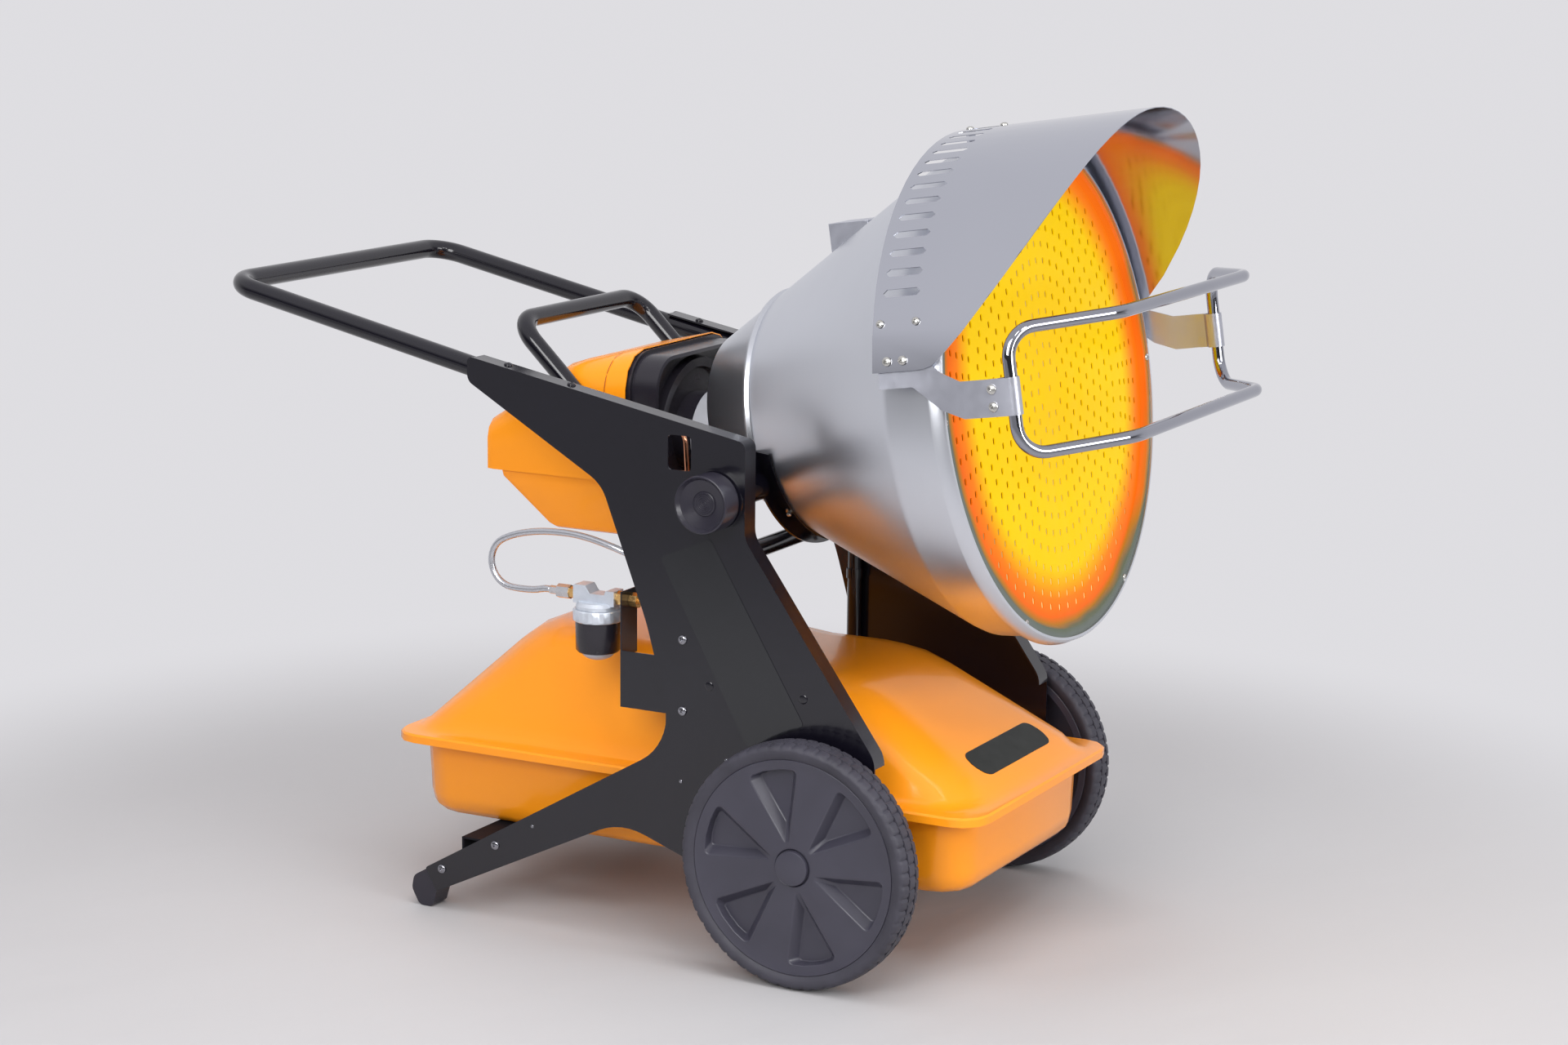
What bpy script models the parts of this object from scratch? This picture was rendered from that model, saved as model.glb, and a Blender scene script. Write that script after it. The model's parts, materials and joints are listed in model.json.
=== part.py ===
"""Portable infrared oil heater: a drum head that tilts on a wheeled frame above its fuel tank.

Metres, +Z up. The head looks along -Y and the push handle points to +Y. Inside this file lengths
along Y are counted from the wheel axle. The whole heater then moves, so that the centre of its
box, on the floor, is the origin. The near side is -X and the far side is +X.
"""
import math

import bmesh
import bpy
from mathutils import Matrix, Vector

# Clearances and sheet gauges
GAP = 0.0003
RUN_GAP = 0.0006
THIN_SHEET = 0.0012
SHEET = 0.0015
PLATE_GAUGE = 0.0023

# Faceting
ARC_STEP = math.radians(30)
DRUM_FACETS = 32
WHEEL_FACETS = 32
SMALL_FACETS = 16
TUBE_SIDES = 10
SHARP_ANGLE = math.radians(38)

# Wheels
WHEEL_RADIUS = 0.160
WHEEL_WIDTH = 0.049
WHEEL_OUTER_X = 0.3295
TYRE_SECTION = 0.0197
TREAD_CROWN = 0.004
TREAD_GROOVE_DEPTH = 0.003
TREAD_GROOVE_WIDTH = 0.003
TREAD_GROOVE_SHARES = (-0.18, 0.18)
RIM_FACE_INSET = 0.006
RIM_RIB_WIDTH = 0.011
RIM_WEB_THICKNESS = 0.0225
POCKET_DEPTH = 0.013
POCKET_COUNT = 6
POCKET_PHASE = math.radians(11.5)
POCKET_HALF_ANGLE = math.radians(16.5)
POCKET_OUTER_RADIUS = 0.127
POCKET_TIP_RADIUS = 0.033
POCKET_TIP_WIDTH = 0.006
POCKET_CORNER = 0.007
POCKET_FLOOR_SHARE = 0.74
HUB_RADIUS = 0.027
HUB_INNER_X = 0.2745
CAP_RADIUS = 0.0235
CAP_SEAT = 0.0025
CAP_THICKNESS = 0.0095
CAP_DOME = 0.0015
AXLE_RADIUS = 0.010
AXLE_FLANGE_RADIUS = 0.028
AXLE_FLANGE_THICKNESS = 0.006

# Side plates: one outline, in shares of the plate's length and height
PLATE_OUTER_X = 0.268
PLATE_LENGTH = 0.600
PLATE_HEIGHT = 0.762
PLATE_FLANGE = 0.028
PLATE_OUTLINE_SHARES = (
    (0.8625, 1.0000, 0.012),
    (0.170, 0.8970, 0.020),
    (0.170, 0.7350, 0.060),
    (-0.143, 0.3900, 0.060),
    (-0.143, 0.1150, 0.050),
    (0.167, 0.1310, 0.100),
    (0.472, 0.2160, 0.150),
    (0.957, 0.0315, 0.006),
    (0.987, 0.0722, 0.006),
    (0.337, 0.3700, 0.125),
    (0.408, 0.5720, 0.500),
    (0.521, 0.8020, 0.090),
    (0.862, 0.9570, 0.025),
)
PLATE_FLANGE_CORNERS = 4
WINDOW_Y = 0.197
WINDOW_DROP = 0.0995
WINDOW_WIDTH = 0.034
WINDOW_HEIGHT = 0.045
WINDOW_CORNER = 0.005
WINDOW_Z = PLATE_HEIGHT - WINDOW_DROP
PIVOT_Y = 0.143
PIVOT_HEIGHT_SHARE = 0.796587927
PIVOT_Z = PLATE_HEIGHT * PIVOT_HEIGHT_SHARE

# Push handle and stay
HANDLE_RADIUS = 0.0136
HANDLE_WALL = 0.002
HANDLE_REACH_Y = 0.911
HANDLE_FRONT_Y = 0.2445
HANDLE_SLOPE = math.radians(12.2)
HANDLE_BEND = 0.042
STAY_RADIUS = 0.0125
STAY_Y = 0.185
STAY_DROP = 0.1003
STAY_Z = PIVOT_Z - STAY_DROP

# Feet and cross members
FOOT_WIDTH = 0.034
FOOT_INSET = 0.0022
FOOT_TONGUE = 0.046
FOOT_REACH = 0.025
FOOT_FLAT_START = 0.009
FOOT_FLAT_LENGTH = 0.021
MEMBER_HEIGHT = 0.024
REAR_MEMBER_INSET = 0.083
REAR_MEMBER_Y = PLATE_LENGTH - REAR_MEMBER_INSET
REAR_MEMBER_DEPTH = 0.034
FRONT_MEMBER_Y = 0.030
FRONT_MEMBER_DEPTH = 0.040
MEMBER_GAUGE = 0.003

# Fuel tank
TANK_FLANGE_HALF = 0.222
TANK_FRONT_Y = -0.206
TANK_REAR_Y = 0.680
TANK_FLANGE_CORNER = 0.040
TANK_FLANGE_Z = 0.224
TANK_HEM = 0.012
TANK_EDGE_ROUND = 0.0025
TANK_BASE_HALF = 0.196
TANK_BASE_FRONT_Y = -0.184
TANK_BASE_REAR_Y = 0.671
TANK_BASE_CORNER = 0.055
TANK_FILLET = 0.011
TANK_SKIRT_HALF = 0.189
TANK_SKIRT_FRONT_Y = -0.166
TANK_SKIRT_REAR_Y = 0.649
TANK_SKIRT_Z = 0.247
TANK_SKIRT_CORNER = 0.065
TANK_TOP_HALF = 0.150
TANK_TOP_FRONT_Y = 0.018
TANK_TOP_REAR_Y = 0.505
TANK_TOP_CORNER = 0.085
TANK_TOP_Z = 0.354
TANK_TOP_RISE = 0.033
TANK_KINK_Y = 0.180
TANK_CROWN_INSET = 0.046
TANK_CROWN_SHARE = 0.74
TANK_LOWER_HALF = 0.198
TANK_LOWER_FRONT_Y = -0.178
TANK_LOWER_REAR_Y = 0.655
TANK_LOWER_TAPER = 0.003
TANK_LOWER_CORNER = 0.050
TANK_BOTTOM_Z = 0.107
TANK_BOTTOM_ROUND = 0.030
CAP_SEAT_X = 0.030
CAP_SEAT_Y = 0.280
FUEL_CAP_RADIUS = 0.031
FUEL_CAP_HEIGHT = 0.018
FUEL_CAP_LOBES = 12
FUEL_CAP_LOBE_DEPTH = 0.0016

# Tilt pivot, cradle and knobs
STUD_RADIUS = 0.008
HUB_TUBE_RADIUS = 0.018
HUB_TUBE_INNER_X = 0.1600
WASHER_RADIUS = 0.040
WASHER_THICKNESS = 0.0055
KNOB_RADIUS = 0.0375
KNOB_FACE_X = 0.3100
KNOB_SKIRT = 0.003
KNOB_RIM = 0.0045
KNOB_DISH = 0.006
KNOB_CAP_RADIUS = 0.0155
KNOB_CAP_RISE = 0.0035
STUD_ENGAGEMENT = 0.022

# Head: its heights start from a level that lies HEAD_DATUM below the tilt pivot. In the
# drum's frame s runs rearwards from the rim plane along its axis and u is up
HEAD_DATUM = 0.607
TILT = math.radians(8.78)
DRUM_Y = -0.2006
DRUM_Z = 0.743
DRUM_RADIUS = 0.324
DRUM_BEAD_WIDTH = 0.005
DRUM_STEP_S = 0.018
DRUM_STEP_RISE = 0.004
DRUM_BODY_RADIUS = 0.318
DRUM_CONE_S = 0.085
DRUM_CONE_RADIUS = 0.312
DRUM_END_S = 0.455
DRUM_END_RADIUS = 0.104
DRUM_RIB_S = 0.3675
DRUM_RIB_WIDTH = 0.015
DRUM_RIB_RISE = 0.005
CRADLE_WIDTH = 0.0285
DISC_RING_RADIUS = 0.303
DISC_RECESS = 0.010
DISC_FLANGE_S = 0.003
DISC_CROWN = 0.004
SLOT_RING_COUNT = 2
SLOT_RING_FIRST_SHARE = 0.40
SLOT_RING_LAST_SHARE = 0.82
SLOT_PITCH = 0.115
SLOT_LENGTH = 0.0080
SLOT_WIDTH = 0.0040
CHAMBER_CLEARANCE = 0.016
CHAMBER_MOUTH_S = 0.022
CHAMBER_OUTLET_RADIUS = 0.070

# Hood
HOOD_RADIUS = 0.339
HOOD_REAR_S = 0.085
HOOD_REACH = 0.180
HOOD_SWEEP = 0.176
HOOD_SWEEP_POWER = 2.5
HOOD_SWEEP_ANGLE = math.radians(77)
HOOD_HALF_ANGLE = math.radians(78.5)
HOOD_CORNER = 0.030
HOOD_SLOT_COUNT = 28
HOOD_SLOT_PITCH = math.radians(4.59)
HOOD_SLOT_START_S = 0.024
HOOD_SLOT_END_S = 0.074
HOOD_SLOT_WIDTH = 0.010
SPACER_RADIUS = 0.006
SPACER_ANGLE = math.radians(68.4)
SPACER_S = (0.027, 0.075)
SPACER_SINK = 0.0006

# Guard
GUARD_RADIUS = 0.008
GUARD_SIDE_X = 0.331
GUARD_SIDE_S = -0.096
GUARD_NOSE_X = 0.211
GUARD_NOSE_S = -0.194
GUARD_TOP_U = 0.106
GUARD_BOTTOM_U = -0.044
GUARD_CORNER = 0.036
GUARD_KINK = 0.060
BRACKET_GAUGE = 0.0018
BRACKET_HEIGHT = 0.045
BRACKET_CENTRE_U = 0.028
BRACKET_ROOT_U = 0.070
BRACKET_ROOT_TILT = 0.012
BRACKET_ROOT_S = 0.078
BRACKET_FOLD_S = -0.004
BRACKET_SWELL = 0.004
CLAMP_RETURN = 0.026

# Box bracket on the cone
BOX_S = 0.250
BOX_LENGTH = 0.058
BOX_WIDTH = 0.060
BOX_HEIGHT = 0.020

# Burner: its covers stand level while the drum looks up by TILT. Heights as for the head
BURNER_Z = 0.640
COVER_HALF = 0.1415
COVER_FRONT_Y = 0.353
COVER_TOP_Z = 0.763
COVER_CREASE_Y = 0.449
COVER_CREASE_Z = 0.739
COVER_SHOULDER_Y = 0.560
COVER_SHOULDER_Z = 0.664
COVER_REAR_Y = 0.574
COVER_REAR_EDGE = 0.012
COVER_CORNER = 0.050
COVER_REAR_CORNER = 0.028
SEAM_Z = 0.588
TRAY_HALF = 0.1375
TRAY_BOTTOM_Z = 0.515
TRAY_REAR_Y = 0.548
TRAY_SLOPE_Y = 0.475
TRAY_SLOPE_RISE = 0.004
TRAY_CORNER = 0.010
HOUSING_FRONT_Y = 0.310
HOUSING_RECESS = 0.022
HOUSING_HALF = 0.131
HOUSING_TOP_Z = 0.7555
HOUSING_BOTTOM_Z = 0.5215
HOUSING_LIP = 0.0047
HOUSING_LIP_DEPTH = 0.003
HOUSING_WALL = 0.0045
HOUSING_CORNER = 0.044
HOUSING_FACETS = 24
COLLAR_RADIUS = 0.104
COLLAR_INNER_RADIUS = 0.086
COLLAR_HEIGHT = 0.010
COLLAR_WEB = 0.003
BLAST_RADIUS = 0.0555
BLAST_WALL = 0.0025
BLAST_FRONT_Y = 0.3000
BLAST_REAR_Y = 0.3640
FLANGE_RADIUS = 0.060
FLANGE_WALL = 0.004
TILT_HANDLE_RADIUS = 0.0125
TILT_HANDLE_WALL = 0.002
TILT_HANDLE_TOP_Y = 0.513
TILT_HANDLE_TOP_Z = 0.795
TILT_HANDLE_SLOPE = math.radians(43.9)
TILT_HANDLE_LEG = 0.190
TILT_HANDLE_BEND = 0.038

# Inside the burner
CHASSIS_GAUGE = 0.003
CHASSIS_HALF = 0.120
CHASSIS_FLOOR_Z = 0.545
CHASSIS_TOP_Z = 0.735
CHASSIS_DEPTH = 0.100
MOTOR_RADIUS = 0.042
MOTOR_LENGTH = 0.075
MOTOR_Y = 0.432
MOTOR_Z = 0.618
MOTOR_X = -0.050
MOTOR_FOOT_WIDTH = 0.030
SHAFT_RADIUS = 0.005
FAN_RADIUS = 0.066
FAN_INNER_RADIUS = 0.044
FAN_WIDTH = 0.046
FAN_BACKPLATE = 0.003
FAN_BLADES = 10
FAN_BLADE_THICKNESS = 0.0016
FAN_BLADE_SWEEP = math.radians(9)
FAN_HUB_RADIUS = 0.011
PUMP_LENGTH = 0.034
PUMP_RADIUS = 0.024
TRANSFORMER_WIDTH = 0.070
TRANSFORMER_DEPTH = 0.058
TRANSFORMER_HEIGHT = 0.034
TRANSFORMER_Z = 0.698

# Control panel on the rear face, and the cable gland
PANEL_HALF = 0.055
PANEL_BOTTOM_Z = 0.599
PANEL_TOP_Z = 0.641
PANEL_THICKNESS = 0.003
SWITCH_X = -0.028
SWITCH_WIDTH = 0.020
SWITCH_HEIGHT = 0.027
SWITCH_DEPTH = 0.005
SWITCH_WEDGE = 0.0015
SWITCH_THROW = math.radians(8)
DIAL_X = 0.024
DIAL_RADIUS = 0.014
DIAL_DEPTH = 0.010
DIAL_GRIP_WIDTH = 0.005
GLAND_Y = 0.420
GLAND_Z = 0.548
GLAND_RADIUS = 0.010
GLAND_LENGTH = 0.018

# Fuel line: filter, fittings, hose and pipes
FILTER_X = -0.240
FILTER_Y = 0.3345
FILTER_PORT_Z = 0.457
FILTER_HEAD_TOP_Z = 0.471
FILTER_HEAD_BOTTOM_Z = 0.4405
FILTER_HEAD_HALF = 0.0310
FILTER_BOSS_RADIUS = 0.020
FILTER_BOSS_RISE = 0.006
RING_NUT_RADIUS = 0.0330
RING_NUT_HEIGHT = 0.016
RING_NUT_FLUTES = 14
RING_NUT_FLUTE_DEPTH = 0.0012
BOWL_RADIUS = 0.0300
BOWL_HEIGHT = 0.041
DOME_RADIUS = 0.0220
DOME_HEIGHT = 0.0115
FITTING_BRASS_LENGTH = 0.010
FITTING_HEX_LENGTH = 0.019
FITTING_FERRULE_LENGTH = 0.012
FITTING_RADIUS = 0.0095
FERRULE_RADIUS = 0.0058
INLET_NUT_LENGTH = 0.0115
INLET_NUT_RADIUS = 0.0100
INLET_PIPE_RADIUS = 0.0045
INLET_REACH = 0.022
FILTER_BRACKET_Y = 0.2838
FILTER_BRACKET_WIDTH = 0.040
FILTER_BRACKET_GAUGE = 0.002
FILTER_BRACKET_TOP_Z = 0.472
FILTER_BRACKET_STEP_Z = 0.394
FILTER_BRACKET_BOTTOM_Z = 0.319
FILTER_BRACKET_FRONT_Y = 0.185
FILTER_BRACKET_ARM_Z = 0.385
HOSE_RADIUS = 0.0046
HOSE_ROUTE = (
    (-0.2400, 0.4480, 0.4520),
    (-0.2400, 0.4750, 0.4540),
    (-0.2400, 0.4920, 0.4620),
    (-0.2400, 0.4995, 0.4760),
    (-0.2400, 0.4985, 0.4890),
    (-0.2400, 0.4910, 0.5020),
    (-0.2400, 0.4760, 0.5130),
    (-0.2400, 0.4500, 0.5250),
    (-0.2400, 0.4250, 0.5315),
    (-0.2400, 0.4000, 0.5345),
    (-0.2400, 0.3750, 0.5350),
    (-0.2400, 0.3500, 0.5330),
    (-0.2390, 0.3250, 0.5300),
    (-0.2350, 0.3040, 0.5265),
    (-0.2260, 0.2860, 0.5210),
    (-0.2120, 0.2720, 0.5140),
    (-0.1930, 0.2630, 0.5080),
    (-0.1730, 0.2600, 0.5070),
    (-0.1560, 0.2610, 0.5140),
)
HOSE_END_X = -0.150
HOSE_END_Y = 0.262
HOSE_END_Z = 0.5360
HOSE_RING_SPACING = 0.016
HOSE_BLOCK_HEIGHT = 0.024
HOSE_BLOCK_RADIUS = 0.0085
HOSE_TAB_WIDTH = 0.030
HOSE_TAB_GAUGE = 0.003
HOSE_TAB_SHARE = 0.5
PIPE_RADIUS = 0.0030
PIPE_BULGE_Y = 0.253
PIPE_TOP_Z = 0.664
PIPE_BEND = 0.014
CONDUIT_RADIUS = 0.010
CONDUIT_Y = 0.2095
CONDUIT_BOTTOM_Z = 0.262
CONDUIT_TOP_Z = 0.560
CONDUIT_JOINT_Z = 0.410
CONDUIT_JOINT_RISE = 0.002
CONDUIT_JOINT_WIDTH = 0.014

PLATE_INNER_X = PLATE_OUTER_X - PLATE_GAUGE
ORIGIN_Y = (HANDLE_REACH_Y + HANDLE_RADIUS
            + DRUM_Y + GUARD_NOSE_S * math.cos(TILT) - GUARD_BOTTOM_U * -math.sin(TILT)
            - GUARD_RADIUS) / 2


# Materials

def finish(name, color, roughness, metallic):
    """A Principled material with the part's own colour."""
    made = bpy.data.materials.new(name)
    made.use_nodes = True
    shader = made.node_tree.nodes["Principled BSDF"]
    shader.inputs["Base Color"].default_value = (*color, 1.0)
    shader.inputs["Roughness"].default_value = roughness
    shader.inputs["Metallic"].default_value = metallic
    made.diffuse_color = (*color, 1.0)
    return made


def make_materials():
    return {
        "black_paint": finish("black_paint", (0.016, 0.015, 0.021), 0.16, 0.0),
        "orange_paint": finish("orange_paint", (0.93, 0.32, 0.025), 0.25, 0.0),
        "satin_steel": finish("satin_steel", (0.46, 0.46, 0.48), 0.32, 1.0),
        "hood_steel": finish("hood_steel", (0.50, 0.50, 0.54), 0.16, 1.0),
        "chrome": finish("chrome", (0.75, 0.75, 0.78), 0.06, 1.0),
        "radiant_disc": finish("radiant_disc", (1.0, 0.55, 0.0), 0.55, 0.0),
        "tyre_rubber": finish("tyre_rubber", (0.045, 0.043, 0.052), 0.62, 0.0),
        "wheel_plastic": finish("wheel_plastic", (0.048, 0.045, 0.056), 0.42, 0.0),
        "knob_plastic": finish("knob_plastic", (0.024, 0.022, 0.030), 0.34, 0.0),
        "burner_black": finish("burner_black", (0.030, 0.028, 0.036), 0.38, 0.0),
        "die_cast": finish("die_cast", (0.56, 0.60, 0.62), 0.30, 1.0),
        "brass": finish("brass", (0.72, 0.44, 0.16), 0.25, 1.0),
        "copper": finish("copper", (0.72, 0.32, 0.18), 0.22, 1.0),
        "steel_braid": finish("steel_braid", (0.62, 0.62, 0.62), 0.38, 1.0),
        "clear_bowl": finish("clear_bowl", (0.62, 0.62, 0.68), 0.12, 0.0),
    }


# Mesh helpers

def empty(name, location, parent=None, rotation_x=0.0):
    made = bpy.data.objects.new(name, None)
    bpy.context.scene.collection.objects.link(made)
    made.location = location
    made.rotation_euler = (rotation_x, 0.0, 0.0)
    made.parent = parent
    return made


def face_outwards(bm):
    """Turns all faces away from the middle, by where most of their area looks."""
    bmesh.ops.recalc_face_normals(bm, faces=bm.faces[:])
    middle = sum((v.co for v in bm.verts), Vector()) / len(bm.verts)
    if sum(f.calc_area() * f.normal.dot(f.calc_center_median() - middle) for f in bm.faces) < 0:
        bmesh.ops.reverse_faces(bm, faces=bm.faces[:])


def add_object(name, bm, material, parent, location=(0.0, 0.0, 0.0), rotation=(0.0, 0.0, 0.0)):
    """Turns a bmesh into a smooth-shaded object with its faces pointing out."""
    face_outwards(bm)
    mesh = bpy.data.meshes.new(name)
    bm.to_mesh(mesh)
    bm.free()
    mesh.shade_smooth()
    mesh.set_sharp_from_angle(angle=SHARP_ANGLE)
    made = bpy.data.objects.new(name, mesh)
    bpy.context.scene.collection.objects.link(made)
    made.data.materials.append(material)
    made.location = location
    made.rotation_euler = rotation
    made.parent = parent
    return made


def mirrored(bm):
    """The same solid on the other side of the YZ plane."""
    bmesh.ops.scale(bm, vec=(-1.0, 1.0, 1.0), verts=bm.verts[:])
    bmesh.ops.reverse_faces(bm, faces=bm.faces[:])
    return bm


def solidify(obj, thickness):
    """Gives an open sheet its gauge, inwards."""
    shell = obj.modifiers.new("gauge", "SOLIDIFY")
    shell.thickness = thickness
    shell.offset = -1.0
    shell.use_even_offset = True
    shell.use_quality_normals = True
    return obj


def boolean(target, operation, tool):
    """Joins or cuts with a helper, which stays hidden in wire."""
    step = target.modifiers.new(tool.name, "BOOLEAN")
    step.operation = operation
    step.solver = "EXACT"
    step.object = tool
    tool.hide_render = True
    tool.display_type = "WIRE"
    return target


def corner_arcs(corners, closed, arc_step=ARC_STEP):
    """Points of a path whose corners (point, radius) are rounded, grouped by corner."""
    count = len(corners)
    groups = []
    for i, (point, radius) in enumerate(corners):
        here = Vector(point)
        at_end = not closed and i in (0, count - 1)
        if at_end or radius <= 0.0:
            groups.append([here])
            continue
        before = Vector(corners[i - 1][0]) - here
        after = Vector(corners[(i + 1) % count][0]) - here
        angle = before.angle(after)
        turn = math.pi - angle
        if turn < SHARP_ANGLE / 40:
            groups.append([here])
            continue
        reach = radius / math.tan(angle / 2)
        reach = min(reach, before.length / 2, after.length / 2)
        bend = reach * math.tan(angle / 2)
        a = before.normalized()
        b = after.normalized()
        centre = here + (a + b).normalized() * (bend / math.sin(angle / 2))
        start = here + a * reach - centre
        end = here + b * reach - centre
        steps = max(2, math.ceil(turn / arc_step))
        groups.append([
            centre + (start * math.sin((1 - k / steps) * turn) + end * math.sin(k / steps * turn))
            / math.sin(turn)
            for k in range(steps + 1)
        ])
    return groups


def rounded(corners, closed=True, arc_step=ARC_STEP):
    return [p for group in corner_arcs(corners, closed, arc_step=arc_step) for p in group]


def loft(rings, cyclic=False, caps=True):
    """Joins rings of equally many points. A cyclic loft closes on its first ring."""
    bm = bmesh.new()
    rows = [[bm.verts.new(p) for p in ring] for ring in rings]
    size = len(rows[0])
    last = len(rows) if cyclic else len(rows) - 1
    for i in range(last):
        row, following = rows[i], rows[(i + 1) % len(rows)]
        for k in range(size):
            n = (k + 1) % size
            bm.faces.new((row[k], row[n], following[n], following[k]))
    if caps and not cyclic:
        bm.faces.new(rows[0])
        bm.faces.new(rows[-1])
    return bm


def turned_point(axis, along, radius, angle):
    a, b = radius * math.cos(angle), radius * math.sin(angle)
    return {"X": (along, a, b), "Y": (a, along, b), "Z": (a, b, along)}[axis]


def lathe(profile, axis="X", facets=SMALL_FACETS, start=0.0, end=2 * math.pi, ripple=None, lift=0.0):
    """Turns a closed profile of (along, radius) points. A radius of zero becomes a pole."""
    bm = bmesh.new()
    full = end - start > 2 * math.pi - ARC_STEP / 100
    columns = facets if full else facets + 1
    rows = []
    for index, (along, radius) in enumerate(profile):
        if radius <= 0.0:
            rows.append([bm.verts.new(turned_point(axis, along, 0.0, 0.0))] * columns)
            continue
        row = []
        for k in range(columns):
            angle = start + (end - start) * k / facets
            shown = radius if ripple is None else radius - ripple(index, k)
            row.append(bm.verts.new(turned_point(axis, along, shown, angle)))
        rows.append(row)
    for i, row in enumerate(rows):
        following = rows[(i + 1) % len(rows)]
        for k in range(facets):
            n = (k + 1) % columns
            corners = [row[k], row[n], following[n], following[k]]
            distinct = list(dict.fromkeys(corners))
            if len(distinct) > 2:
                bm.faces.new(distinct)
    if not full:
        for k in (0, columns - 1):
            bm.faces.new([row[k] for row in rows])
    bmesh.ops.translate(bm, vec=(0.0, 0.0, lift), verts=bm.verts[:])
    return bm


def sweep(path, radius, wall=0.0, closed=False, sides=TUBE_SIDES):
    """A round bar along a path, or a tube with open ends where it has a wall."""
    points = [Vector(p) for p in path]
    count = len(points)
    tangents = []
    for i in range(count):
        before = points[i] - points[i - 1]
        after = points[(i + 1) % count] - points[i]
        if not closed and i == 0:
            before = after
        if not closed and i == count - 1:
            after = before
        tangents.append((before.normalized() + after.normalized()).normalized())
    normal = tangents[0].orthogonal().normalized()
    normals = [normal]
    for i in range(1, count):
        turn = tangents[i - 1].rotation_difference(tangents[i])
        normals.append(turn @ normals[-1])
    twist = 0.0
    if closed:
        turn = tangents[-1].rotation_difference(tangents[0])
        back = turn @ normals[-1]
        twist = math.atan2(tangents[0].dot(back.cross(normal)), back.dot(normal))
    rings = {}
    for share in ((radius,) if wall <= 0.0 else (radius, radius - wall)):
        rows = []
        for i in range(count):
            side = normals[i].copy()
            side.rotate(Matrix.Rotation(twist * i / count, 3, tangents[i]))
            other = tangents[i].cross(side)
            rows.append([
                points[i] + side * (share * math.cos(2 * math.pi * k / sides))
                + other * (share * math.sin(2 * math.pi * k / sides))
                for k in range(sides)
            ])
        rings[share] = rows
    if wall <= 0.0:
        return loft(rings[radius], cyclic=closed)
    return loft(rings[radius] + rings[radius - wall][::-1], cyclic=True)


def fill(bm, loops):
    """Triangulates the flat region inside the first loop of vertices and outside the others."""
    edges = []
    for loop in loops:
        for i, vert in enumerate(loop):
            pair = (vert, loop[(i + 1) % len(loop)])
            edges.append(bm.edges.get(pair) or bm.edges.new(pair))
    return bmesh.ops.triangle_fill(bm, use_beauty=True, use_dissolve=False, edges=edges)["geom"]


def walls(bm, low, high):
    count = len(low)
    for i in range(count):
        n = (i + 1) % count
        bm.faces.new((low[i], low[n], high[n], high[i]))


def block(outline, low, high, place, holes=()):
    """Extrudes a flat outline between two depths. place(a, b, depth) gives each point."""
    bm = bmesh.new()
    loops = [outline, *holes]
    rows = [[[bm.verts.new(place(p[0], p[1], depth)) for p in loop] for loop in loops]
            for depth in (low, high)]
    for a, b in zip(*rows):
        walls(bm, a, b)
    for row in rows:
        fill(bm, row)
    return bm


def circle(a, b, radius, facets=SMALL_FACETS, phase=0.0):
    return [(a + radius * math.cos(phase + 2 * math.pi * k / facets),
             b + radius * math.sin(phase + 2 * math.pi * k / facets)) for k in range(facets)]


def box_outline(a0, b0, a1, b1, corner=0.0):
    return rounded([((a0, b0), corner), ((a1, b0), corner), ((a1, b1), corner), ((a0, b1), corner)])


def in_yz(a, b, depth):
    return (depth, a, b)


def in_xz(a, b, depth):
    return (a, depth, b)


def in_xy(a, b, depth):
    return (a, b, depth)


def box(low, high):
    """A plain block between two corners, in X, Y and Z."""
    outline = box_outline(low[0], low[1], high[0], high[1])
    return block(outline, low[2], high[2], in_xy)


def joined_meshes(parts):
    """Separate shells put in one bmesh, for a helper of a Boolean union."""
    bm = bmesh.new()
    for part in parts:
        mesh = bpy.data.meshes.new("part")
        part.to_mesh(mesh)
        part.free()
        bm.from_mesh(mesh)
        bpy.data.meshes.remove(mesh)
    return bm


# Frame

def plate_groups():
    corners = [((y * PLATE_LENGTH, z * PLATE_HEIGHT), r * PLATE_LENGTH)
               for y, z, r in PLATE_OUTLINE_SHARES]
    return corner_arcs(corners, closed=True)


def offset_inwards(points, distance):
    """The open path moved towards the inside of a clockwise outline."""
    moved = []
    for i, point in enumerate(points):
        before = point - points[i - 1] if i else points[1] - point
        after = points[i + 1] - point if i + 1 < len(points) else before
        a, b = before.normalized(), after.normalized()
        normal = Vector((a.y + b.y, -a.x - b.x))
        normal.normalize()
        side = Vector((a.y, -a.x))
        moved.append(point - normal * (distance / max(normal.dot(side), 0.5)))
    return moved


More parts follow.
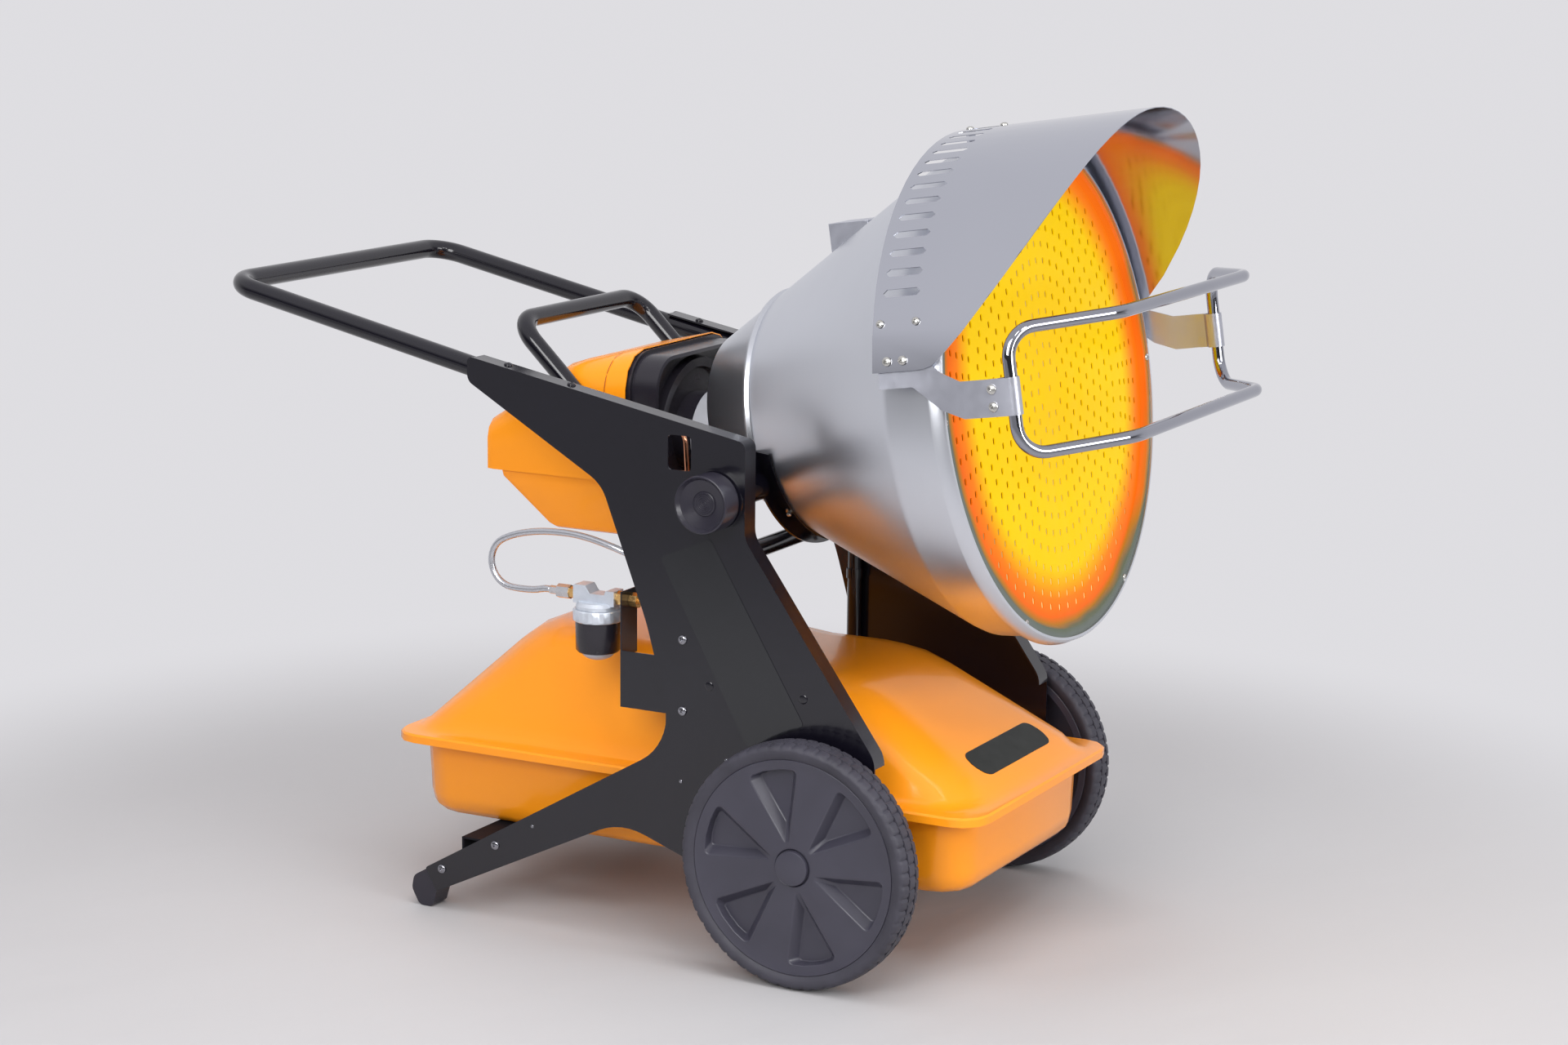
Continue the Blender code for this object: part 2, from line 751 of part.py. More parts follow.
def side_plate():
    """A sheet with its top and front edges folded inwards, a window, and the pivot and axle holes."""
    groups = plate_groups()
    rear_corner = groups[0]
    flanged = [p for group in groups[1:PLATE_FLANGE_CORNERS] for p in group]
    flanged.insert(0, rear_corner[-1])
    plain = [p for group in groups[PLATE_FLANGE_CORNERS:] for p in group] + rear_corner[:-1]
    inner_path = offset_inwards(flanged, PLATE_GAUGE)
    holes = [
        circle(PIVOT_Y, PIVOT_Z, STUD_RADIUS + RUN_GAP),
        circle(0.0, WHEEL_RADIUS, AXLE_RADIUS + GAP),
        box_outline(WINDOW_Y - WINDOW_WIDTH / 2, WINDOW_Z - WINDOW_HEIGHT / 2,
                    WINDOW_Y + WINDOW_WIDTH / 2, WINDOW_Z + WINDOW_HEIGHT / 2, WINDOW_CORNER),
    ]
    bm = bmesh.new()

    def row(points, x):
        return [bm.verts.new((x, p[0], p[1])) for p in points]

    tip_x = -(PLATE_OUTER_X - PLATE_FLANGE)
    outer = row(flanged, -PLATE_OUTER_X)
    outer_plain = row(plain, -PLATE_OUTER_X)
    inner_plain = row(plain, -PLATE_INNER_X)
    fold = row(inner_path, -PLATE_INNER_X)
    tip = row(flanged, tip_x)
    tip_fold = row(inner_path, tip_x)
    first = bm.verts.new((-PLATE_INNER_X, *flanged[0]))
    last = bm.verts.new((-PLATE_INNER_X, *flanged[-1]))
    count = len(flanged)
    for i in range(count - 1):
        outside = [outer[i], outer[i + 1], tip[i + 1], tip[i]]
        if i == 0:
            outside.append(first)
        if i == count - 2:
            outside.insert(2, last)
        bm.faces.new(outside)
        bm.faces.new((fold[i], fold[i + 1], tip_fold[i + 1], tip_fold[i]))
        bm.faces.new((tip[i], tip[i + 1], tip_fold[i + 1], tip_fold[i]))
    bm.faces.new((first, fold[0], tip_fold[0], tip[0]))
    bm.faces.new((last, fold[-1], tip_fold[-1], tip[-1]))
    ring_out = [outer[-1], *outer_plain, outer[0]]
    ring_in = [last, *inner_plain, first]
    for i in range(len(ring_out) - 1):
        bm.faces.new((ring_out[i], ring_out[i + 1], ring_in[i + 1], ring_in[i]))
    hole_out = [row(hole, -PLATE_OUTER_X) for hole in holes]
    hole_in = [row(hole, -PLATE_INNER_X) for hole in holes]
    for a, b in zip(hole_out, hole_in):
        walls(bm, a, b)
    fill(bm, [outer + outer_plain, *hole_out])
    fill(bm, [[first, *fold, last, *inner_plain], *hole_in])
    return bm


def top_edge_z(y):
    """Height of the plates' straight top edge."""
    (ya, za, _), (yb, zb, _) = PLATE_OUTLINE_SHARES[:2]
    slope = (za - zb) * PLATE_HEIGHT / ((ya - yb) * PLATE_LENGTH)
    return za * PLATE_HEIGHT + slope * (y - ya * PLATE_LENGTH)


def push_handle():
    """A U-shaped tube whose arms lie against the plates, under the folded top edge."""
    x = PLATE_INNER_X - GAP - HANDLE_RADIUS
    seat_y = PLATE_OUTLINE_SHARES[0][0] * PLATE_LENGTH - PLATE_FLANGE / 2
    seat_z = (top_edge_z(seat_y) - PLATE_GAUGE - GAP
              - HANDLE_RADIUS / math.cos(HANDLE_SLOPE) - GAP)
    rise = math.tan(HANDLE_SLOPE)
    front_z = seat_z + (HANDLE_FRONT_Y - seat_y) * rise
    rear_z = seat_z + (HANDLE_REACH_Y - seat_y) * rise
    path = rounded([
        ((-x, HANDLE_FRONT_Y, front_z), 0.0),
        ((-x, HANDLE_REACH_Y, rear_z), HANDLE_BEND),
        ((x, HANDLE_REACH_Y, rear_z), HANDLE_BEND),
        ((x, HANDLE_FRONT_Y, front_z), 0.0),
    ], closed=False, arc_step=ARC_STEP * 0.75)
    return sweep(path, HANDLE_RADIUS, HANDLE_WALL)


def cross_stay():
    reach = PLATE_INNER_X - GAP
    return sweep([(-reach, STAY_Y, STAY_Z), (reach, STAY_Y, STAY_Z)], STAY_RADIUS, HANDLE_WALL)


def cross_member(y, depth):
    """A channel, open below, between the plates under the tank."""
    top = TANK_BOTTOM_Z - GAP
    low = top - MEMBER_HEIGHT
    a, b = y - depth / 2, y + depth / 2
    gauge = MEMBER_GAUGE
    outline = [(a, low), (a + gauge, low), (a + gauge, top - gauge), (b - gauge, top - gauge),
               (b - gauge, low), (b, low), (b, top), (a, top)]
    return block(outline, -PLATE_INNER_X + GAP, PLATE_INNER_X - GAP, in_yz)


def foot():
    """A rubber end cap inside the plate's leg, with a flat on the floor."""
    low_y, low_z, _ = PLATE_OUTLINE_SHARES[7]
    high_y, high_z, _ = PLATE_OUTLINE_SHARES[8]
    low = Vector((low_y * PLATE_LENGTH, low_z * PLATE_HEIGHT))
    high = Vector((high_y * PLATE_LENGTH, high_z * PLATE_HEIGHT))
    back_low = Vector((PLATE_OUTLINE_SHARES[6][0] * PLATE_LENGTH,
                       PLATE_OUTLINE_SHARES[6][1] * PLATE_HEIGHT))
    back_high = Vector((PLATE_OUTLINE_SHARES[9][0] * PLATE_LENGTH,
                        PLATE_OUTLINE_SHARES[9][1] * PLATE_HEIGHT))
    along_low = (back_low - low).normalized()
    along_high = (back_high - high).normalized()
    across = Vector((-along_high.y, along_high.x))
    if across.y > 0:
        across = -across
    tip = high - along_high * FOOT_REACH
    flat_start = low.x + FOOT_FLAT_START
    corners = [
        (high + along_high * FOOT_TONGUE + across * FOOT_INSET, 0.0),
        (tip + across * FOOT_INSET, FOOT_INSET * 6),
        ((tip.x + FOOT_INSET, (tip.y + FOOT_INSET) / 2), FOOT_INSET * 6),
        ((flat_start + FOOT_FLAT_LENGTH, 0.0), FOOT_INSET * 2),
        ((flat_start, 0.0), FOOT_INSET * 2),
        (low - across * FOOT_INSET, FOOT_INSET),
        (low + along_low * FOOT_TONGUE - across * FOOT_INSET, 0.0),
    ]
    inner = -(PLATE_INNER_X - GAP)
    return block(rounded(corners), inner, inner + FOOT_WIDTH, in_yz)


def stub_axle():
    """A flanged pin through the plate. Its pin carries the wheel."""
    flange_x = PLATE_INNER_X - GAP
    end_x = WHEEL_OUTER_X - RIM_FACE_INSET - CAP_SEAT - RUN_GAP
    return lathe([
        (flange_x - AXLE_FLANGE_THICKNESS, 0.0),
        (flange_x - AXLE_FLANGE_THICKNESS, AXLE_FLANGE_RADIUS),
        (flange_x, AXLE_FLANGE_RADIUS),
        (flange_x, AXLE_RADIUS),
        (end_x, AXLE_RADIUS),
        (end_x, 0.0),
    ])


# Tank

def tank_ring(half, front, rear, corner, height, steps=3):
    """A rounded rectangle round the tank. height is a number or a function of y."""
    level = height if callable(height) else (lambda _: height)
    ring = []
    for sign_x, y, turn in ((1, rear, 0), (-1, rear, 1), (-1, front, 2), (1, front, 3)):
        towards = 1 if y == rear else -1
        cx = sign_x * (half - corner)
        cy = y - towards * corner
        for k in range(steps + 1):
            angle = math.pi / 2 * (turn + k / steps)
            ring.append((cx + corner * math.cos(angle), cy + corner * math.sin(angle)))
        if turn == 0:
            ring.append((0.0, rear))
        if turn == 1:
            ring.append((-half, TANK_KINK_Y))
        if turn == 2:
            ring.append((0.0, front))
        if turn == 3:
            ring.append((half, TANK_KINK_Y))
    return [Vector((x, y, level(y))) for x, y in ring]


def tank_top_z(y):
    rise = TANK_TOP_RISE / (TANK_TOP_REAR_Y - TANK_KINK_Y)
    return TANK_TOP_Z + rise * max(0.0, y - TANK_KINK_Y)


def between(a, b, share):
    return [p.lerp(q, share) for p, q in zip(a, b)]


def bent(a, b, c, steps):
    """Rings along a smooth bend from ring a past ring b to ring c."""
    return [between(between(a, b, k / steps), between(b, c, k / steps), k / steps)
            for k in range(steps + 1)]


def tank_upper_sheet():
    flange = (TANK_FRONT_Y, TANK_REAR_Y)
    edge = TANK_EDGE_ROUND
    base = tank_ring(TANK_BASE_HALF, TANK_BASE_FRONT_Y, TANK_BASE_REAR_Y, TANK_BASE_CORNER,
                     TANK_FLANGE_Z)
    spread = min(TANK_FILLET, (TANK_REAR_Y - TANK_BASE_REAR_Y) / 2)
    fillet_start = tank_ring(TANK_BASE_HALF + TANK_FILLET, TANK_BASE_FRONT_Y - TANK_FILLET,
                             TANK_BASE_REAR_Y + spread, TANK_BASE_CORNER, TANK_FLANGE_Z)
    skirt = tank_ring(TANK_SKIRT_HALF, TANK_SKIRT_FRONT_Y, TANK_SKIRT_REAR_Y, TANK_SKIRT_CORNER,
                      TANK_SKIRT_Z)
    crest = tank_ring(TANK_TOP_HALF, TANK_TOP_FRONT_Y, TANK_TOP_REAR_Y, TANK_TOP_CORNER, tank_top_z)
    inset = TANK_CROWN_INSET
    crown = tank_ring(TANK_TOP_HALF - inset, TANK_TOP_FRONT_Y + inset, TANK_TOP_REAR_Y - inset,
                      TANK_TOP_CORNER - inset, tank_top_z)
    rings = [
        tank_ring(TANK_FLANGE_HALF, *flange, TANK_FLANGE_CORNER, TANK_FLANGE_Z - TANK_HEM),
        tank_ring(TANK_FLANGE_HALF, *flange, TANK_FLANGE_CORNER, TANK_FLANGE_Z - edge),
        tank_ring(TANK_FLANGE_HALF - edge, TANK_FRONT_Y + edge, TANK_REAR_Y - edge,
                  TANK_FLANGE_CORNER - edge, TANK_FLANGE_Z),
    ]
    rings += bent(fillet_start, base, between(base, skirt, 0.5), 2)
    rings.append(skirt)
    rings += bent(between(skirt, crest, TANK_CROWN_SHARE), crest, crown, 3)
    bm = loft(rings, caps=False)
    bm.verts.ensure_lookup_table()
    size = len(rings[0])
    crown_row = bm.verts[-size:]
    fill_tank_crown(bm, crown_row)
    return bm


def fill_tank_crown(bm, row):
    """Closes the top with two flat faces that meet at the kink."""
    left = next(i for i, v in enumerate(row) if v.co.x < 0 and abs(v.co.y - TANK_KINK_Y) < GAP)
    right = len(row) - 1
    bm.faces.new(row[left:right + 1])
    bm.faces.new([row[right], *row[:left + 1]])


def tank_lower_sheet():
    taper = TANK_LOWER_TAPER
    reach = TANK_FLANGE_HALF - TANK_LOWER_HALF - SHEET * 2
    top_z = TANK_FLANGE_Z - SHEET * 2 - GAP
    drop = TANK_BOTTOM_ROUND

    def ring(grow, z, corner=TANK_LOWER_CORNER):
        return tank_ring(TANK_LOWER_HALF + grow, TANK_LOWER_FRONT_Y - grow,
                         TANK_LOWER_REAR_Y + grow, corner, z)

    wall_top = ring(0.0, top_z)
    wall_low = ring(-taper, TANK_BOTTOM_Z + drop)
    knee = ring(-taper, TANK_BOTTOM_Z)
    floor = ring(-taper - drop, TANK_BOTTOM_Z, TANK_LOWER_CORNER - drop / 2)
    rings = [ring(reach, top_z, TANK_FLANGE_CORNER)]
    rings += bent(ring(TANK_FILLET / 2, top_z), wall_top, between(wall_top, wall_low, 0.08), 2)
    rings += bent(wall_low, knee, floor, 3)
    bm = loft(rings, caps=False)
    bm.verts.ensure_lookup_table()
    bm.faces.new(bm.verts[-len(rings[0]):])
    return bm


def ripple_of(count, depth, facets, rows):
    """Shallow finger notches round the named rows of a turned part."""
    def notch(row, k):
        lobe = math.cos(2 * math.pi * count * k / facets)
        return depth * (0.5 - 0.5 * lobe) if row in rows else 0.0
    return notch


def fuel_cap():
    radius, height = FUEL_CAP_RADIUS, FUEL_CAP_HEIGHT
    facets = FUEL_CAP_LOBES * 2
    profile = [(GAP, 0.0), (GAP, radius - SHEET), (height / 5, radius), (height * 0.8, radius),
               (height, radius - SHEET * 2), (height, 0.0)]
    notch = ripple_of(FUEL_CAP_LOBES, FUEL_CAP_LOBE_DEPTH, facets, (2, 3))
    return lathe(profile, "Z", facets, ripple=notch)


# Wheels: outwards is +X in their own frame

def tyre():
    """Flat tread with two grooves, rounded shoulders and a bead seat."""
    half = WHEEL_WIDTH / 2
    crown, seat = WHEEL_RADIUS, WHEEL_RADIUS - TYRE_SECTION
    low = TREAD_CROWN
    profile = [(-half + low, seat), (-half, crown - low * 2.2), (-half + low * 0.6, crown - low * 0.8)]
    groove = TREAD_GROOVE_WIDTH / 2
    for share in TREAD_GROOVE_SHARES:
        centre = share * WHEEL_WIDTH
        rise = crown - abs(share) * low * 0.6
        profile += [(centre - groove, rise), (centre, rise - TREAD_GROOVE_DEPTH),
                    (centre + groove, rise)]
    profile += [(half - low * 0.6, crown - low * 0.8), (half, crown - low * 2.2), (half - low, seat)]
    return lathe(profile, "X", WHEEL_FACETS)


def pocket_outline(angle, share):
    """A triangular pocket: narrow at the hub, wide at the rim, shrunk about its middle by share."""
    tip = Vector((POCKET_TIP_RADIUS, 0.0))
    outer = [Vector((POCKET_OUTER_RADIUS * math.cos(t * POCKET_HALF_ANGLE),
                     POCKET_OUTER_RADIUS * math.sin(t * POCKET_HALF_ANGLE)))
             for t in (-1.0, -0.34, 0.34, 1.0)]
    middle = Vector((POCKET_TIP_RADIUS + (POCKET_OUTER_RADIUS - POCKET_TIP_RADIUS) * 0.64, 0.0))
    corners = [
        (tip - Vector((0.0, POCKET_TIP_WIDTH / 2)), 0.0),
        (outer[0], POCKET_CORNER), (outer[1], 0.0), (outer[2], 0.0), (outer[3], POCKET_CORNER),
        (tip + Vector((0.0, POCKET_TIP_WIDTH / 2)), 0.0),
    ]
    shrunk = [(middle + (Vector(p) - middle) * share, r * share) for p, r in corners]
    turn = Matrix.Rotation(angle, 2)
    return [turn @ p for p in rounded(shrunk, arc_step=ARC_STEP * 2)]


def wheel_rim():
    """A moulded disc: bead ring, six triangular pockets and a deep hub."""
    half = WHEEL_WIDTH / 2
    seat = WHEEL_RADIUS - TYRE_SECTION - GAP
    face = half - RIM_FACE_INSET
    back = face - RIM_WEB_THICKNESS
    bore = AXLE_RADIUS + RUN_GAP
    hub_back = HUB_INNER_X - (WHEEL_OUTER_X - half)
    rib_in = seat - RIM_RIB_WIDTH
    bm = bmesh.new()
    facets = WHEEL_FACETS

    def ring(radius, x, count=facets):
        return [bm.verts.new((x, a, b)) for a, b in circle(0.0, 0.0, radius, count)]

    def join(a, b):
        walls(bm, a, b)

    cap_seat = face - CAP_SEAT
    small = SMALL_FACETS
    outer_front = ring(seat, half - RIM_FACE_INSET / 2)
    outer_back = ring(seat, -half + RIM_FACE_INSET / 2)
    rib_back = ring(rib_in, -half + RIM_FACE_INSET / 2)
    web_back = ring(rib_in, back)
    lip_face = ring(rib_in, face)
    hub_face = ring(HUB_RADIUS, face, small)
    cap_wall_top = ring(CAP_RADIUS + RUN_GAP, face, small)
    cap_wall = ring(CAP_RADIUS + RUN_GAP, cap_seat, small)
    bore_front = ring(bore, cap_seat, small)
    bore_back = ring(bore, hub_back, small)
    hub_end = ring(HUB_RADIUS * 0.8, hub_back, small)
    hub_back_ring = ring(HUB_RADIUS, back, small)
    join(outer_front, outer_back)
    join(outer_back, rib_back)
    join(rib_back, web_back)
    join(outer_front, lip_face)
    join(hub_face, cap_wall_top)
    join(cap_wall_top, cap_wall)
    join(cap_wall, bore_front)
    join(bore_front, bore_back)
    join(bore_back, hub_end)
    join(hub_end, hub_back_ring)
    pockets = []
    for k in range(POCKET_COUNT):
        angle = POCKET_PHASE + 2 * math.pi * k / POCKET_COUNT
        rim = [bm.verts.new((face, p.x, p.y)) for p in pocket_outline(angle, 1.0)]
        floor = [bm.verts.new((face - POCKET_DEPTH, p.x, p.y))
                 for p in pocket_outline(angle, POCKET_FLOOR_SHARE)]
        walls(bm, rim, floor)
        bm.faces.new(floor)
        pockets.append(rim)
    fill(bm, [lip_face, hub_face, *pockets])
    fill(bm, [web_back, hub_back_ring])
    return bm


def hub_cap():
    half = WHEEL_WIDTH / 2
    face = half - RIM_FACE_INSET - CAP_SEAT + GAP
    return lathe([(face, 0.0), (face, CAP_RADIUS), (face + CAP_THICKNESS * 0.7, CAP_RADIUS),
                  (face + CAP_THICKNESS, CAP_RADIUS - CAP_DOME),
                  (face + CAP_THICKNESS, 0.0)], "X", SMALL_FACETS)


# Head: drum frame, with Y along the axis (s) and Z up (u)

def drum_profile():
    """Outer line of the drum shell as (s, radius), from rim to rear end."""
    rib = DRUM_RIB_WIDTH / 2
    return [
        (0.0, DRUM_RADIUS - DRUM_BEAD_WIDTH / 3),
        (DRUM_BEAD_WIDTH / 3, DRUM_RADIUS),
        (DRUM_STEP_S - DRUM_BEAD_WIDTH / 2, DRUM_RADIUS + DRUM_STEP_RISE),
        (DRUM_STEP_S, DRUM_RADIUS + DRUM_STEP_RISE),
        (DRUM_STEP_S + DRUM_BEAD_WIDTH / 2, DRUM_BODY_RADIUS),
        (DRUM_CONE_S - DRUM_BEAD_WIDTH, DRUM_CONE_RADIUS + DRUM_BEAD_WIDTH / 3),
        (DRUM_CONE_S + DRUM_BEAD_WIDTH, cone_radius(DRUM_CONE_S + DRUM_BEAD_WIDTH)),
        (DRUM_RIB_S - rib, cone_radius(DRUM_RIB_S - rib)),
        (DRUM_RIB_S - rib / 3, cone_radius(DRUM_RIB_S - rib / 3) + DRUM_RIB_RISE),
        (DRUM_RIB_S + rib / 3, cone_radius(DRUM_RIB_S + rib / 3) + DRUM_RIB_RISE),
        (DRUM_RIB_S + rib, cone_radius(DRUM_RIB_S + rib)),
        (DRUM_END_S - DRUM_BEAD_WIDTH / 2, cone_radius(DRUM_END_S - DRUM_BEAD_WIDTH / 2)),
        (DRUM_END_S, DRUM_END_RADIUS - DRUM_BEAD_WIDTH / 2),
    ]


def cone_radius(s):
    slope = (DRUM_CONE_RADIUS - DRUM_END_RADIUS) / (DRUM_END_S - DRUM_CONE_S)
    return DRUM_CONE_RADIUS - slope * (s - DRUM_CONE_S)


def drum_rim_radius():
    """Inside of the rim, where the disc sits."""
    return DRUM_RADIUS - DRUM_BEAD_WIDTH


def drum_shell():
    """A spun sheet: rolled rim, cylinder, cone, rib and flat rear end with the blast opening."""
    end = DRUM_END_S - SHEET
    wall = SHEET * 1.4
    profile = drum_profile() + [
        (DRUM_END_S, BLAST_RADIUS), (end, BLAST_RADIUS), (end, cone_radius(end) - wall),
        (DRUM_CONE_S, DRUM_CONE_RADIUS - wall),
        (DRUM_STEP_S + DRUM_BEAD_WIDTH, DRUM_BODY_RADIUS - wall),
        (DRUM_STEP_S - DRUM_BEAD_WIDTH, drum_rim_radius() + DRUM_STEP_RISE),
        (DRUM_STEP_S / 2, drum_rim_radius()), (0.0, drum_rim_radius()),
    ]
    return lathe(profile, "Y", DRUM_FACETS)


def slot_places():
    """Centres of the disc's slots on rings, as (radius, angle)."""
    places = []
    for i in range(SLOT_RING_COUNT):
        share = SLOT_RING_FIRST_SHARE + (SLOT_RING_LAST_SHARE - SLOT_RING_FIRST_SHARE) * i / (
            SLOT_RING_COUNT - 1)
        radius = DISC_RING_RADIUS * share
        count = max(6, round(2 * math.pi * radius / SLOT_PITCH))
        places += [(radius, 2 * math.pi * (k + 0.5 * (i % 2)) / count) for k in range(count)]
    return places


def radiant_disc():
    """A dished, perforated disc that sits inside the drum's rim."""
    bm = bmesh.new()
    radius_out = drum_rim_radius() - GAP
    slots = slot_places()
    crown = DISC_RECESS - DISC_CROWN

    def face_ring(radius, s, count=DRUM_FACETS):
        return [bm.verts.new((a, s, b)) for a, b in circle(0.0, 0.0, radius, count)]

    rows = {}
    for side, shift in (("front", 0.0), ("back", SHEET)):
        edge = face_ring(radius_out, DISC_FLANGE_S + shift)
        flange = face_ring(DISC_RING_RADIUS + DRUM_BEAD_WIDTH, DISC_FLANGE_S + shift)
        dish = face_ring(DISC_RING_RADIUS, DISC_RECESS + shift)
        walls(bm, edge, flange)
        walls(bm, flange, dish)
        holes = []
        for radius, angle in slots:
            centre = Vector((radius * math.cos(angle), radius * math.sin(angle)))
            along, across = Vector((0.0, SLOT_LENGTH / 2)), Vector((SLOT_WIDTH / 2, 0.0))
            corners = [centre + across + along, centre - across + along,
                       centre - across - along, centre + across - along]
            rise = crown + (DISC_RECESS - crown) * (radius / DISC_RING_RADIUS) ** 2
            holes.append([bm.verts.new((p.x, rise + shift, p.y)) for p in corners])
        fill(bm, [dish, *holes])
        rows[side] = (edge, holes)
    walls(bm, rows["front"][0], rows["back"][0])
    for a, b in zip(rows["front"][1], rows["back"][1]):
        walls(bm, a, b)
    return bm


def combustion_chamber():
    """A liner inside the drum, open at the disc and at the blast tube."""
    seat = DRUM_END_S - SHEET - GAP
    step = CHAMBER_CLEARANCE
    wall = SHEET
    mouth = DRUM_BODY_RADIUS - step
    knee = DRUM_CONE_RADIUS - step
    outlet = CHAMBER_OUTLET_RADIUS
    profile = [(CHAMBER_MOUTH_S, mouth), (DRUM_CONE_S, knee), (seat, outlet + wall),
               (seat, BLAST_RADIUS + SHEET), (seat - SHEET, BLAST_RADIUS + SHEET),
               (seat - wall, outlet), (DRUM_CONE_S, knee - wall), (CHAMBER_MOUTH_S, mouth - wall)]
    return lathe(profile, "Y", DRUM_FACETS // 2)


def hood_front_s(angle):
    """Front edge of the hood at an angle from its top."""
    share = min(1.0, abs(angle) / HOOD_SWEEP_ANGLE)
    return -HOOD_REACH + HOOD_SWEEP * share ** HOOD_SWEEP_POWER


def on_hood(angle, s, radius=HOOD_RADIUS):
    return (radius * math.sin(angle), s, radius * math.cos(angle))


def hood_slot(centre):
    """Rounded ventilation slot as (angle, s) points."""
    half = HOOD_SLOT_WIDTH / 2
    points = []
    for s_end, first in ((HOOD_SLOT_END_S - half, 0.0), (HOOD_SLOT_START_S + half, math.pi)):
        for k in range(3):
            turn = first + math.pi * k / 2
            points.append((centre + half * math.cos(turn) / HOOD_RADIUS,
                           s_end + half * math.sin(turn)))
    return points


def hood_sheet():
    """Rolled sheet over the drum: a row of slotted strips and a plain corner strip at each end."""
    bm = bmesh.new()
    edge = HOOD_SLOT_PITCH * HOOD_SLOT_COUNT / 2
    borders = [-edge + HOOD_SLOT_PITCH * k for k in range(HOOD_SLOT_COUNT + 1)]
    mid = (edge + HOOD_HALF_ANGLE) / 2
    fronts = {a: bm.verts.new(on_hood(a, hood_front_s(a))) for a in borders}
    rears = {a: bm.verts.new(on_hood(a, HOOD_REAR_S)) for a in borders}
    for low, high in zip(borders, borders[1:]):
        centre = (low + high) / 2
        slot = [bm.verts.new(on_hood(a, s)) for a, s in hood_slot(centre)]
        fill(bm, [[fronts[low], rears[low], rears[high], fronts[high]], slot])
    for side in (-1, 1):
        a = side * edge
        corner_s = hood_front_s(HOOD_HALF_ANGLE)
        end = side * HOOD_HALF_ANGLE
        round_angle = HOOD_CORNER / HOOD_RADIUS
        mids = [bm.verts.new(on_hood(side * mid, hood_front_s(mid))),
                bm.verts.new(on_hood(side * mid, HOOD_REAR_S))]
        bm.faces.new((fronts[a], mids[0], mids[1], rears[a]))
        arc = []
        for k in range(1, 4):
            turn = math.pi / 2 * k / 4
            arc.append(bm.verts.new(on_hood(
                end - side * round_angle / 2 * (1 - math.sin(turn)),
                corner_s + HOOD_CORNER * (1 - math.cos(turn)))))
        arc.append(bm.verts.new(on_hood(end, corner_s + HOOD_CORNER)))
        low_rear = bm.verts.new(on_hood(end, HOOD_REAR_S))
        bm.faces.new([mids[0], *arc, low_rear, mids[1]])
    for face in bm.faces:
        face.normal_update()
    return bm


def hood_spacers():
    """Stand-off sleeves that carry the hood on the drum, welded to its inner face."""
    parts = []
    top = HOOD_RADIUS - THIN_SHEET / 2
    for angle in (-SPACER_ANGLE, 0.0, SPACER_ANGLE):
        for s in SPACER_S:
            share = (s - DRUM_STEP_S) / (DRUM_CONE_S - DRUM_STEP_S)
            foot_radius = (DRUM_BODY_RADIUS
                           + (DRUM_CONE_RADIUS + DRUM_BEAD_WIDTH / 3 - DRUM_BODY_RADIUS)
                           * max(0.0, share) + GAP * 2)
            sleeve = lathe([(foot_radius, 0.0), (foot_radius, SPACER_RADIUS),
                            (top, SPACER_RADIUS), (top, 0.0)], "Z", 6)
            bmesh.ops.transform(sleeve, verts=sleeve.verts[:],
                                matrix=Matrix.Translation((0.0, s, 0.0))
                                @ Matrix.Rotation(angle, 4, "Y"))
            parts.append(sleeve)
    return joined_meshes(parts)


def guard_loop():
    """A closed loop of chromed tube, bent back to its clamps at both sides."""
    x, s = GUARD_SIDE_X, GUARD_SIDE_S
    nx, ns = GUARD_NOSE_X, GUARD_NOSE_S
    top, low = GUARD_TOP_U, GUARD_BOTTOM_U
    corners = [
        ((-x, s, top), GUARD_CORNER), ((-nx, ns, top), GUARD_KINK), ((nx, ns, top), GUARD_KINK),
        ((x, s, top), GUARD_CORNER), ((x, s, low), GUARD_CORNER), ((nx, ns, low), GUARD_KINK),
        ((-nx, ns, low), GUARD_KINK), ((-x, s, low), GUARD_CORNER),
    ]
    return sweep(rounded(corners), GUARD_RADIUS, closed=True, sides=8)


def ribbon(stations, thickness):
    """A bent strip: each station is (low point, high point, outward normal)."""
    rings = []
    for low, high, normal in stations:
        shift = Vector(normal).normalized() * (thickness / 2)
        a, b = Vector(low), Vector(high)
        rings.append([a + shift, b + shift, b - shift, a - shift])
    return loft(rings)


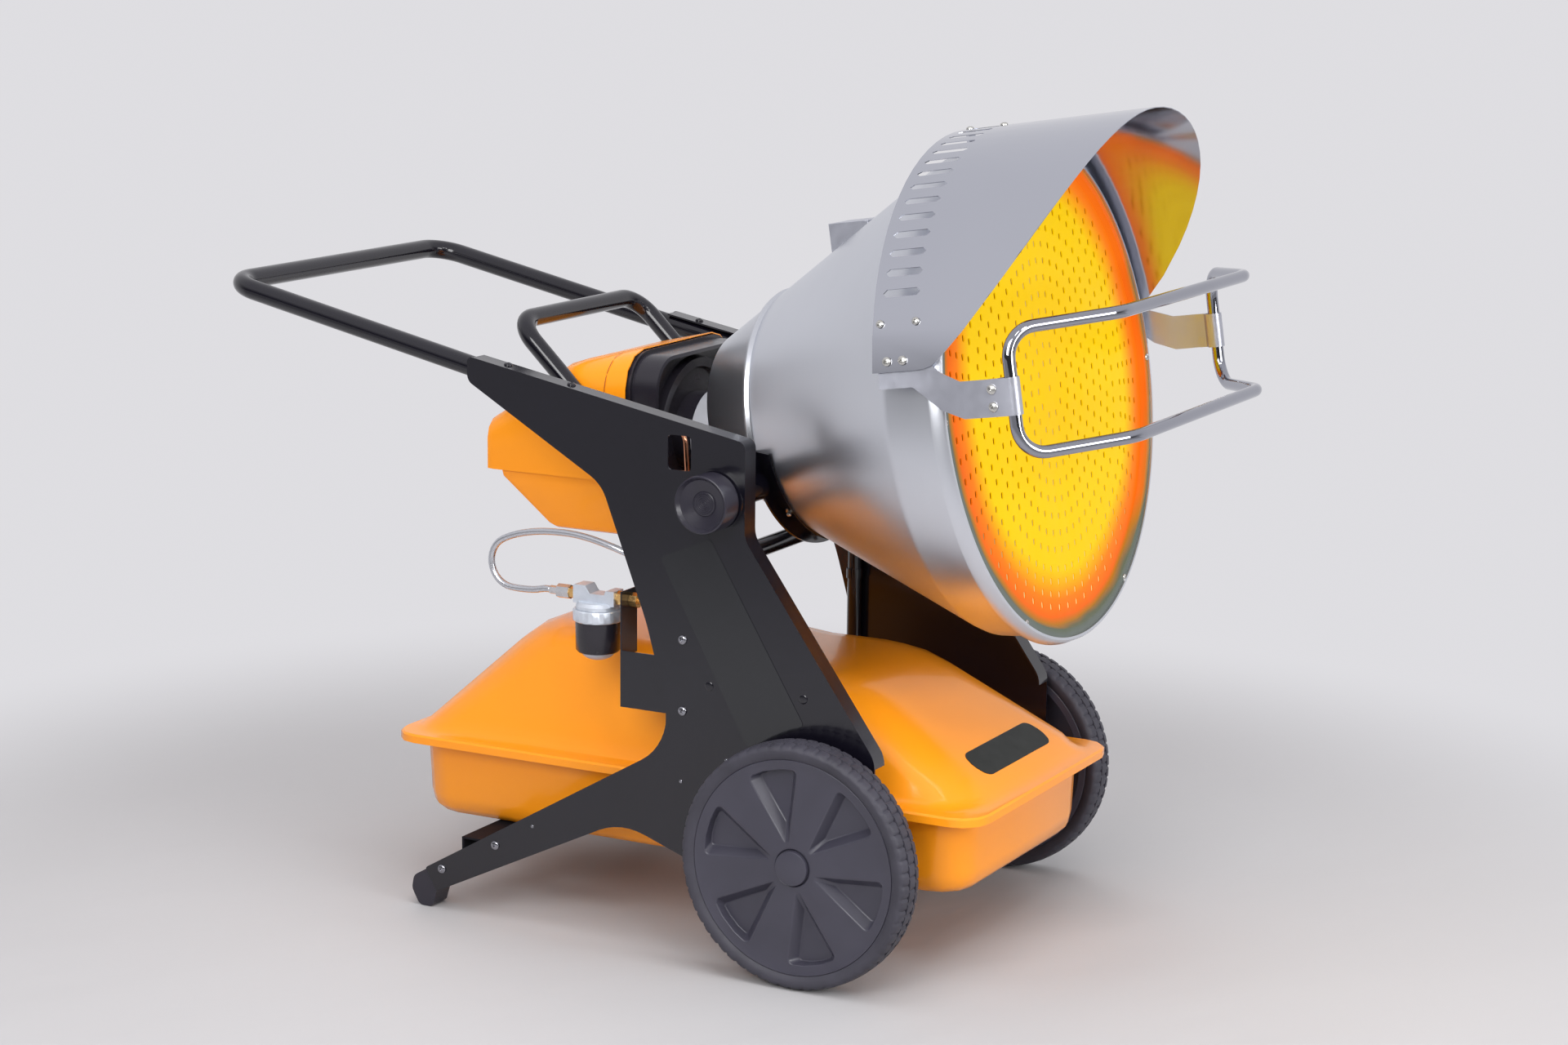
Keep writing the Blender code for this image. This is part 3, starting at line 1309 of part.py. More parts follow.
def guard_bracket():
    """A stainless strip from inside the hood's corner, forward and round the guard tube."""
    half = BRACKET_HEIGHT / 2
    low, high = BRACKET_CENTRE_U - half, BRACKET_CENTRE_U + half
    hold = GUARD_RADIUS + GAP + BRACKET_GAUGE / 2
    side = GUARD_SIDE_X + hold
    inside_hood = HOOD_RADIUS - THIN_SHEET - GAP * 3 - BRACKET_GAUGE / 2
    root_low = BRACKET_ROOT_U - half
    root_high = BRACKET_ROOT_U + half

    def hugging(u):
        return math.sqrt(inside_hood ** 2 - u ** 2)

    stations = []
    for s in (BRACKET_ROOT_S, BRACKET_FOLD_S + (BRACKET_ROOT_S - BRACKET_FOLD_S) * 0.45):
        a, b = (hugging(root_low), s, root_low), (hugging(root_high), s, root_high)
        stations.append((a, b, (math.cos(math.asin(BRACKET_ROOT_U / inside_hood)), 0.0,
                                BRACKET_ROOT_U / inside_hood)))
    fold_drop = (BRACKET_ROOT_U - BRACKET_CENTRE_U) * 0.72
    a = (hugging(root_low - fold_drop), BRACKET_FOLD_S, root_low - fold_drop)
    b = (hugging(root_high - fold_drop), BRACKET_FOLD_S, root_high - fold_drop)
    stations.append((a, b, (1.0, 0.0, 0.12)))
    bend_s = GUARD_SIDE_S * 0.35
    stations.append(((side - BRACKET_SWELL / 2, bend_s, low), (side, bend_s, high),
                     (1.0, 0.0, 0.0)))
    flat_s = GUARD_SIDE_S + CLAMP_RETURN
    stations.append(((side, flat_s, low), (side, flat_s, high), (1.0, 0.0, 0.0)))
    for k in range(9):
        turn = math.pi * k / 8
        x = GUARD_SIDE_X + hold * math.cos(turn)
        s = GUARD_SIDE_S - hold * math.sin(turn)
        stations.append(((x, s, low), (x, s, high), (math.cos(turn), -math.sin(turn), 0.0)))
    back = GUARD_SIDE_S + hold * 0.9
    x = GUARD_SIDE_X - hold * 0.75
    stations.append(((x, back, low), (x, back, high), (-1.0, 0.9, 0.0)))
    lie = side - BRACKET_GAUGE - GAP * 3
    stations.append(((lie, back + hold * 0.9, low), (lie, back + hold * 0.9, high),
                     (-1.0, 0.35, 0.0)))
    stations.append(((lie, flat_s, low), (lie, flat_s, high), (-1.0, 0.0, 0.0)))
    return ribbon(stations, BRACKET_GAUGE)


def cone_box():
    """An inverted channel on the cone, with a foot flange that follows the cone."""
    front, rear = BOX_S - BOX_LENGTH / 2, BOX_S + BOX_LENGTH / 2
    half = BOX_WIDTH / 2
    wall = SHEET

    def seated(x, s):
        return (x, s, math.sqrt(cone_radius(s) ** 2 - x ** 2) + GAP)

    def lifted(points, top):
        return [(x, s, top) for x, s, _ in points]

    spread = [(-half, front), (0.0, front), (half, front), (half, rear), (0.0, rear), (-half, rear)]
    outer_low = [seated(x, s) for x, s in spread]
    top = cone_radius(BOX_S) + BOX_HEIGHT
    outer_top = lifted(outer_low, top)
    inner_low = [seated(x * (1 - wall / half), s + (wall if s == front else -wall))
                 for x, s in spread]
    inner_top = lifted(inner_low, top - wall)
    bm = bmesh.new()
    rows = [[bm.verts.new(p) for p in r] for r in (outer_low, outer_top, inner_low, inner_top)]
    walls(bm, rows[0], rows[1])
    walls(bm, rows[2], rows[3])
    walls(bm, rows[0], rows[2])
    bm.faces.new(rows[1])
    bm.faces.new(rows[3])
    return bm


def cradle_ring():
    """Half ring of angle section under the cone."""
    s1 = DRUM_RIB_S - DRUM_RIB_WIDTH / 2 - GAP * 5
    s0 = s1 - CRADLE_WIDTH
    gauge = MEMBER_GAUGE
    seat = GAP * 3
    outer = cone_radius(s0) + seat + gauge
    profile = [(s0, cone_radius(s0) + seat), (s0, outer),
               (s1 - gauge, cone_radius(s1 - gauge) + seat + gauge),
               (s1 - gauge, outer + gauge), (s1, outer + gauge), (s1, cone_radius(s1) + seat)]
    return lathe(profile, "Y", DRUM_FACETS // 2, math.pi, 2 * math.pi)


# Burner, in the heater's level frame

def level_arch(half, low_z, top_z, corner, y_of, steps=3):
    """Points up one side, over the top and down the other, for an open-bottomed cover."""
    def at(x, z):
        return Vector((x, y_of(z), z))

    points = [at(-half, low_z), at(-half, (low_z + top_z - corner) / 2)]
    for k in range(steps + 1):
        turn = math.pi - math.pi / 2 * k / steps
        points.append(at(-half + corner + corner * math.cos(turn),
                         top_z - corner + corner * math.sin(turn)))
    points.append(at(0.0, top_z))
    for k in range(steps + 1):
        turn = math.pi / 2 - math.pi / 2 * k / steps
        points.append(at(half - corner + corner * math.cos(turn),
                         top_z - corner + corner * math.sin(turn)))
    points += [at(half, (low_z + top_z - corner) / 2), at(half, low_z)]
    return points


def sheet_from_rows(rows):
    """An open sheet through rows of equally many points."""
    bm = bmesh.new()
    made = [[bm.verts.new(p) for p in row] for row in rows]
    for row, following in zip(made, made[1:]):
        for k in range(len(row) - 1):
            bm.faces.new((row[k], row[k + 1], following[k + 1], following[k]))
    return bm, made


def burner_cover_sheet():
    """Orange cover: arched at the front, sloping down to a rounded rear face."""
    edge = COVER_REAR_EDGE
    rows = [
        level_arch(COVER_HALF, SEAM_Z, COVER_TOP_Z, COVER_CORNER, lambda _: COVER_FRONT_Y),
        level_arch(COVER_HALF, SEAM_Z, COVER_CREASE_Z + edge / 3, COVER_CORNER,
                   lambda _: COVER_CREASE_Y - edge),
        level_arch(COVER_HALF, SEAM_Z, COVER_CREASE_Z - edge / 3, COVER_CORNER * 0.9,
                   lambda _: COVER_CREASE_Y + edge),
        level_arch(COVER_HALF, SEAM_Z, COVER_SHOULDER_Z, COVER_REAR_CORNER,
                   lambda _: COVER_SHOULDER_Y),
        level_arch(COVER_HALF - edge / 4, SEAM_Z, COVER_SHOULDER_Z - edge / 2,
                   COVER_REAR_CORNER, lambda _: COVER_REAR_Y - edge / 4),
        level_arch(COVER_HALF - edge, SEAM_Z, COVER_SHOULDER_Z - edge * 1.6,
                   COVER_REAR_CORNER * 0.8, lambda _: COVER_REAR_Y),
    ]
    bm, made = sheet_from_rows(rows)
    bm.faces.new(made[-1])
    return bm


def burner_tray_sheet():
    """Orange tray: open above and in front, its floor rising at the rear."""
    half, corner = TRAY_HALF, TRAY_CORNER
    top = SEAM_Z - GAP

    def trough(y, floor):
        def at(x, z):
            return Vector((x, y, z))

        side = [at(-half, top), at(-half, floor + corner)]
        for k in range(1, 3):
            turn = math.pi + math.pi / 2 * k / 2
            side.append(at(-half + corner + corner * math.cos(turn),
                           floor + corner + corner * math.sin(turn)))
        return side + [Vector((-p.x, p.y, p.z)) for p in reversed(side)]

    rows = [trough(COVER_FRONT_Y, TRAY_BOTTOM_Z),
            trough(TRAY_SLOPE_Y - corner, TRAY_BOTTOM_Z),
            trough(TRAY_SLOPE_Y, TRAY_BOTTOM_Z + TRAY_SLOPE_RISE),
            trough(TRAY_REAR_Y, top - corner - SHEET)]
    bm, made = sheet_from_rows(rows)
    last = made[-1]
    lip = [bm.verts.new(Vector((v.co.x, v.co.y + SHEET, top))) for v in (last[0], last[-1])]
    bm.faces.new((last[0], *last[1:-1], last[-1], lip[1], lip[0]))
    return bm


def square_ring(half, low_z, top_z, corner, y, facets=HOUSING_FACETS):
    """Rounded rectangle cut by equally spaced rays from the burner's axis."""
    outline = box_outline(-half, low_z, half, top_z, corner)
    ring = []
    for k in range(facets):
        angle = 2 * math.pi * k / facets
        ray = Vector((math.cos(angle), math.sin(angle)))
        best = 0.0
        for i, start in enumerate(outline):
            a = Vector(start) - Vector((0.0, BURNER_Z))
            b = Vector(outline[(i + 1) % len(outline)]) - Vector((0.0, BURNER_Z))
            d = b - a
            cross = ray.x * d.y - ray.y * d.x
            if abs(cross) < GAP * GAP:
                continue
            t = (a.x * d.y - a.y * d.x) / cross
            w = (a.x * ray.y - a.y * ray.x) / cross
            if -GAP <= w <= 1 + GAP and t > best:
                best = t
        ring.append((ray.x * best, y, BURNER_Z + ray.y * best))
    return ring


def round_ring(radius, y, facets=HOUSING_FACETS):
    return [(a, y, b) for a, b in circle(0.0, BURNER_Z, radius, facets)]


def fan_housing():
    """Black moulded housing with a recessed front and a lip inside the covers."""
    half, low, top = HOUSING_HALF, HOUSING_BOTTOM_Z, HOUSING_TOP_Z
    wall, corner = HOUSING_WALL, HOUSING_CORNER
    front, recess = HOUSING_FRONT_Y, HOUSING_FRONT_Y + HOUSING_RECESS
    lip_y = COVER_FRONT_Y - HOUSING_LIP
    rear = COVER_FRONT_Y + HOUSING_LIP_DEPTH
    hole = BLAST_RADIUS + GAP

    def square(grow, y):
        return square_ring(half + grow, low - grow, top + grow, corner + grow, y)

    rings = [
        round_ring(hole, recess), square(-wall * 1.4, recess), square(-wall, front),
        square(0.0, front + wall / 4), square(0.0, lip_y), square(HOUSING_LIP, lip_y),
        square(HOUSING_LIP, rear), square(-wall, rear), square(-wall, recess + wall),
        round_ring(hole, recess + wall),
    ]
    return loft(rings, cyclic=True)


def blast_collar():
    """Round moulding in the recess."""
    back = HOUSING_FRONT_Y + HOUSING_RECESS - GAP
    inner = BLAST_RADIUS + GAP
    return lathe([(back, inner), (back, COLLAR_RADIUS),
                  (back - COLLAR_HEIGHT, COLLAR_RADIUS - COLLAR_WEB),
                  (back - COLLAR_HEIGHT, COLLAR_INNER_RADIUS + COLLAR_WEB),
                  (back - COLLAR_WEB, COLLAR_INNER_RADIUS), (back - COLLAR_WEB, inner)],
                 "Y", HOUSING_FACETS, lift=BURNER_Z)


def blast_tube():
    return lathe([(BLAST_FRONT_Y, BLAST_RADIUS - BLAST_WALL), (BLAST_FRONT_Y, BLAST_RADIUS),
                  (BLAST_REAR_Y, BLAST_RADIUS), (BLAST_REAR_Y, BLAST_RADIUS - BLAST_WALL)],
                 "Y", HOUSING_FACETS, lift=BURNER_Z)


def rear_plane_y(z):
    """Where the drum's slanted rear end stands at a height."""
    base = Vector((DRUM_Y, DRUM_Z)) + Vector((math.cos(TILT), -math.sin(TILT))) * DRUM_END_S
    return base.x + (z - base.y) * math.tan(TILT)


def burner_flange():
    """Bright tube between the burner and the drum, cut to the drum's slanted end."""
    rear = BLAST_FRONT_Y - GAP
    outer, inner = FLANGE_RADIUS, FLANGE_RADIUS - FLANGE_WALL
    rim = outer + FLANGE_WALL / 2
    step = FLANGE_WALL * 1.6

    def seated(radius, lead):
        return [(a, rear_plane_y(b) + GAP + lead, b)
                for a, b in circle(0.0, BURNER_Z, radius, HOUSING_FACETS)]

    rings = [seated(inner, 0.0), seated(rim, 0.0), seated(rim, step), seated(outer, step),
             round_ring(outer, rear), round_ring(inner, rear)]
    return loft(rings, cyclic=True)


def tilt_handle():
    """Bent tube over the cover; its legs lie against the cover's sides."""
    x = COVER_HALF + GAP + TILT_HANDLE_RADIUS
    leg = TILT_HANDLE_LEG
    foot_y = TILT_HANDLE_TOP_Y - leg * math.cos(TILT_HANDLE_SLOPE)
    foot_z = TILT_HANDLE_TOP_Z - leg * math.sin(TILT_HANDLE_SLOPE)
    path = rounded([
        ((-x, foot_y, foot_z), 0.0),
        ((-x, TILT_HANDLE_TOP_Y, TILT_HANDLE_TOP_Z), TILT_HANDLE_BEND),
        ((x, TILT_HANDLE_TOP_Y, TILT_HANDLE_TOP_Z), TILT_HANDLE_BEND),
        ((x, foot_y, foot_z), 0.0),
    ], closed=False, arc_step=ARC_STEP * 0.75)
    return sweep(path, TILT_HANDLE_RADIUS, TILT_HANDLE_WALL)


def burner_chassis():
    """Upright plate behind the housing with a shelf for the motor."""
    front = COVER_FRONT_Y + HOUSING_LIP_DEPTH + GAP
    gauge = CHASSIS_GAUGE
    half, low, top = CHASSIS_HALF, CHASSIS_FLOOR_Z, CHASSIS_TOP_Z
    hole = circle(0.0, BURNER_Z, BLAST_RADIUS + GAP, HOUSING_FACETS)
    plate = block(box_outline(-half, low, half, top), front, front + gauge, in_xz, [hole])
    shelf = box((-half * 0.9, front + gauge / 2, low), (half * 0.9, front + CHASSIS_DEPTH, low + gauge))
    return plate, shelf


def motor_shape():
    """Motor case with its two end bells, foot and shaft, about the fan's axis."""
    x0, x1 = MOTOR_X, MOTOR_X + MOTOR_LENGTH
    shaft_end = x1 + FAN_WIDTH * 0.6
    rim = MOTOR_RADIUS
    band = MOTOR_LENGTH * 0.3
    profile = [(x0, 0.0), (x0, rim * 0.8), (x0 + rim / 6, rim), (x0 + band, rim),
               (x0 + band, rim * 0.95), (x1 - band, rim * 0.95), (x1 - band, rim),
               (x1 - rim / 6, rim), (x1, rim * 0.8), (x1, SHAFT_RADIUS),
               (shaft_end, SHAFT_RADIUS), (shaft_end, 0.0)]
    case = lathe(profile, "X", SMALL_FACETS)
    bmesh.ops.translate(case, vec=(0.0, MOTOR_Y, MOTOR_Z), verts=case.verts[:])
    foot_top = MOTOR_Z - MOTOR_RADIUS * 0.8
    foot_low = CHASSIS_FLOOR_Z + CHASSIS_GAUGE + GAP
    foot_half = MOTOR_FOOT_WIDTH / 2
    base = box((x0 + foot_half, MOTOR_Y - foot_half, foot_low),
               (x1 - foot_half, MOTOR_Y + foot_half, foot_top))
    return case, base


def fan_wheel():
    """Backplate with swept blades, in its own frame with the axis along X."""
    bm = bmesh.new()
    plate = FAN_BACKPLATE

    def at(radius, angle, x):
        return bm.verts.new((x, radius * math.cos(angle), radius * math.sin(angle)))

    def ring(radius, x, count=FAN_BLADES * 2):
        return [at(radius, 2 * math.pi * k / count, x) for k in range(count)]

    rim_back, rim_front = ring(FAN_RADIUS, 0.0), ring(FAN_RADIUS, plate)
    bore = SHAFT_RADIUS + GAP
    bore_back = ring(bore, 0.0, SMALL_FACETS)
    hub_top = ring(FAN_HUB_RADIUS, FAN_WIDTH / 2, SMALL_FACETS)
    bore_top = ring(bore, FAN_WIDTH / 2, SMALL_FACETS)
    hub_low = ring(FAN_HUB_RADIUS, plate, SMALL_FACETS)
    walls(bm, rim_back, rim_front)
    walls(bm, bore_back, bore_top)
    walls(bm, bore_top, hub_top)
    walls(bm, hub_top, hub_low)
    fill(bm, [rim_back, bore_back])
    roots = []
    half = FAN_BLADE_THICKNESS / 2
    for k in range(FAN_BLADES):
        angle = 2 * math.pi * (k + 0.5) / FAN_BLADES
        tip = FAN_RADIUS - half * 2
        corners = [(FAN_INNER_RADIUS, angle - half / FAN_INNER_RADIUS),
                   (tip, angle + FAN_BLADE_SWEEP - half / tip),
                   (tip, angle + FAN_BLADE_SWEEP + half / tip),
                   (FAN_INNER_RADIUS, angle + half / FAN_INNER_RADIUS)]
        root = [at(r, a, plate) for r, a in corners]
        crest = [at(r, a, FAN_WIDTH) for r, a in corners]
        walls(bm, root, crest)
        bm.faces.new(crest)
        roots.append(root)
    fill(bm, [rim_front, hub_low, *roots])
    return bm


def fuel_pump():
    end = MOTOR_X - GAP
    r = PUMP_RADIUS
    bm = lathe([(end, 0.0), (end, r * 0.8), (end - PUMP_LENGTH * 0.2, r * 0.8),
                (end - PUMP_LENGTH * 0.2, r), (end - PUMP_LENGTH, r),
                (end - PUMP_LENGTH, 0.0)], "X", SMALL_FACETS)
    bmesh.ops.translate(bm, vec=(0.0, MOTOR_Y, MOTOR_Z), verts=bm.verts[:])
    return bm


def ignition_transformer():
    front = COVER_FRONT_Y + HOUSING_LIP_DEPTH + CHASSIS_GAUGE + GAP * 2
    half = TRANSFORMER_WIDTH / 2
    return box((-half, front, TRANSFORMER_Z),
               (half, front + TRANSFORMER_DEPTH, TRANSFORMER_Z + TRANSFORMER_HEIGHT))


def control_panel():
    """Thin panel on the rear face, with a window for the rocker."""
    y = COVER_REAR_Y + GAP
    middle = (PANEL_BOTTOM_Z + PANEL_TOP_Z) / 2
    half_width = SWITCH_WIDTH / 2 + RUN_GAP
    half_height = SWITCH_HEIGHT / 2 + RUN_GAP * 1.5
    window = box_outline(SWITCH_X - half_width, middle - half_height,
                         SWITCH_X + half_width, middle + half_height)
    outline = box_outline(-PANEL_HALF, PANEL_BOTTOM_Z, PANEL_HALF, PANEL_TOP_Z,
                          PANEL_THICKNESS * 1.5)
    return block(outline, y, y + PANEL_THICKNESS, in_xz, [window])


def power_switch():
    """Rocker with a hollowed front and a back that clears the cover, in its own frame."""
    half, depth, lean = SWITCH_HEIGHT / 2, SWITCH_DEPTH, SWITCH_WEDGE
    rise = half * math.tan(SWITCH_THROW) + GAP
    outline = [(0.0, 0.0), (rise, -half), (depth + lean, -half), (depth, 0.0),
               (depth + lean, half), (rise, half)]
    return block(outline, -SWITCH_WIDTH / 2, SWITCH_WIDTH / 2, in_yz)


def thermostat_dial():
    """Round knob with a grip bar, in its own frame with the axis along Y."""
    knob = lathe([(GAP, 0.0), (GAP, DIAL_RADIUS), (DIAL_DEPTH * 0.4, DIAL_RADIUS),
                  (DIAL_DEPTH * 0.5, DIAL_RADIUS * 0.85), (DIAL_DEPTH * 0.5, 0.0)], "Y", SMALL_FACETS)
    half = DIAL_GRIP_WIDTH / 2
    grip = box((-half, DIAL_DEPTH * 0.3, -DIAL_RADIUS * 0.8), (half, DIAL_DEPTH, DIAL_RADIUS * 0.8))
    return knob, grip


def cable_gland():
    x0 = TRAY_HALF + GAP
    r = GLAND_RADIUS
    bm = lathe([(x0, r * 0.4), (x0, r), (x0 + GLAND_LENGTH * 0.3, r),
                (x0 + GLAND_LENGTH * 0.35, r * 0.8), (x0 + GLAND_LENGTH, r * 0.6),
                (x0 + GLAND_LENGTH, r * 0.4)], "X", 8)
    bmesh.ops.translate(bm, vec=(0.0, GLAND_Y, GLAND_Z), verts=bm.verts[:])
    return bm


# Pivot hardware

def cradle_hub(side):
    """Sleeve and threaded stud from the cradle ring out through the plate."""
    inner = HUB_TUBE_INNER_X
    seat = PLATE_INNER_X - GAP
    knob_back = PLATE_OUTER_X + GAP + WASHER_THICKNESS + GAP
    stud_end = knob_back + STUD_ENGAGEMENT
    profile = [(inner, 0.0), (inner, HUB_TUBE_RADIUS), (seat, HUB_TUBE_RADIUS),
               (seat, STUD_RADIUS), (stud_end, STUD_RADIUS), (stud_end, 0.0)]
    bm = lathe([(side * x, r) for x, r in profile], "X", SMALL_FACETS)
    bmesh.ops.recalc_face_normals(bm, faces=bm.faces[:])
    return bm


def pivot_washer():
    x0 = PLATE_OUTER_X + GAP
    bore = STUD_RADIUS + RUN_GAP
    r, t = WASHER_RADIUS, WASHER_THICKNESS
    return lathe([(x0, bore), (x0, r), (x0 + t, r), (x0 + t, bore)], "X", SMALL_FACETS * 3 // 2)


def clamp_knob():
    """Dished knob with a raised rim, a centre cap and a blind bore for the stud."""
    back = PLATE_OUTER_X + GAP * 2 + WASHER_THICKNESS
    face, r = KNOB_FACE_X, KNOB_RADIUS
    bore = STUD_RADIUS + RUN_GAP
    deep = back + STUD_ENGAGEMENT + RUN_GAP
    floor = face - KNOB_DISH
    profile = [
        (deep, 0.0), (deep, bore), (back, bore), (back, r - KNOB_SKIRT),
        (back + KNOB_SKIRT, r), (face - KNOB_SKIRT, r), (face, r - KNOB_SKIRT),
        (floor, r - KNOB_SKIRT - KNOB_RIM), (floor, KNOB_CAP_RADIUS + SHEET),
        (floor + KNOB_CAP_RISE, KNOB_CAP_RADIUS), (floor + KNOB_CAP_RISE, 0.0),
    ]
    return lathe(profile, "X", SMALL_FACETS * 3 // 2)


# Fuel line

def filter_head():
    """Die-cast head: a flat-sided body with a round boss and a skirt for the ring nut."""
    half = FILTER_HEAD_HALF
    top = FILTER_HEAD_TOP_Z - FILTER_BOSS_RISE
    low = FILTER_HEAD_BOTTOM_Z
    cut = half * 0.42
    outline = rounded([((FILTER_X - half + cut, FILTER_Y - half), 0.0),
                       ((FILTER_X + half - cut, FILTER_Y - half), 0.0),
                       ((FILTER_X + half, FILTER_Y - half + cut), 0.0),
                       ((FILTER_X + half, FILTER_Y + half - cut), 0.0),
                       ((FILTER_X + half - cut, FILTER_Y + half), 0.0),
                       ((FILTER_X - half + cut, FILTER_Y + half), 0.0),
                       ((FILTER_X - half, FILTER_Y + half - cut), 0.0),
                       ((FILTER_X - half, FILTER_Y - half + cut), 0.0)])
    middle = (top + low) / 2
    centre = Vector((FILTER_X, FILTER_Y))

    def ring(share, z):
        return [(*(centre + (Vector(p) - centre) * share), z) for p in outline]

    body = loft([ring(1.0, low), ring(1.0, middle), ring(0.90, top - SHEET), ring(0.84, top)])
    boss = lathe([(top - SHEET * 2, 0.0), (top - SHEET * 2, FILTER_BOSS_RADIUS),
                  (FILTER_HEAD_TOP_Z - SHEET, FILTER_BOSS_RADIUS),
                  (FILTER_HEAD_TOP_Z, FILTER_BOSS_RADIUS * 0.85), (FILTER_HEAD_TOP_Z, 0.0)],
                 "Z", SMALL_FACETS)
    bmesh.ops.translate(boss, vec=(FILTER_X, FILTER_Y + half * 0.2, 0.0), verts=boss.verts[:])
    return body, boss


def filter_turned(profile, facets=SMALL_FACETS * 3 // 2, ripple=None):
    bm = lathe(profile, "Z", facets, ripple=ripple)
    bmesh.ops.translate(bm, vec=(FILTER_X, FILTER_Y, 0.0), verts=bm.verts[:])
    return bm


def filter_ring_nut():
    top = FILTER_HEAD_BOTTOM_Z - GAP
    low = top - RING_NUT_HEIGHT
    r = RING_NUT_RADIUS
    notch = ripple_of(RING_NUT_FLUTES, RING_NUT_FLUTE_DEPTH, RING_NUT_FLUTES * 2, (2, 3))
    return filter_turned([(top, 0.0), (top, r - SHEET), (top - SHEET, r), (low + SHEET, r),
                          (low, r - SHEET), (low, 0.0)], RING_NUT_FLUTES * 2, notch)


def filter_bowl():
    top = FILTER_HEAD_BOTTOM_Z - RING_NUT_HEIGHT - GAP * 2
    low = top - BOWL_HEIGHT
    r = BOWL_RADIUS
    return filter_turned([(top, 0.0), (top, r), (low + SHEET * 2, r * 0.98), (low, r * 0.90),
                          (low, 0.0)])


def filter_dome():
    top = FILTER_HEAD_BOTTOM_Z - RING_NUT_HEIGHT - GAP * 3 - BOWL_HEIGHT
    profile = [(top, 0.0)]
    for k in range(3):
        turn = math.pi / 2 * k / 3
        profile.append((top - DOME_HEIGHT * math.sin(turn), DOME_RADIUS * math.cos(turn)))
    profile.append((top - DOME_HEIGHT, 0.0))
    return filter_turned(profile, SMALL_FACETS)


def port_rows(rows, start_y, step):
    """Turned rows along Y at the filter's port height, from start_y in the direction of step."""
    profile = []
    y = start_y
    for length, radius in rows:
        profile += [(y, radius), (y + step * length, radius)]
        y += step * length
    bm = lathe([(profile[0][0], 0.0), *profile, (profile[-1][0], 0.0)], "Y", 8)
    bmesh.ops.translate(bm, vec=(FILTER_X, 0.0, FILTER_PORT_Z), verts=bm.verts[:])
    return bm


def hose_fitting():
    start = FILTER_Y + FILTER_HEAD_HALF + GAP
    return port_rows([(FITTING_BRASS_LENGTH, FITTING_RADIUS * 0.85),
                      (FITTING_HEX_LENGTH, FITTING_RADIUS),
                      (FITTING_FERRULE_LENGTH, FERRULE_RADIUS)], start, 1)


def hose_fitting_end_y():
    return (FILTER_Y + FILTER_HEAD_HALF + GAP + FITTING_BRASS_LENGTH + FITTING_HEX_LENGTH
            + FITTING_FERRULE_LENGTH)


def inlet_fitting():
    """Brass nuts on both sides of the bracket, and the elbow down to the tank valve."""
    start = FILTER_Y - FILTER_HEAD_HALF - GAP
    neck = INLET_PIPE_RADIUS
    first = start - FILTER_BRACKET_Y - FILTER_BRACKET_GAUGE - GAP
    return port_rows([(first, INLET_NUT_RADIUS), (FILTER_BRACKET_GAUGE + GAP * 2, neck),
                      (INLET_NUT_LENGTH, INLET_NUT_RADIUS), (INLET_REACH, neck)], start, -1)


def tank_valve():
    """Shut-off valve and pipe from the inlet fitting down to the tank."""
    y = FILTER_BRACKET_Y - GAP * 2 - INLET_NUT_LENGTH - INLET_REACH
    r = INLET_PIPE_RADIUS
    x = FILTER_X
    low_x = -(TANK_BASE_HALF - TANK_FILLET)
    low_z = TANK_FLANGE_Z + TANK_FILLET * 4
    path = rounded([((x, y - GAP, FILTER_PORT_Z), 0.0), ((x, y - r * 5, FILTER_PORT_Z), r * 3),
                    ((x, y - r * 5, low_z), r * 3), ((low_x, y - r * 5, low_z), 0.0)],
                   closed=False, arc_step=ARC_STEP * 1.5)
    return sweep(path, r, sides=8)


def filter_bracket():
    """Black sheet inside the near plate, with a tab folded inwards for the filter."""
    outer = -(PLATE_INNER_X - GAP)
    gauge = FILTER_BRACKET_GAUGE
    y0, y1 = FILTER_BRACKET_FRONT_Y, FILTER_BRACKET_Y + gauge
    sheet = block(box_outline(y0, FILTER_BRACKET_BOTTOM_Z, y1, FILTER_BRACKET_STEP_Z),
                  outer, outer + gauge, in_yz)
    hole = circle(FILTER_X, FILTER_PORT_Z, INLET_PIPE_RADIUS + GAP, 12)
    tab = block(box_outline(outer, FILTER_BRACKET_ARM_Z, outer + FILTER_BRACKET_WIDTH,
                            FILTER_BRACKET_TOP_Z), FILTER_BRACKET_Y, y1, in_xz, [hole])
    return sheet, tab


def smooth_route(points, spacing):
    """Evenly spaced points of a Catmull-Rom curve through a route."""
    route = [Vector(p) for p in points]
    padded = [route[0] * 2 - route[1], *route, route[-1] * 2 - route[-2]]
    fine = []
    for i in range(1, len(padded) - 2):
        a, b, c, d = padded[i - 1:i + 3]
        for k in range(8):
            t = k / 8
            fine.append(0.5 * ((b * 2) + (c - a) * t + (a * 2 - b * 5 + c * 4 - d) * t ** 2
                               + (b * 3 - a - c * 3 + d) * t ** 3))
    fine.append(route[-1])
    lengths = [0.0]
    for a, b in zip(fine, fine[1:]):
        lengths.append(lengths[-1] + (b - a).length)
    count = max(2, round(lengths[-1] / spacing))
    even = []
    at = 0
    for k in range(count + 1):
        target = lengths[-1] * k / count
        while at < len(lengths) - 2 and lengths[at + 1] < target:
            at += 1
        span = lengths[at + 1] - lengths[at]
        even.append(fine[at].lerp(fine[at + 1], (target - lengths[at]) / span))
    return even


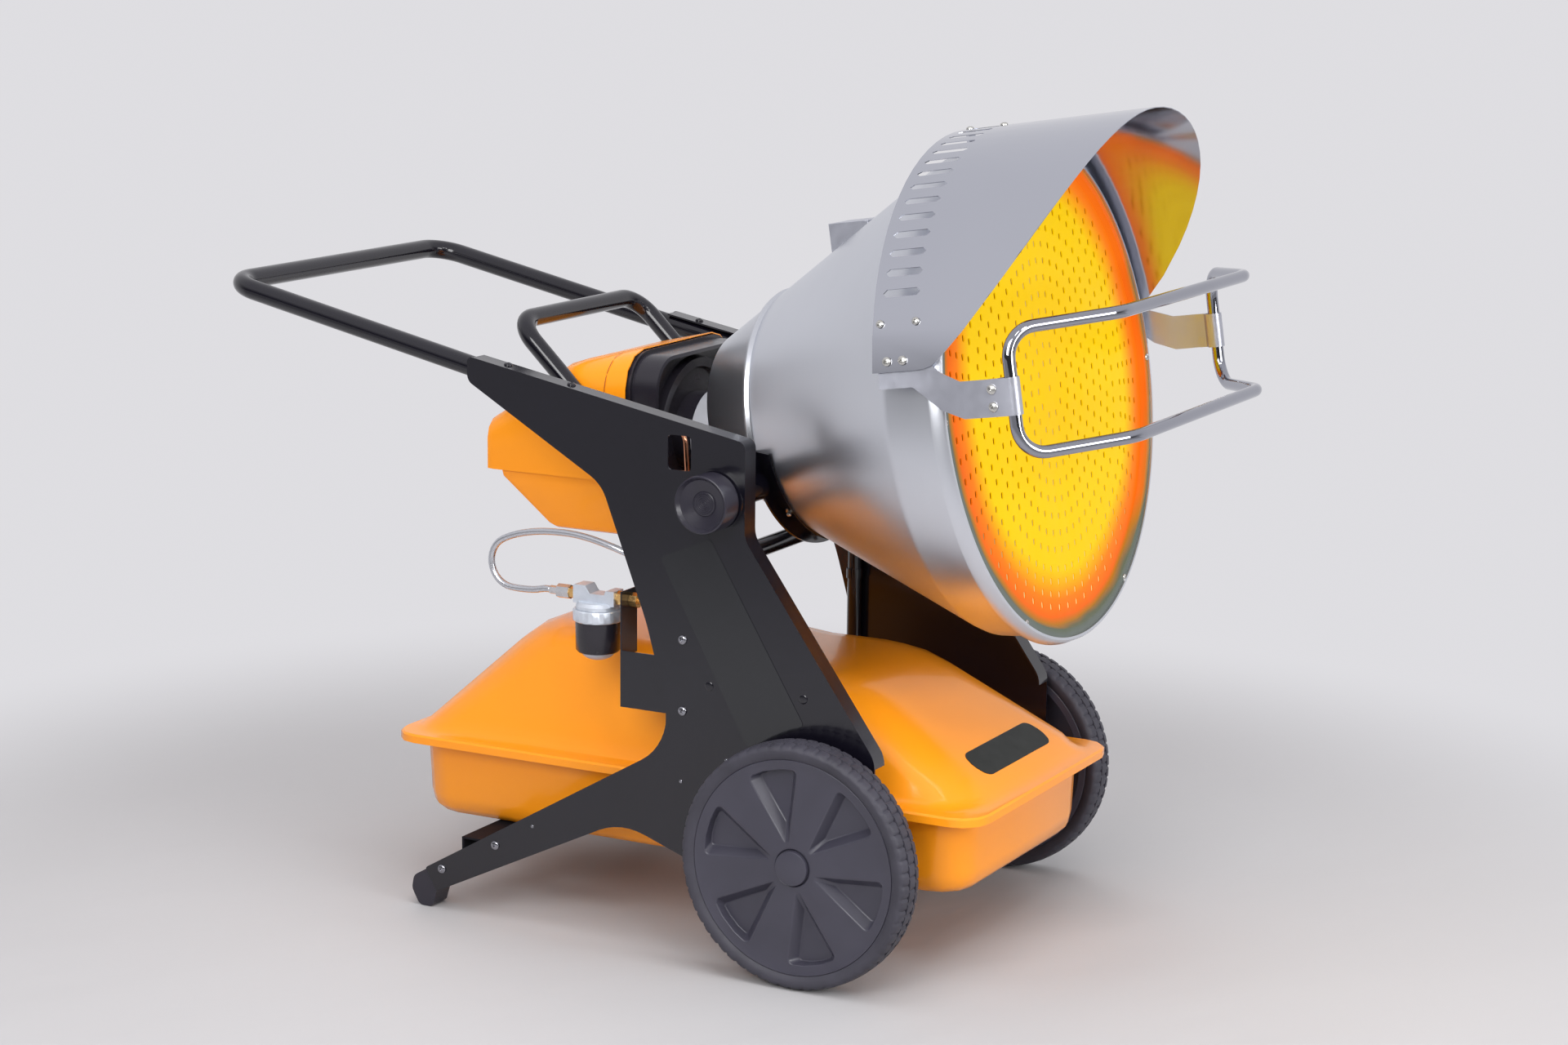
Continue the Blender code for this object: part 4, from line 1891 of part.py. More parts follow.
def hose_points():
    """From the filter's ferrule, round the loop and up into the burner's fitting."""
    start = Vector((FILTER_X, hose_fitting_end_y() + GAP, FILTER_PORT_Z))
    straight = Vector((0.0, HOSE_RADIUS * 2, 0.0))
    end = Vector((HOSE_END_X, HOSE_END_Y, PIVOT_Z - HEAD_DATUM + HOSE_END_Z - GAP))
    upright = Vector((0.0, 0.0, HOSE_RADIUS * 2))
    bends = smooth_route([start + straight, *HOSE_ROUTE, end - upright], HOSE_RING_SPACING)
    return [start, *bends, end]


def hose_block():
    """Fitting on the burner that the hose screws into, with its tab to the fan housing."""
    low, high = HOSE_END_Z, HOSE_END_Z + HOSE_BLOCK_HEIGHT
    r = HOSE_BLOCK_RADIUS
    body = lathe([(low, 0.0), (low, r), (high - r / 2, r), (high, r * 0.7), (high, 0.0)], "Z", 6)
    bmesh.ops.translate(body, vec=(HOSE_END_X, HOSE_END_Y, 0.0), verts=body.verts[:])
    middle = low + (high - low) * HOSE_TAB_SHARE
    half = HOSE_TAB_GAUGE / 2
    tab = box((HOSE_END_X - HOSE_TAB_WIDTH / 2, HOSE_END_Y - HOSE_TAB_WIDTH / 2, middle - half),
              (HOSE_END_X + HOSE_TAB_WIDTH, HOUSING_FRONT_Y - GAP, middle + half))
    return body, tab


def copper_pipe():
    """From the hose fitting up past the window and into the fan housing."""
    start_z = HOSE_END_Z + HOSE_BLOCK_HEIGHT + GAP
    x = HOSE_END_X
    end_x = -(COLLAR_RADIUS + PIPE_BEND)
    end_y = HOUSING_FRONT_Y + HOUSING_RECESS - GAP
    path = rounded([((x, HOSE_END_Y, start_z), 0.0),
                    ((x, HOSE_END_Y, start_z + PIPE_BEND), PIPE_BEND),
                    ((x, PIPE_BULGE_Y, (start_z + PIPE_TOP_Z) / 2), PIPE_BEND),
                    ((x, PIPE_BULGE_Y + PIPE_RADIUS, PIPE_TOP_Z), PIPE_BEND),
                    ((end_x, end_y - PIPE_BEND * 1.6, PIPE_TOP_Z + PIPE_RADIUS), PIPE_BEND),
                    ((end_x, end_y, PIPE_TOP_Z + PIPE_RADIUS), 0.0)], closed=False)
    return sweep(path, PIPE_RADIUS, sides=6)


def cable_conduit():
    """Vertical conduit on the far plate with a raised joint."""
    r, rise = CONDUIT_RADIUS, CONDUIT_JOINT_RISE
    half = CONDUIT_JOINT_WIDTH / 2
    profile = [(CONDUIT_BOTTOM_Z, r - HANDLE_WALL), (CONDUIT_BOTTOM_Z, r),
               (CONDUIT_JOINT_Z - half, r), (CONDUIT_JOINT_Z - half, r + rise),
               (CONDUIT_JOINT_Z + half, r + rise), (CONDUIT_JOINT_Z + half, r),
               (CONDUIT_TOP_Z, r), (CONDUIT_TOP_Z, r - HANDLE_WALL)]
    bm = lathe(profile, "Z", 10)
    x = PLATE_INNER_X - GAP - r - rise
    bmesh.ops.translate(bm, vec=(x, CONDUIT_Y, 0.0), verts=bm.verts[:])
    return bm


# Assembly

def unite(name, parts, material, parent, location=(0.0, 0.0, 0.0)):
    """One solid from several overlapping shapes: the first carries, the others are helpers."""
    made = add_object(name, parts[0], material, parent, location)
    for number, part in enumerate(parts[1:], start=1):
        tool = add_object(f"{name}_part_{number}", part, material, parent, location)
        boolean(made, "UNION", tool)
    return made


def build_frame(root, finishes):
    black = finishes["black_paint"]
    rubber = finishes["tyre_rubber"]
    for side, flip in (("near", False), ("far", True)):
        for name, make, look in (("side_plate", side_plate, black), ("foot", foot, rubber)):
            bm = make()
            add_object(f"{name}_{side}", mirrored(bm) if flip else bm, look, root)
        axle = stub_axle()
        bmesh.ops.translate(axle, vec=(0.0, 0.0, WHEEL_RADIUS), verts=axle.verts[:])
        add_object(f"stub_axle_{side}", axle if flip else mirrored(axle),
                   finishes["satin_steel"], root)
        washer = pivot_washer()
        bmesh.ops.translate(washer, vec=(0.0, PIVOT_Y, PIVOT_Z), verts=washer.verts[:])
        add_object(f"pivot_washer_{side}", washer if flip else mirrored(washer), black, root)
    add_object("push_handle", push_handle(), black, root)
    add_object("cross_stay", cross_stay(), black, root)
    add_object("rear_cross_member", cross_member(REAR_MEMBER_Y, REAR_MEMBER_DEPTH), black, root)
    add_object("front_cross_member", cross_member(FRONT_MEMBER_Y, FRONT_MEMBER_DEPTH), black, root)
    add_object("cable_conduit", cable_conduit(), black, root)


def build_tank(root, finishes):
    orange = finishes["orange_paint"]
    solidify(add_object("tank_upper", tank_upper_sheet(), orange, root), SHEET)
    solidify(add_object("tank_lower", tank_lower_sheet(), orange, root), SHEET)
    slope = math.atan(TANK_TOP_RISE / (TANK_TOP_REAR_Y - TANK_KINK_Y))
    seat = (CAP_SEAT_X, CAP_SEAT_Y, tank_top_z(CAP_SEAT_Y))
    add_object("fuel_cap", fuel_cap(), finishes["knob_plastic"], root, seat, (slope, 0.0, 0.0))


def build_fuel_line(root, finishes):
    unite("filter_bracket", filter_bracket(), finishes["black_paint"], root)
    unite("filter_head", filter_head(), finishes["die_cast"], root)
    add_object("filter_ring_nut", filter_ring_nut(), finishes["die_cast"], root)
    add_object("filter_bowl", filter_bowl(), finishes["burner_black"], root)
    add_object("filter_dome", filter_dome(), finishes["clear_bowl"], root)
    add_object("hose_fitting", hose_fitting(), finishes["brass"], root)
    add_object("inlet_fitting", inlet_fitting(), finishes["brass"], root)
    add_object("tank_valve_pipe", tank_valve(), finishes["black_paint"], root)
    hose = sweep(hose_points(), HOSE_RADIUS, sides=8)
    add_object("fuel_hose", hose, finishes["steel_braid"], root)


def build_wheels(root, finishes):
    for side, x, turn in (("near", -1, math.pi), ("far", 1, 0.0)):
        centre = x * (WHEEL_OUTER_X - WHEEL_WIDTH / 2)
        axle = empty(f"wheel_axis_{side}", (centre, 0.0, WHEEL_RADIUS), root)
        spin = (0.0, 0.0, turn)
        add_object(f"tyre_{side}", tyre(), finishes["tyre_rubber"], axle, rotation=spin)
        add_object(f"wheel_rim_{side}", wheel_rim(), finishes["wheel_plastic"], axle, rotation=spin)
        add_object(f"hub_cap_{side}", hub_cap(), finishes["wheel_plastic"], axle, rotation=spin)


def build_drum(drum, finishes):
    steel = finishes["satin_steel"]
    add_object("drum_shell", drum_shell(), steel, drum)
    add_object("radiant_disc", radiant_disc(), finishes["radiant_disc"], drum)
    add_object("combustion_chamber", combustion_chamber(), steel, drum)
    hood = solidify(add_object("hood", hood_sheet(), finishes["hood_steel"], drum), THIN_SHEET)
    spacers = add_object("hood_spacers", hood_spacers(), steel, drum)
    boolean(hood, "UNION", spacers)
    add_object("guard_loop", guard_loop(), finishes["chrome"], drum)
    add_object("guard_bracket_far", guard_bracket(), finishes["hood_steel"], drum)
    add_object("guard_bracket_near", mirrored(guard_bracket()), finishes["hood_steel"], drum)
    add_object("cone_box_bracket", cone_box(), finishes["hood_steel"], drum)


def build_cradle(drum, pivot, finishes):
    """The ring is built in the drum's frame and its hubs lie on the tilt axis."""
    black = finishes["black_paint"]
    cradle = add_object("cradle", cradle_ring(), black, drum)
    for side in (-1, 1):
        hub = add_object(f"cradle_hub_{side}", cradle_hub(side), black, pivot)
        boolean(cradle, "UNION", hub)


def build_burner(level, finishes):
    orange, black = finishes["orange_paint"], finishes["burner_black"]
    steel = finishes["satin_steel"]
    solidify(add_object("burner_cover", burner_cover_sheet(), orange, level), SHEET)
    solidify(add_object("burner_tray", burner_tray_sheet(), orange, level), SHEET)
    add_object("fan_housing", fan_housing(), black, level)
    add_object("blast_collar", blast_collar(), black, level)
    add_object("blast_tube", blast_tube(), black, level)
    add_object("burner_flange", burner_flange(), finishes["chrome"], level)
    add_object("tilt_handle", tilt_handle(), finishes["black_paint"], level)
    unite("burner_chassis", burner_chassis(), steel, level)
    unite("fan_motor", motor_shape(), black, level)
    add_object("fuel_pump", fuel_pump(), finishes["die_cast"], level)
    add_object("ignition_transformer", ignition_transformer(), black, level)
    add_object("control_panel", control_panel(), black, level)
    add_object("cable_gland", cable_gland(), black, level)
    unite("hose_block", hose_block(), finishes["brass"], level)
    add_object("copper_pipe", copper_pipe(), finishes["copper"], level)


def build_small_movers(level, pivot, finishes):
    """Fan, rocker, dial and clamp knobs, each on an empty on its own axis."""
    fan_axis = empty("fan_axis", (MOTOR_X + MOTOR_LENGTH + GAP, MOTOR_Y, MOTOR_Z), level)
    add_object("fan_wheel", fan_wheel(), finishes["satin_steel"], fan_axis)
    middle = (PANEL_BOTTOM_Z + PANEL_TOP_Z) / 2
    panel_y = COVER_REAR_Y + GAP
    rocker_axis = empty("rocker_axis", (SWITCH_X, panel_y + GAP, middle), level, -SWITCH_THROW)
    add_object("power_switch", power_switch(), finishes["knob_plastic"], rocker_axis)
    dial_axis = empty("dial_axis", (DIAL_X, panel_y + PANEL_THICKNESS, middle), level)
    unite("thermostat_dial", thermostat_dial(), finishes["knob_plastic"], dial_axis)
    add_object("clamp_knob_far", clamp_knob(), finishes["knob_plastic"], pivot)
    add_object("clamp_knob_near", mirrored(clamp_knob()), finishes["knob_plastic"], pivot)


def main():
    for old in list(bpy.data.objects):
        bpy.data.objects.remove(old)
    finishes = make_materials()
    root = empty("heater", (0.0, -ORIGIN_Y, 0.0))
    pivot = empty("tilt_axis", (0.0, PIVOT_Y, PIVOT_Z), root)
    drum = empty("drum_frame", (0.0, DRUM_Y - PIVOT_Y, DRUM_Z - HEAD_DATUM), pivot, -TILT)
    level = empty("burner_frame", (0.0, -PIVOT_Y, -HEAD_DATUM), pivot)
    build_frame(root, finishes)
    build_tank(root, finishes)
    build_fuel_line(root, finishes)
    build_wheels(root, finishes)
    build_drum(drum, finishes)
    build_cradle(drum, pivot, finishes)
    build_burner(level, finishes)
    build_small_movers(level, pivot, finishes)


main()
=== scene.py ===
"""The look of a wheeled infrared heater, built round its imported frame.

Metres throughout. The heater's own frame has y = 0 at the wheel axle and z = 0 on the floor.
Its root empty moves it into the frame's coordinates, which are centred along Y.
"""

import json
import math

import bmesh
import bpy
from mathutils import Matrix, Vector
from mathutils.bvhtree import BVHTree
from mathutils.geometry import delaunay_2d_cdt

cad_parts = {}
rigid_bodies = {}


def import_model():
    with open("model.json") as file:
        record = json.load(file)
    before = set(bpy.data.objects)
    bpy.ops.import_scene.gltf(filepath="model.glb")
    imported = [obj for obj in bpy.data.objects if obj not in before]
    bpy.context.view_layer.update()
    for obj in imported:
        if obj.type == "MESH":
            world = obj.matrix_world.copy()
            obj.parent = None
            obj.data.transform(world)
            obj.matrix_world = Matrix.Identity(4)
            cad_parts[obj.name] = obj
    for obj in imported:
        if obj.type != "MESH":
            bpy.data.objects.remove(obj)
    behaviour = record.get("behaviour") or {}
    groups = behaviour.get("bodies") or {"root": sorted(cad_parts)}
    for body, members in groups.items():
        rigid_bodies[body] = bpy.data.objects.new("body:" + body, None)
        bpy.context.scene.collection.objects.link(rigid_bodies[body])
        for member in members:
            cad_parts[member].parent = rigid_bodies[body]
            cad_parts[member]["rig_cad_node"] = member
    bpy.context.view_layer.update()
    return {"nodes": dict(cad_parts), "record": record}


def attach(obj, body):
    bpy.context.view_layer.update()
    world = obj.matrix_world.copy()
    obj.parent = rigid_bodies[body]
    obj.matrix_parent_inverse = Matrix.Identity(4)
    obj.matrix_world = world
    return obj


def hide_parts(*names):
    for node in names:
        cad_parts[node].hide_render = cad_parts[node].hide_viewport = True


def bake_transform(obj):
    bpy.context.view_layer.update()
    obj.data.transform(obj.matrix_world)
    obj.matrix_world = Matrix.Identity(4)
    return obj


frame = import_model()

# Sizes, in metres
GAP = 0.0003
RUN_GAP = 0.0006
THIN_SHEET = 0.0012
SHEET = 0.0015
PLATE_GAUGE = 0.0023

# Faceting
ARC_STEP = math.radians(9)
DRUM_FACETS = 160
WHEEL_FACETS = 120
SMALL_FACETS = 48
TUBE_SIDES = 28
SHARP_ANGLE = math.radians(38)

# Wheels
WHEEL_RADIUS = 0.160
WHEEL_WIDTH = 0.049
WHEEL_OUTER_X = 0.3295
TYRE_SECTION = 0.0197
TREAD_CROWN = 0.004
TREAD_GROOVE_DEPTH = 0.003
TREAD_GROOVE_WIDTH = 0.003
TREAD_GROOVE_SHARES = (-0.18, 0.18)
RIM_FACE_INSET = 0.006
RIM_RIB_WIDTH = 0.011
RIM_WEB_THICKNESS = 0.0225
POCKET_DEPTH = 0.013
POCKET_COUNT = 6
POCKET_PHASE = math.radians(44)
POCKET_HALF_ANGLE = math.radians(16.5)
POCKET_OUTER_RADIUS = 0.127
POCKET_TIP_RADIUS = 0.033
POCKET_TIP_WIDTH = 0.006
POCKET_CORNER = 0.007
POCKET_FLOOR_SHARE = 0.70
HUB_RADIUS = 0.027
HUB_INNER_X = 0.2745
CAP_RADIUS = 0.0235
CAP_SEAT = 0.0025
CAP_THICKNESS = 0.0095
AXLE_RADIUS = 0.010
AXLE_FLANGE_RADIUS = 0.028
AXLE_FLANGE_THICKNESS = 0.006

# Side plates: one outline, in shares of the plate's length and height
PLATE_OUTER_X = 0.268
PLATE_LENGTH = 0.600
PLATE_HEIGHT = 0.762
PLATE_FLANGE = 0.028
PLATE_OUTLINE_SHARES = (
    (0.8625, 1.0000, 0.012),
    (0.170, 0.8970, 0.020),
    (0.170, 0.7350, 0.060),
    (-0.143, 0.3900, 0.060),
    (-0.143, 0.1150, 0.050),
    (0.167, 0.1310, 0.100),
    (0.472, 0.2160, 0.150),
    (0.957, 0.0315, 0.006),
    (0.987, 0.0722, 0.006),
    (0.337, 0.3700, 0.125),
    (0.408, 0.5720, 0.500),
    (0.521, 0.8020, 0.090),
    (0.862, 0.9570, 0.025),
)
PLATE_FLANGE_CORNERS = 4
FOOT_CORNERS = slice(6, 10)
WINDOW_Y = 0.197
WINDOW_DROP = 0.0995
WINDOW_WIDTH = 0.034
WINDOW_HEIGHT = 0.045
WINDOW_CORNER = 0.005
WINDOW_Z = PLATE_HEIGHT - WINDOW_DROP
PIVOT_Y = 0.143
PIVOT_HEIGHT_SHARE = 0.796587927
PIVOT_Z = PLATE_HEIGHT * PIVOT_HEIGHT_SHARE

# Push handle and stay
HANDLE_RADIUS = 0.0136
HANDLE_WALL = 0.002
HANDLE_REACH_Y = 0.911
HANDLE_FRONT_Y = 0.2445
HANDLE_SLOPE = math.radians(12.2)
HANDLE_BEND = 0.042
STAY_RADIUS = 0.0125
STAY_Y = 0.185
STAY_DROP = 0.1003
STAY_Z = PIVOT_Z - STAY_DROP

# Feet and cross members
FOOT_WIDTH = 0.034
FOOT_INSET = 0.0022
FOOT_TONGUE = 0.046
FOOT_REACH = 0.025
FOOT_FLAT_START = 0.009
FOOT_FLAT_LENGTH = 0.021
MEMBER_HEIGHT = 0.024
REAR_MEMBER_INSET = 0.083
REAR_MEMBER_Y = PLATE_LENGTH - REAR_MEMBER_INSET
REAR_MEMBER_DEPTH = 0.034
FRONT_MEMBER_Y = 0.030
FRONT_MEMBER_DEPTH = 0.040
MEMBER_GAUGE = 0.003

# Fuel tank
TANK_FLANGE_HALF = 0.222
TANK_FRONT_Y = -0.206
TANK_REAR_Y = 0.680
TANK_FLANGE_CORNER = 0.040
TANK_FLANGE_Z = 0.224
TANK_HEM = 0.012
TANK_EDGE_ROUND = 0.0025
TANK_BASE_HALF = 0.196
TANK_BASE_FRONT_Y = -0.184
TANK_BASE_REAR_Y = 0.671
TANK_BASE_CORNER = 0.055
TANK_FILLET = 0.011
TANK_SKIRT_HALF = 0.189
TANK_SKIRT_FRONT_Y = -0.166
TANK_SKIRT_REAR_Y = 0.649
TANK_SKIRT_Z = 0.247
TANK_SKIRT_CORNER = 0.065
TANK_TOP_HALF = 0.150
TANK_TOP_FRONT_Y = 0.018
TANK_TOP_REAR_Y = 0.505
TANK_TOP_CORNER = 0.085
TANK_TOP_Z = 0.354
TANK_TOP_RISE = 0.033
TANK_KINK_Y = 0.180
TANK_CROWN_INSET = 0.046
TANK_CROWN_SHARE = 0.74
TANK_LOWER_HALF = 0.198
TANK_LOWER_FRONT_Y = -0.178
TANK_LOWER_REAR_Y = 0.655
TANK_LOWER_TAPER = 0.003
TANK_LOWER_CORNER = 0.050
TANK_BOTTOM_Z = 0.107
TANK_BOTTOM_ROUND = 0.030
CAP_SEAT_X = 0.030
CAP_SEAT_Y = 0.280
FUEL_CAP_RADIUS = 0.031
FUEL_CAP_HEIGHT = 0.018
FUEL_CAP_LOBES = 12
FUEL_CAP_LOBE_DEPTH = 0.0016

# Tilt pivot, cradle and knobs
STUD_RADIUS = 0.008
HUB_TUBE_RADIUS = 0.018
HUB_TUBE_INNER_X = 0.1600
WASHER_RADIUS = 0.040
WASHER_THICKNESS = 0.0055
KNOB_RADIUS = 0.0375
KNOB_FACE_X = 0.3100
KNOB_SKIRT = 0.003
KNOB_RIM = 0.0045
KNOB_CAP_RADIUS = 0.0155
STUD_ENGAGEMENT = 0.022

# Head: its heights start from a level that lies HEAD_DATUM below the tilt pivot. In the
# drum's frame s runs rearwards from the rim plane along its axis and u is up
HEAD_DATUM = 0.607
TILT = math.radians(8.78)
DRUM_Y = -0.2006
DRUM_Z = 0.743
DRUM_RADIUS = 0.324
DRUM_BEAD_WIDTH = 0.005
DRUM_STEP_S = 0.018
DRUM_STEP_RISE = 0.004
DRUM_BODY_RADIUS = 0.318
DRUM_CONE_S = 0.085
DRUM_CONE_RADIUS = 0.312
DRUM_END_S = 0.455
DRUM_END_RADIUS = 0.104
DRUM_RIB_S = 0.3675
DRUM_RIB_WIDTH = 0.015
DRUM_RIB_RISE = 0.005
CRADLE_WIDTH = 0.0285
DISC_RING_RADIUS = 0.303
DISC_RECESS = 0.010
DISC_FLANGE_S = 0.003
DISC_CROWN = 0.004

# Hood
HOOD_RADIUS = 0.339
HOOD_REAR_S = 0.085
HOOD_REACH = 0.180
HOOD_SWEEP = 0.176
HOOD_SWEEP_POWER = 2.5
HOOD_SWEEP_ANGLE = math.radians(77)
HOOD_HALF_ANGLE = math.radians(78.5)
HOOD_CORNER = 0.030
HOOD_SLOT_COUNT = 28
HOOD_SLOT_PITCH = math.radians(4.59)
HOOD_SLOT_START_S = 0.024
HOOD_SLOT_END_S = 0.074
HOOD_SLOT_WIDTH = 0.010
SPACER_RADIUS = 0.006
SPACER_ANGLE = math.radians(68.4)
SPACER_S = (0.027, 0.075)

# Guard
GUARD_RADIUS = 0.008
GUARD_SIDE_X = 0.331
GUARD_SIDE_S = -0.096
GUARD_NOSE_X = 0.211
GUARD_NOSE_S = -0.194
GUARD_TOP_U = 0.106
GUARD_BOTTOM_U = -0.044
GUARD_CORNER = 0.036
GUARD_KINK = 0.060
BRACKET_GAUGE = 0.0018
BRACKET_HEIGHT = 0.045
BRACKET_CENTRE_U = 0.028
BRACKET_ROOT_U = 0.070
BRACKET_ROOT_S = 0.078
BRACKET_FOLD_S = -0.004
BRACKET_SWELL = 0.004
CLAMP_RETURN = 0.026
BRACKET_ROOT_SHARE = 0.45
BRACKET_DROP_SHARE = 0.72
BRACKET_FOLD_LEAN = 0.12
BRACKET_BEND_SHARE = 0.35
BRACKET_RETURN = 0.9
BRACKET_WRAP = 0.75
BRACKET_LIE_LEAN = 0.35

# Box bracket on the cone
BOX_S = 0.250
BOX_LENGTH = 0.058
BOX_WIDTH = 0.060
BOX_HEIGHT = 0.020

# Burner: its covers stand level while the drum looks up by TILT. Heights as for the head
BURNER_Z = 0.640
COVER_HALF = 0.1415
COVER_FRONT_Y = 0.353
COVER_TOP_Z = 0.763
COVER_CREASE_Y = 0.449
COVER_CREASE_Z = 0.739
COVER_SHOULDER_Y = 0.560
COVER_SHOULDER_Z = 0.664
COVER_REAR_Y = 0.574
COVER_REAR_EDGE = 0.012
COVER_CORNER = 0.050
COVER_REAR_CORNER = 0.028
SEAM_Z = 0.588
TRAY_HALF = 0.1375
TRAY_BOTTOM_Z = 0.515
TRAY_REAR_Y = 0.548
TRAY_SLOPE_Y = 0.475
TRAY_SLOPE_RISE = 0.004
TRAY_CORNER = 0.010
HOUSING_FRONT_Y = 0.310
HOUSING_RECESS = 0.022
HOUSING_HALF = 0.131
HOUSING_TOP_Z = 0.7555
HOUSING_BOTTOM_Z = 0.5215
HOUSING_LIP = 0.0047
HOUSING_LIP_DEPTH = 0.003
HOUSING_WALL = 0.0045
HOUSING_CORNER = 0.044
HOUSING_FACETS = 120
COLLAR_RADIUS = 0.104
COLLAR_INNER_RADIUS = 0.086
COLLAR_HEIGHT = 0.010
COLLAR_WEB = 0.003
BLAST_RADIUS = 0.0555
BLAST_WALL = 0.0025
BLAST_FRONT_Y = 0.3000
BLAST_REAR_Y = 0.3640
FLANGE_RADIUS = 0.060
FLANGE_WALL = 0.004
TILT_HANDLE_RADIUS = 0.0125
TILT_HANDLE_WALL = 0.002
TILT_HANDLE_TOP_Y = 0.513
TILT_HANDLE_TOP_Z = 0.795
TILT_HANDLE_SLOPE = math.radians(43.9)
TILT_HANDLE_LEG = 0.190
TILT_HANDLE_BEND = 0.038

# Control panel on the rear face, and the cable gland
PANEL_HALF = 0.055
PANEL_BOTTOM_Z = 0.599
PANEL_TOP_Z = 0.641
PANEL_THICKNESS = 0.003
SWITCH_X = -0.028
SWITCH_WIDTH = 0.020
SWITCH_HEIGHT = 0.027
SWITCH_DEPTH = 0.005
SWITCH_WEDGE = 0.0015
SWITCH_THROW = math.radians(8)
DIAL_X = 0.024
DIAL_RADIUS = 0.014
DIAL_DEPTH = 0.010
DIAL_GRIP_WIDTH = 0.005
DIAL_GRIP_REACH = 0.8
DIAL_GRIP_SEAT = 0.3
DIAL_WALL_SHARE = 0.4
DIAL_TOP_SHARE = 0.5
DIAL_TOP_RADIUS_SHARE = 0.85
GLAND_Y = 0.420
GLAND_Z = 0.548
GLAND_RADIUS = 0.010
GLAND_LENGTH = 0.018
GLAND_SIDES = 8
GLAND_PROFILE = ((0.0, 0.4), (0.0, 1.0), (0.3, 1.0), (0.35, 0.8), (1.0, 0.6), (1.0, 0.4))

# Fuel line: filter, fittings, hose and pipes
FILTER_X = -0.240
FILTER_Y = 0.3345
FILTER_PORT_Z = 0.457
FILTER_HEAD_TOP_Z = 0.471
FILTER_HEAD_BOTTOM_Z = 0.4405
FILTER_HEAD_HALF = 0.0310
FILTER_BOSS_RISE = 0.006
RING_NUT_RADIUS = 0.0330
RING_NUT_HEIGHT = 0.016
RING_NUT_FLUTES = 14
RING_NUT_FLUTE_DEPTH = 0.0012
BOWL_RADIUS = 0.0300
BOWL_HEIGHT = 0.041
DOME_RADIUS = 0.0220
DOME_HEIGHT = 0.0115
FITTING_BRASS_LENGTH = 0.010
FITTING_HEX_LENGTH = 0.019
FITTING_FERRULE_LENGTH = 0.012
FITTING_RADIUS = 0.0095
FERRULE_RADIUS = 0.0058
INLET_NUT_LENGTH = 0.0115
INLET_NUT_RADIUS = 0.0100
INLET_PIPE_RADIUS = 0.0045
INLET_REACH = 0.022
FILTER_BRACKET_Y = 0.2838
FILTER_BRACKET_WIDTH = 0.040
FILTER_BRACKET_GAUGE = 0.002
FILTER_BRACKET_TOP_Z = 0.472
FILTER_BRACKET_STEP_Z = 0.394
FILTER_BRACKET_BOTTOM_Z = 0.319
FILTER_BRACKET_FRONT_Y = 0.185
FILTER_BRACKET_ARM_Z = 0.385
HOSE_RADIUS = 0.0046
HOSE_LOOP_CENTRE = (0.4657, 0.4870)
HOSE_LOOP_RADIUS = 0.0338
HOSE_LOW_POINT = (0.436, 0.4535)
HOSE_TOP_RUN = ((0.4590, 0.5258), (0.4320, 0.5318), (0.4040, 0.5345), (0.3740, 0.5345),
                (0.3440, 0.5308))
HOSE_RISE_TURNS = tuple(math.radians(turn) for turn in (-65, -40, -15))
HOSE_RISE_DROP = 0.001
HOSE_TURN_CENTRE = (-0.190, 0.312)
HOSE_TURN_RADIUS = 0.050
HOSE_TURN_FALL = (0.5235, 0.4970)
HOSE_RISE_RADIUS = 0.038
HOSE_END_X = -0.150
HOSE_END_Y = 0.262
HOSE_END_Z = 0.5360
HOSE_BLOCK_HEIGHT = 0.024
HOSE_BLOCK_RADIUS = 0.0085
HOSE_TAB_WIDTH = 0.030
HOSE_TAB_GAUGE = 0.003
HOSE_TAB_SHARE = 0.5
PIPE_RADIUS = 0.0030
PIPE_BULGE_Y = 0.253
PIPE_TOP_Z = 0.664
PIPE_BEND = 0.014
CONDUIT_RADIUS = 0.010
CONDUIT_Y = 0.2095
CONDUIT_BOTTOM_Z = 0.262
CONDUIT_TOP_Z = 0.560
CONDUIT_JOINT_Z = 0.410
CONDUIT_JOINT_RISE = 0.002
CONDUIT_JOINT_WIDTH = 0.014

PLATE_INNER_X = PLATE_OUTER_X - PLATE_GAUGE
ORIGIN_Y = (HANDLE_REACH_Y + HANDLE_RADIUS
            + DRUM_Y + GUARD_NOSE_S * math.cos(TILT) - GUARD_BOTTOM_U * -math.sin(TILT)
            - GUARD_RADIUS) / 2


# Materials: relief and scales are in metres and repeats per metre

NOISE_MIDDLE = (0.3, 0.7)
GRAIN_DETAIL = 2.0
GLOSS_FINER = 5
SMOOTHEST = 0.02
COAT_ROUGHNESS = 0.06
BOWL_CLEARNESS = 0.35
TURNED = (0.02, 1.0, 0.02)
ROLLED = (0.03, 1.0, 0.03)

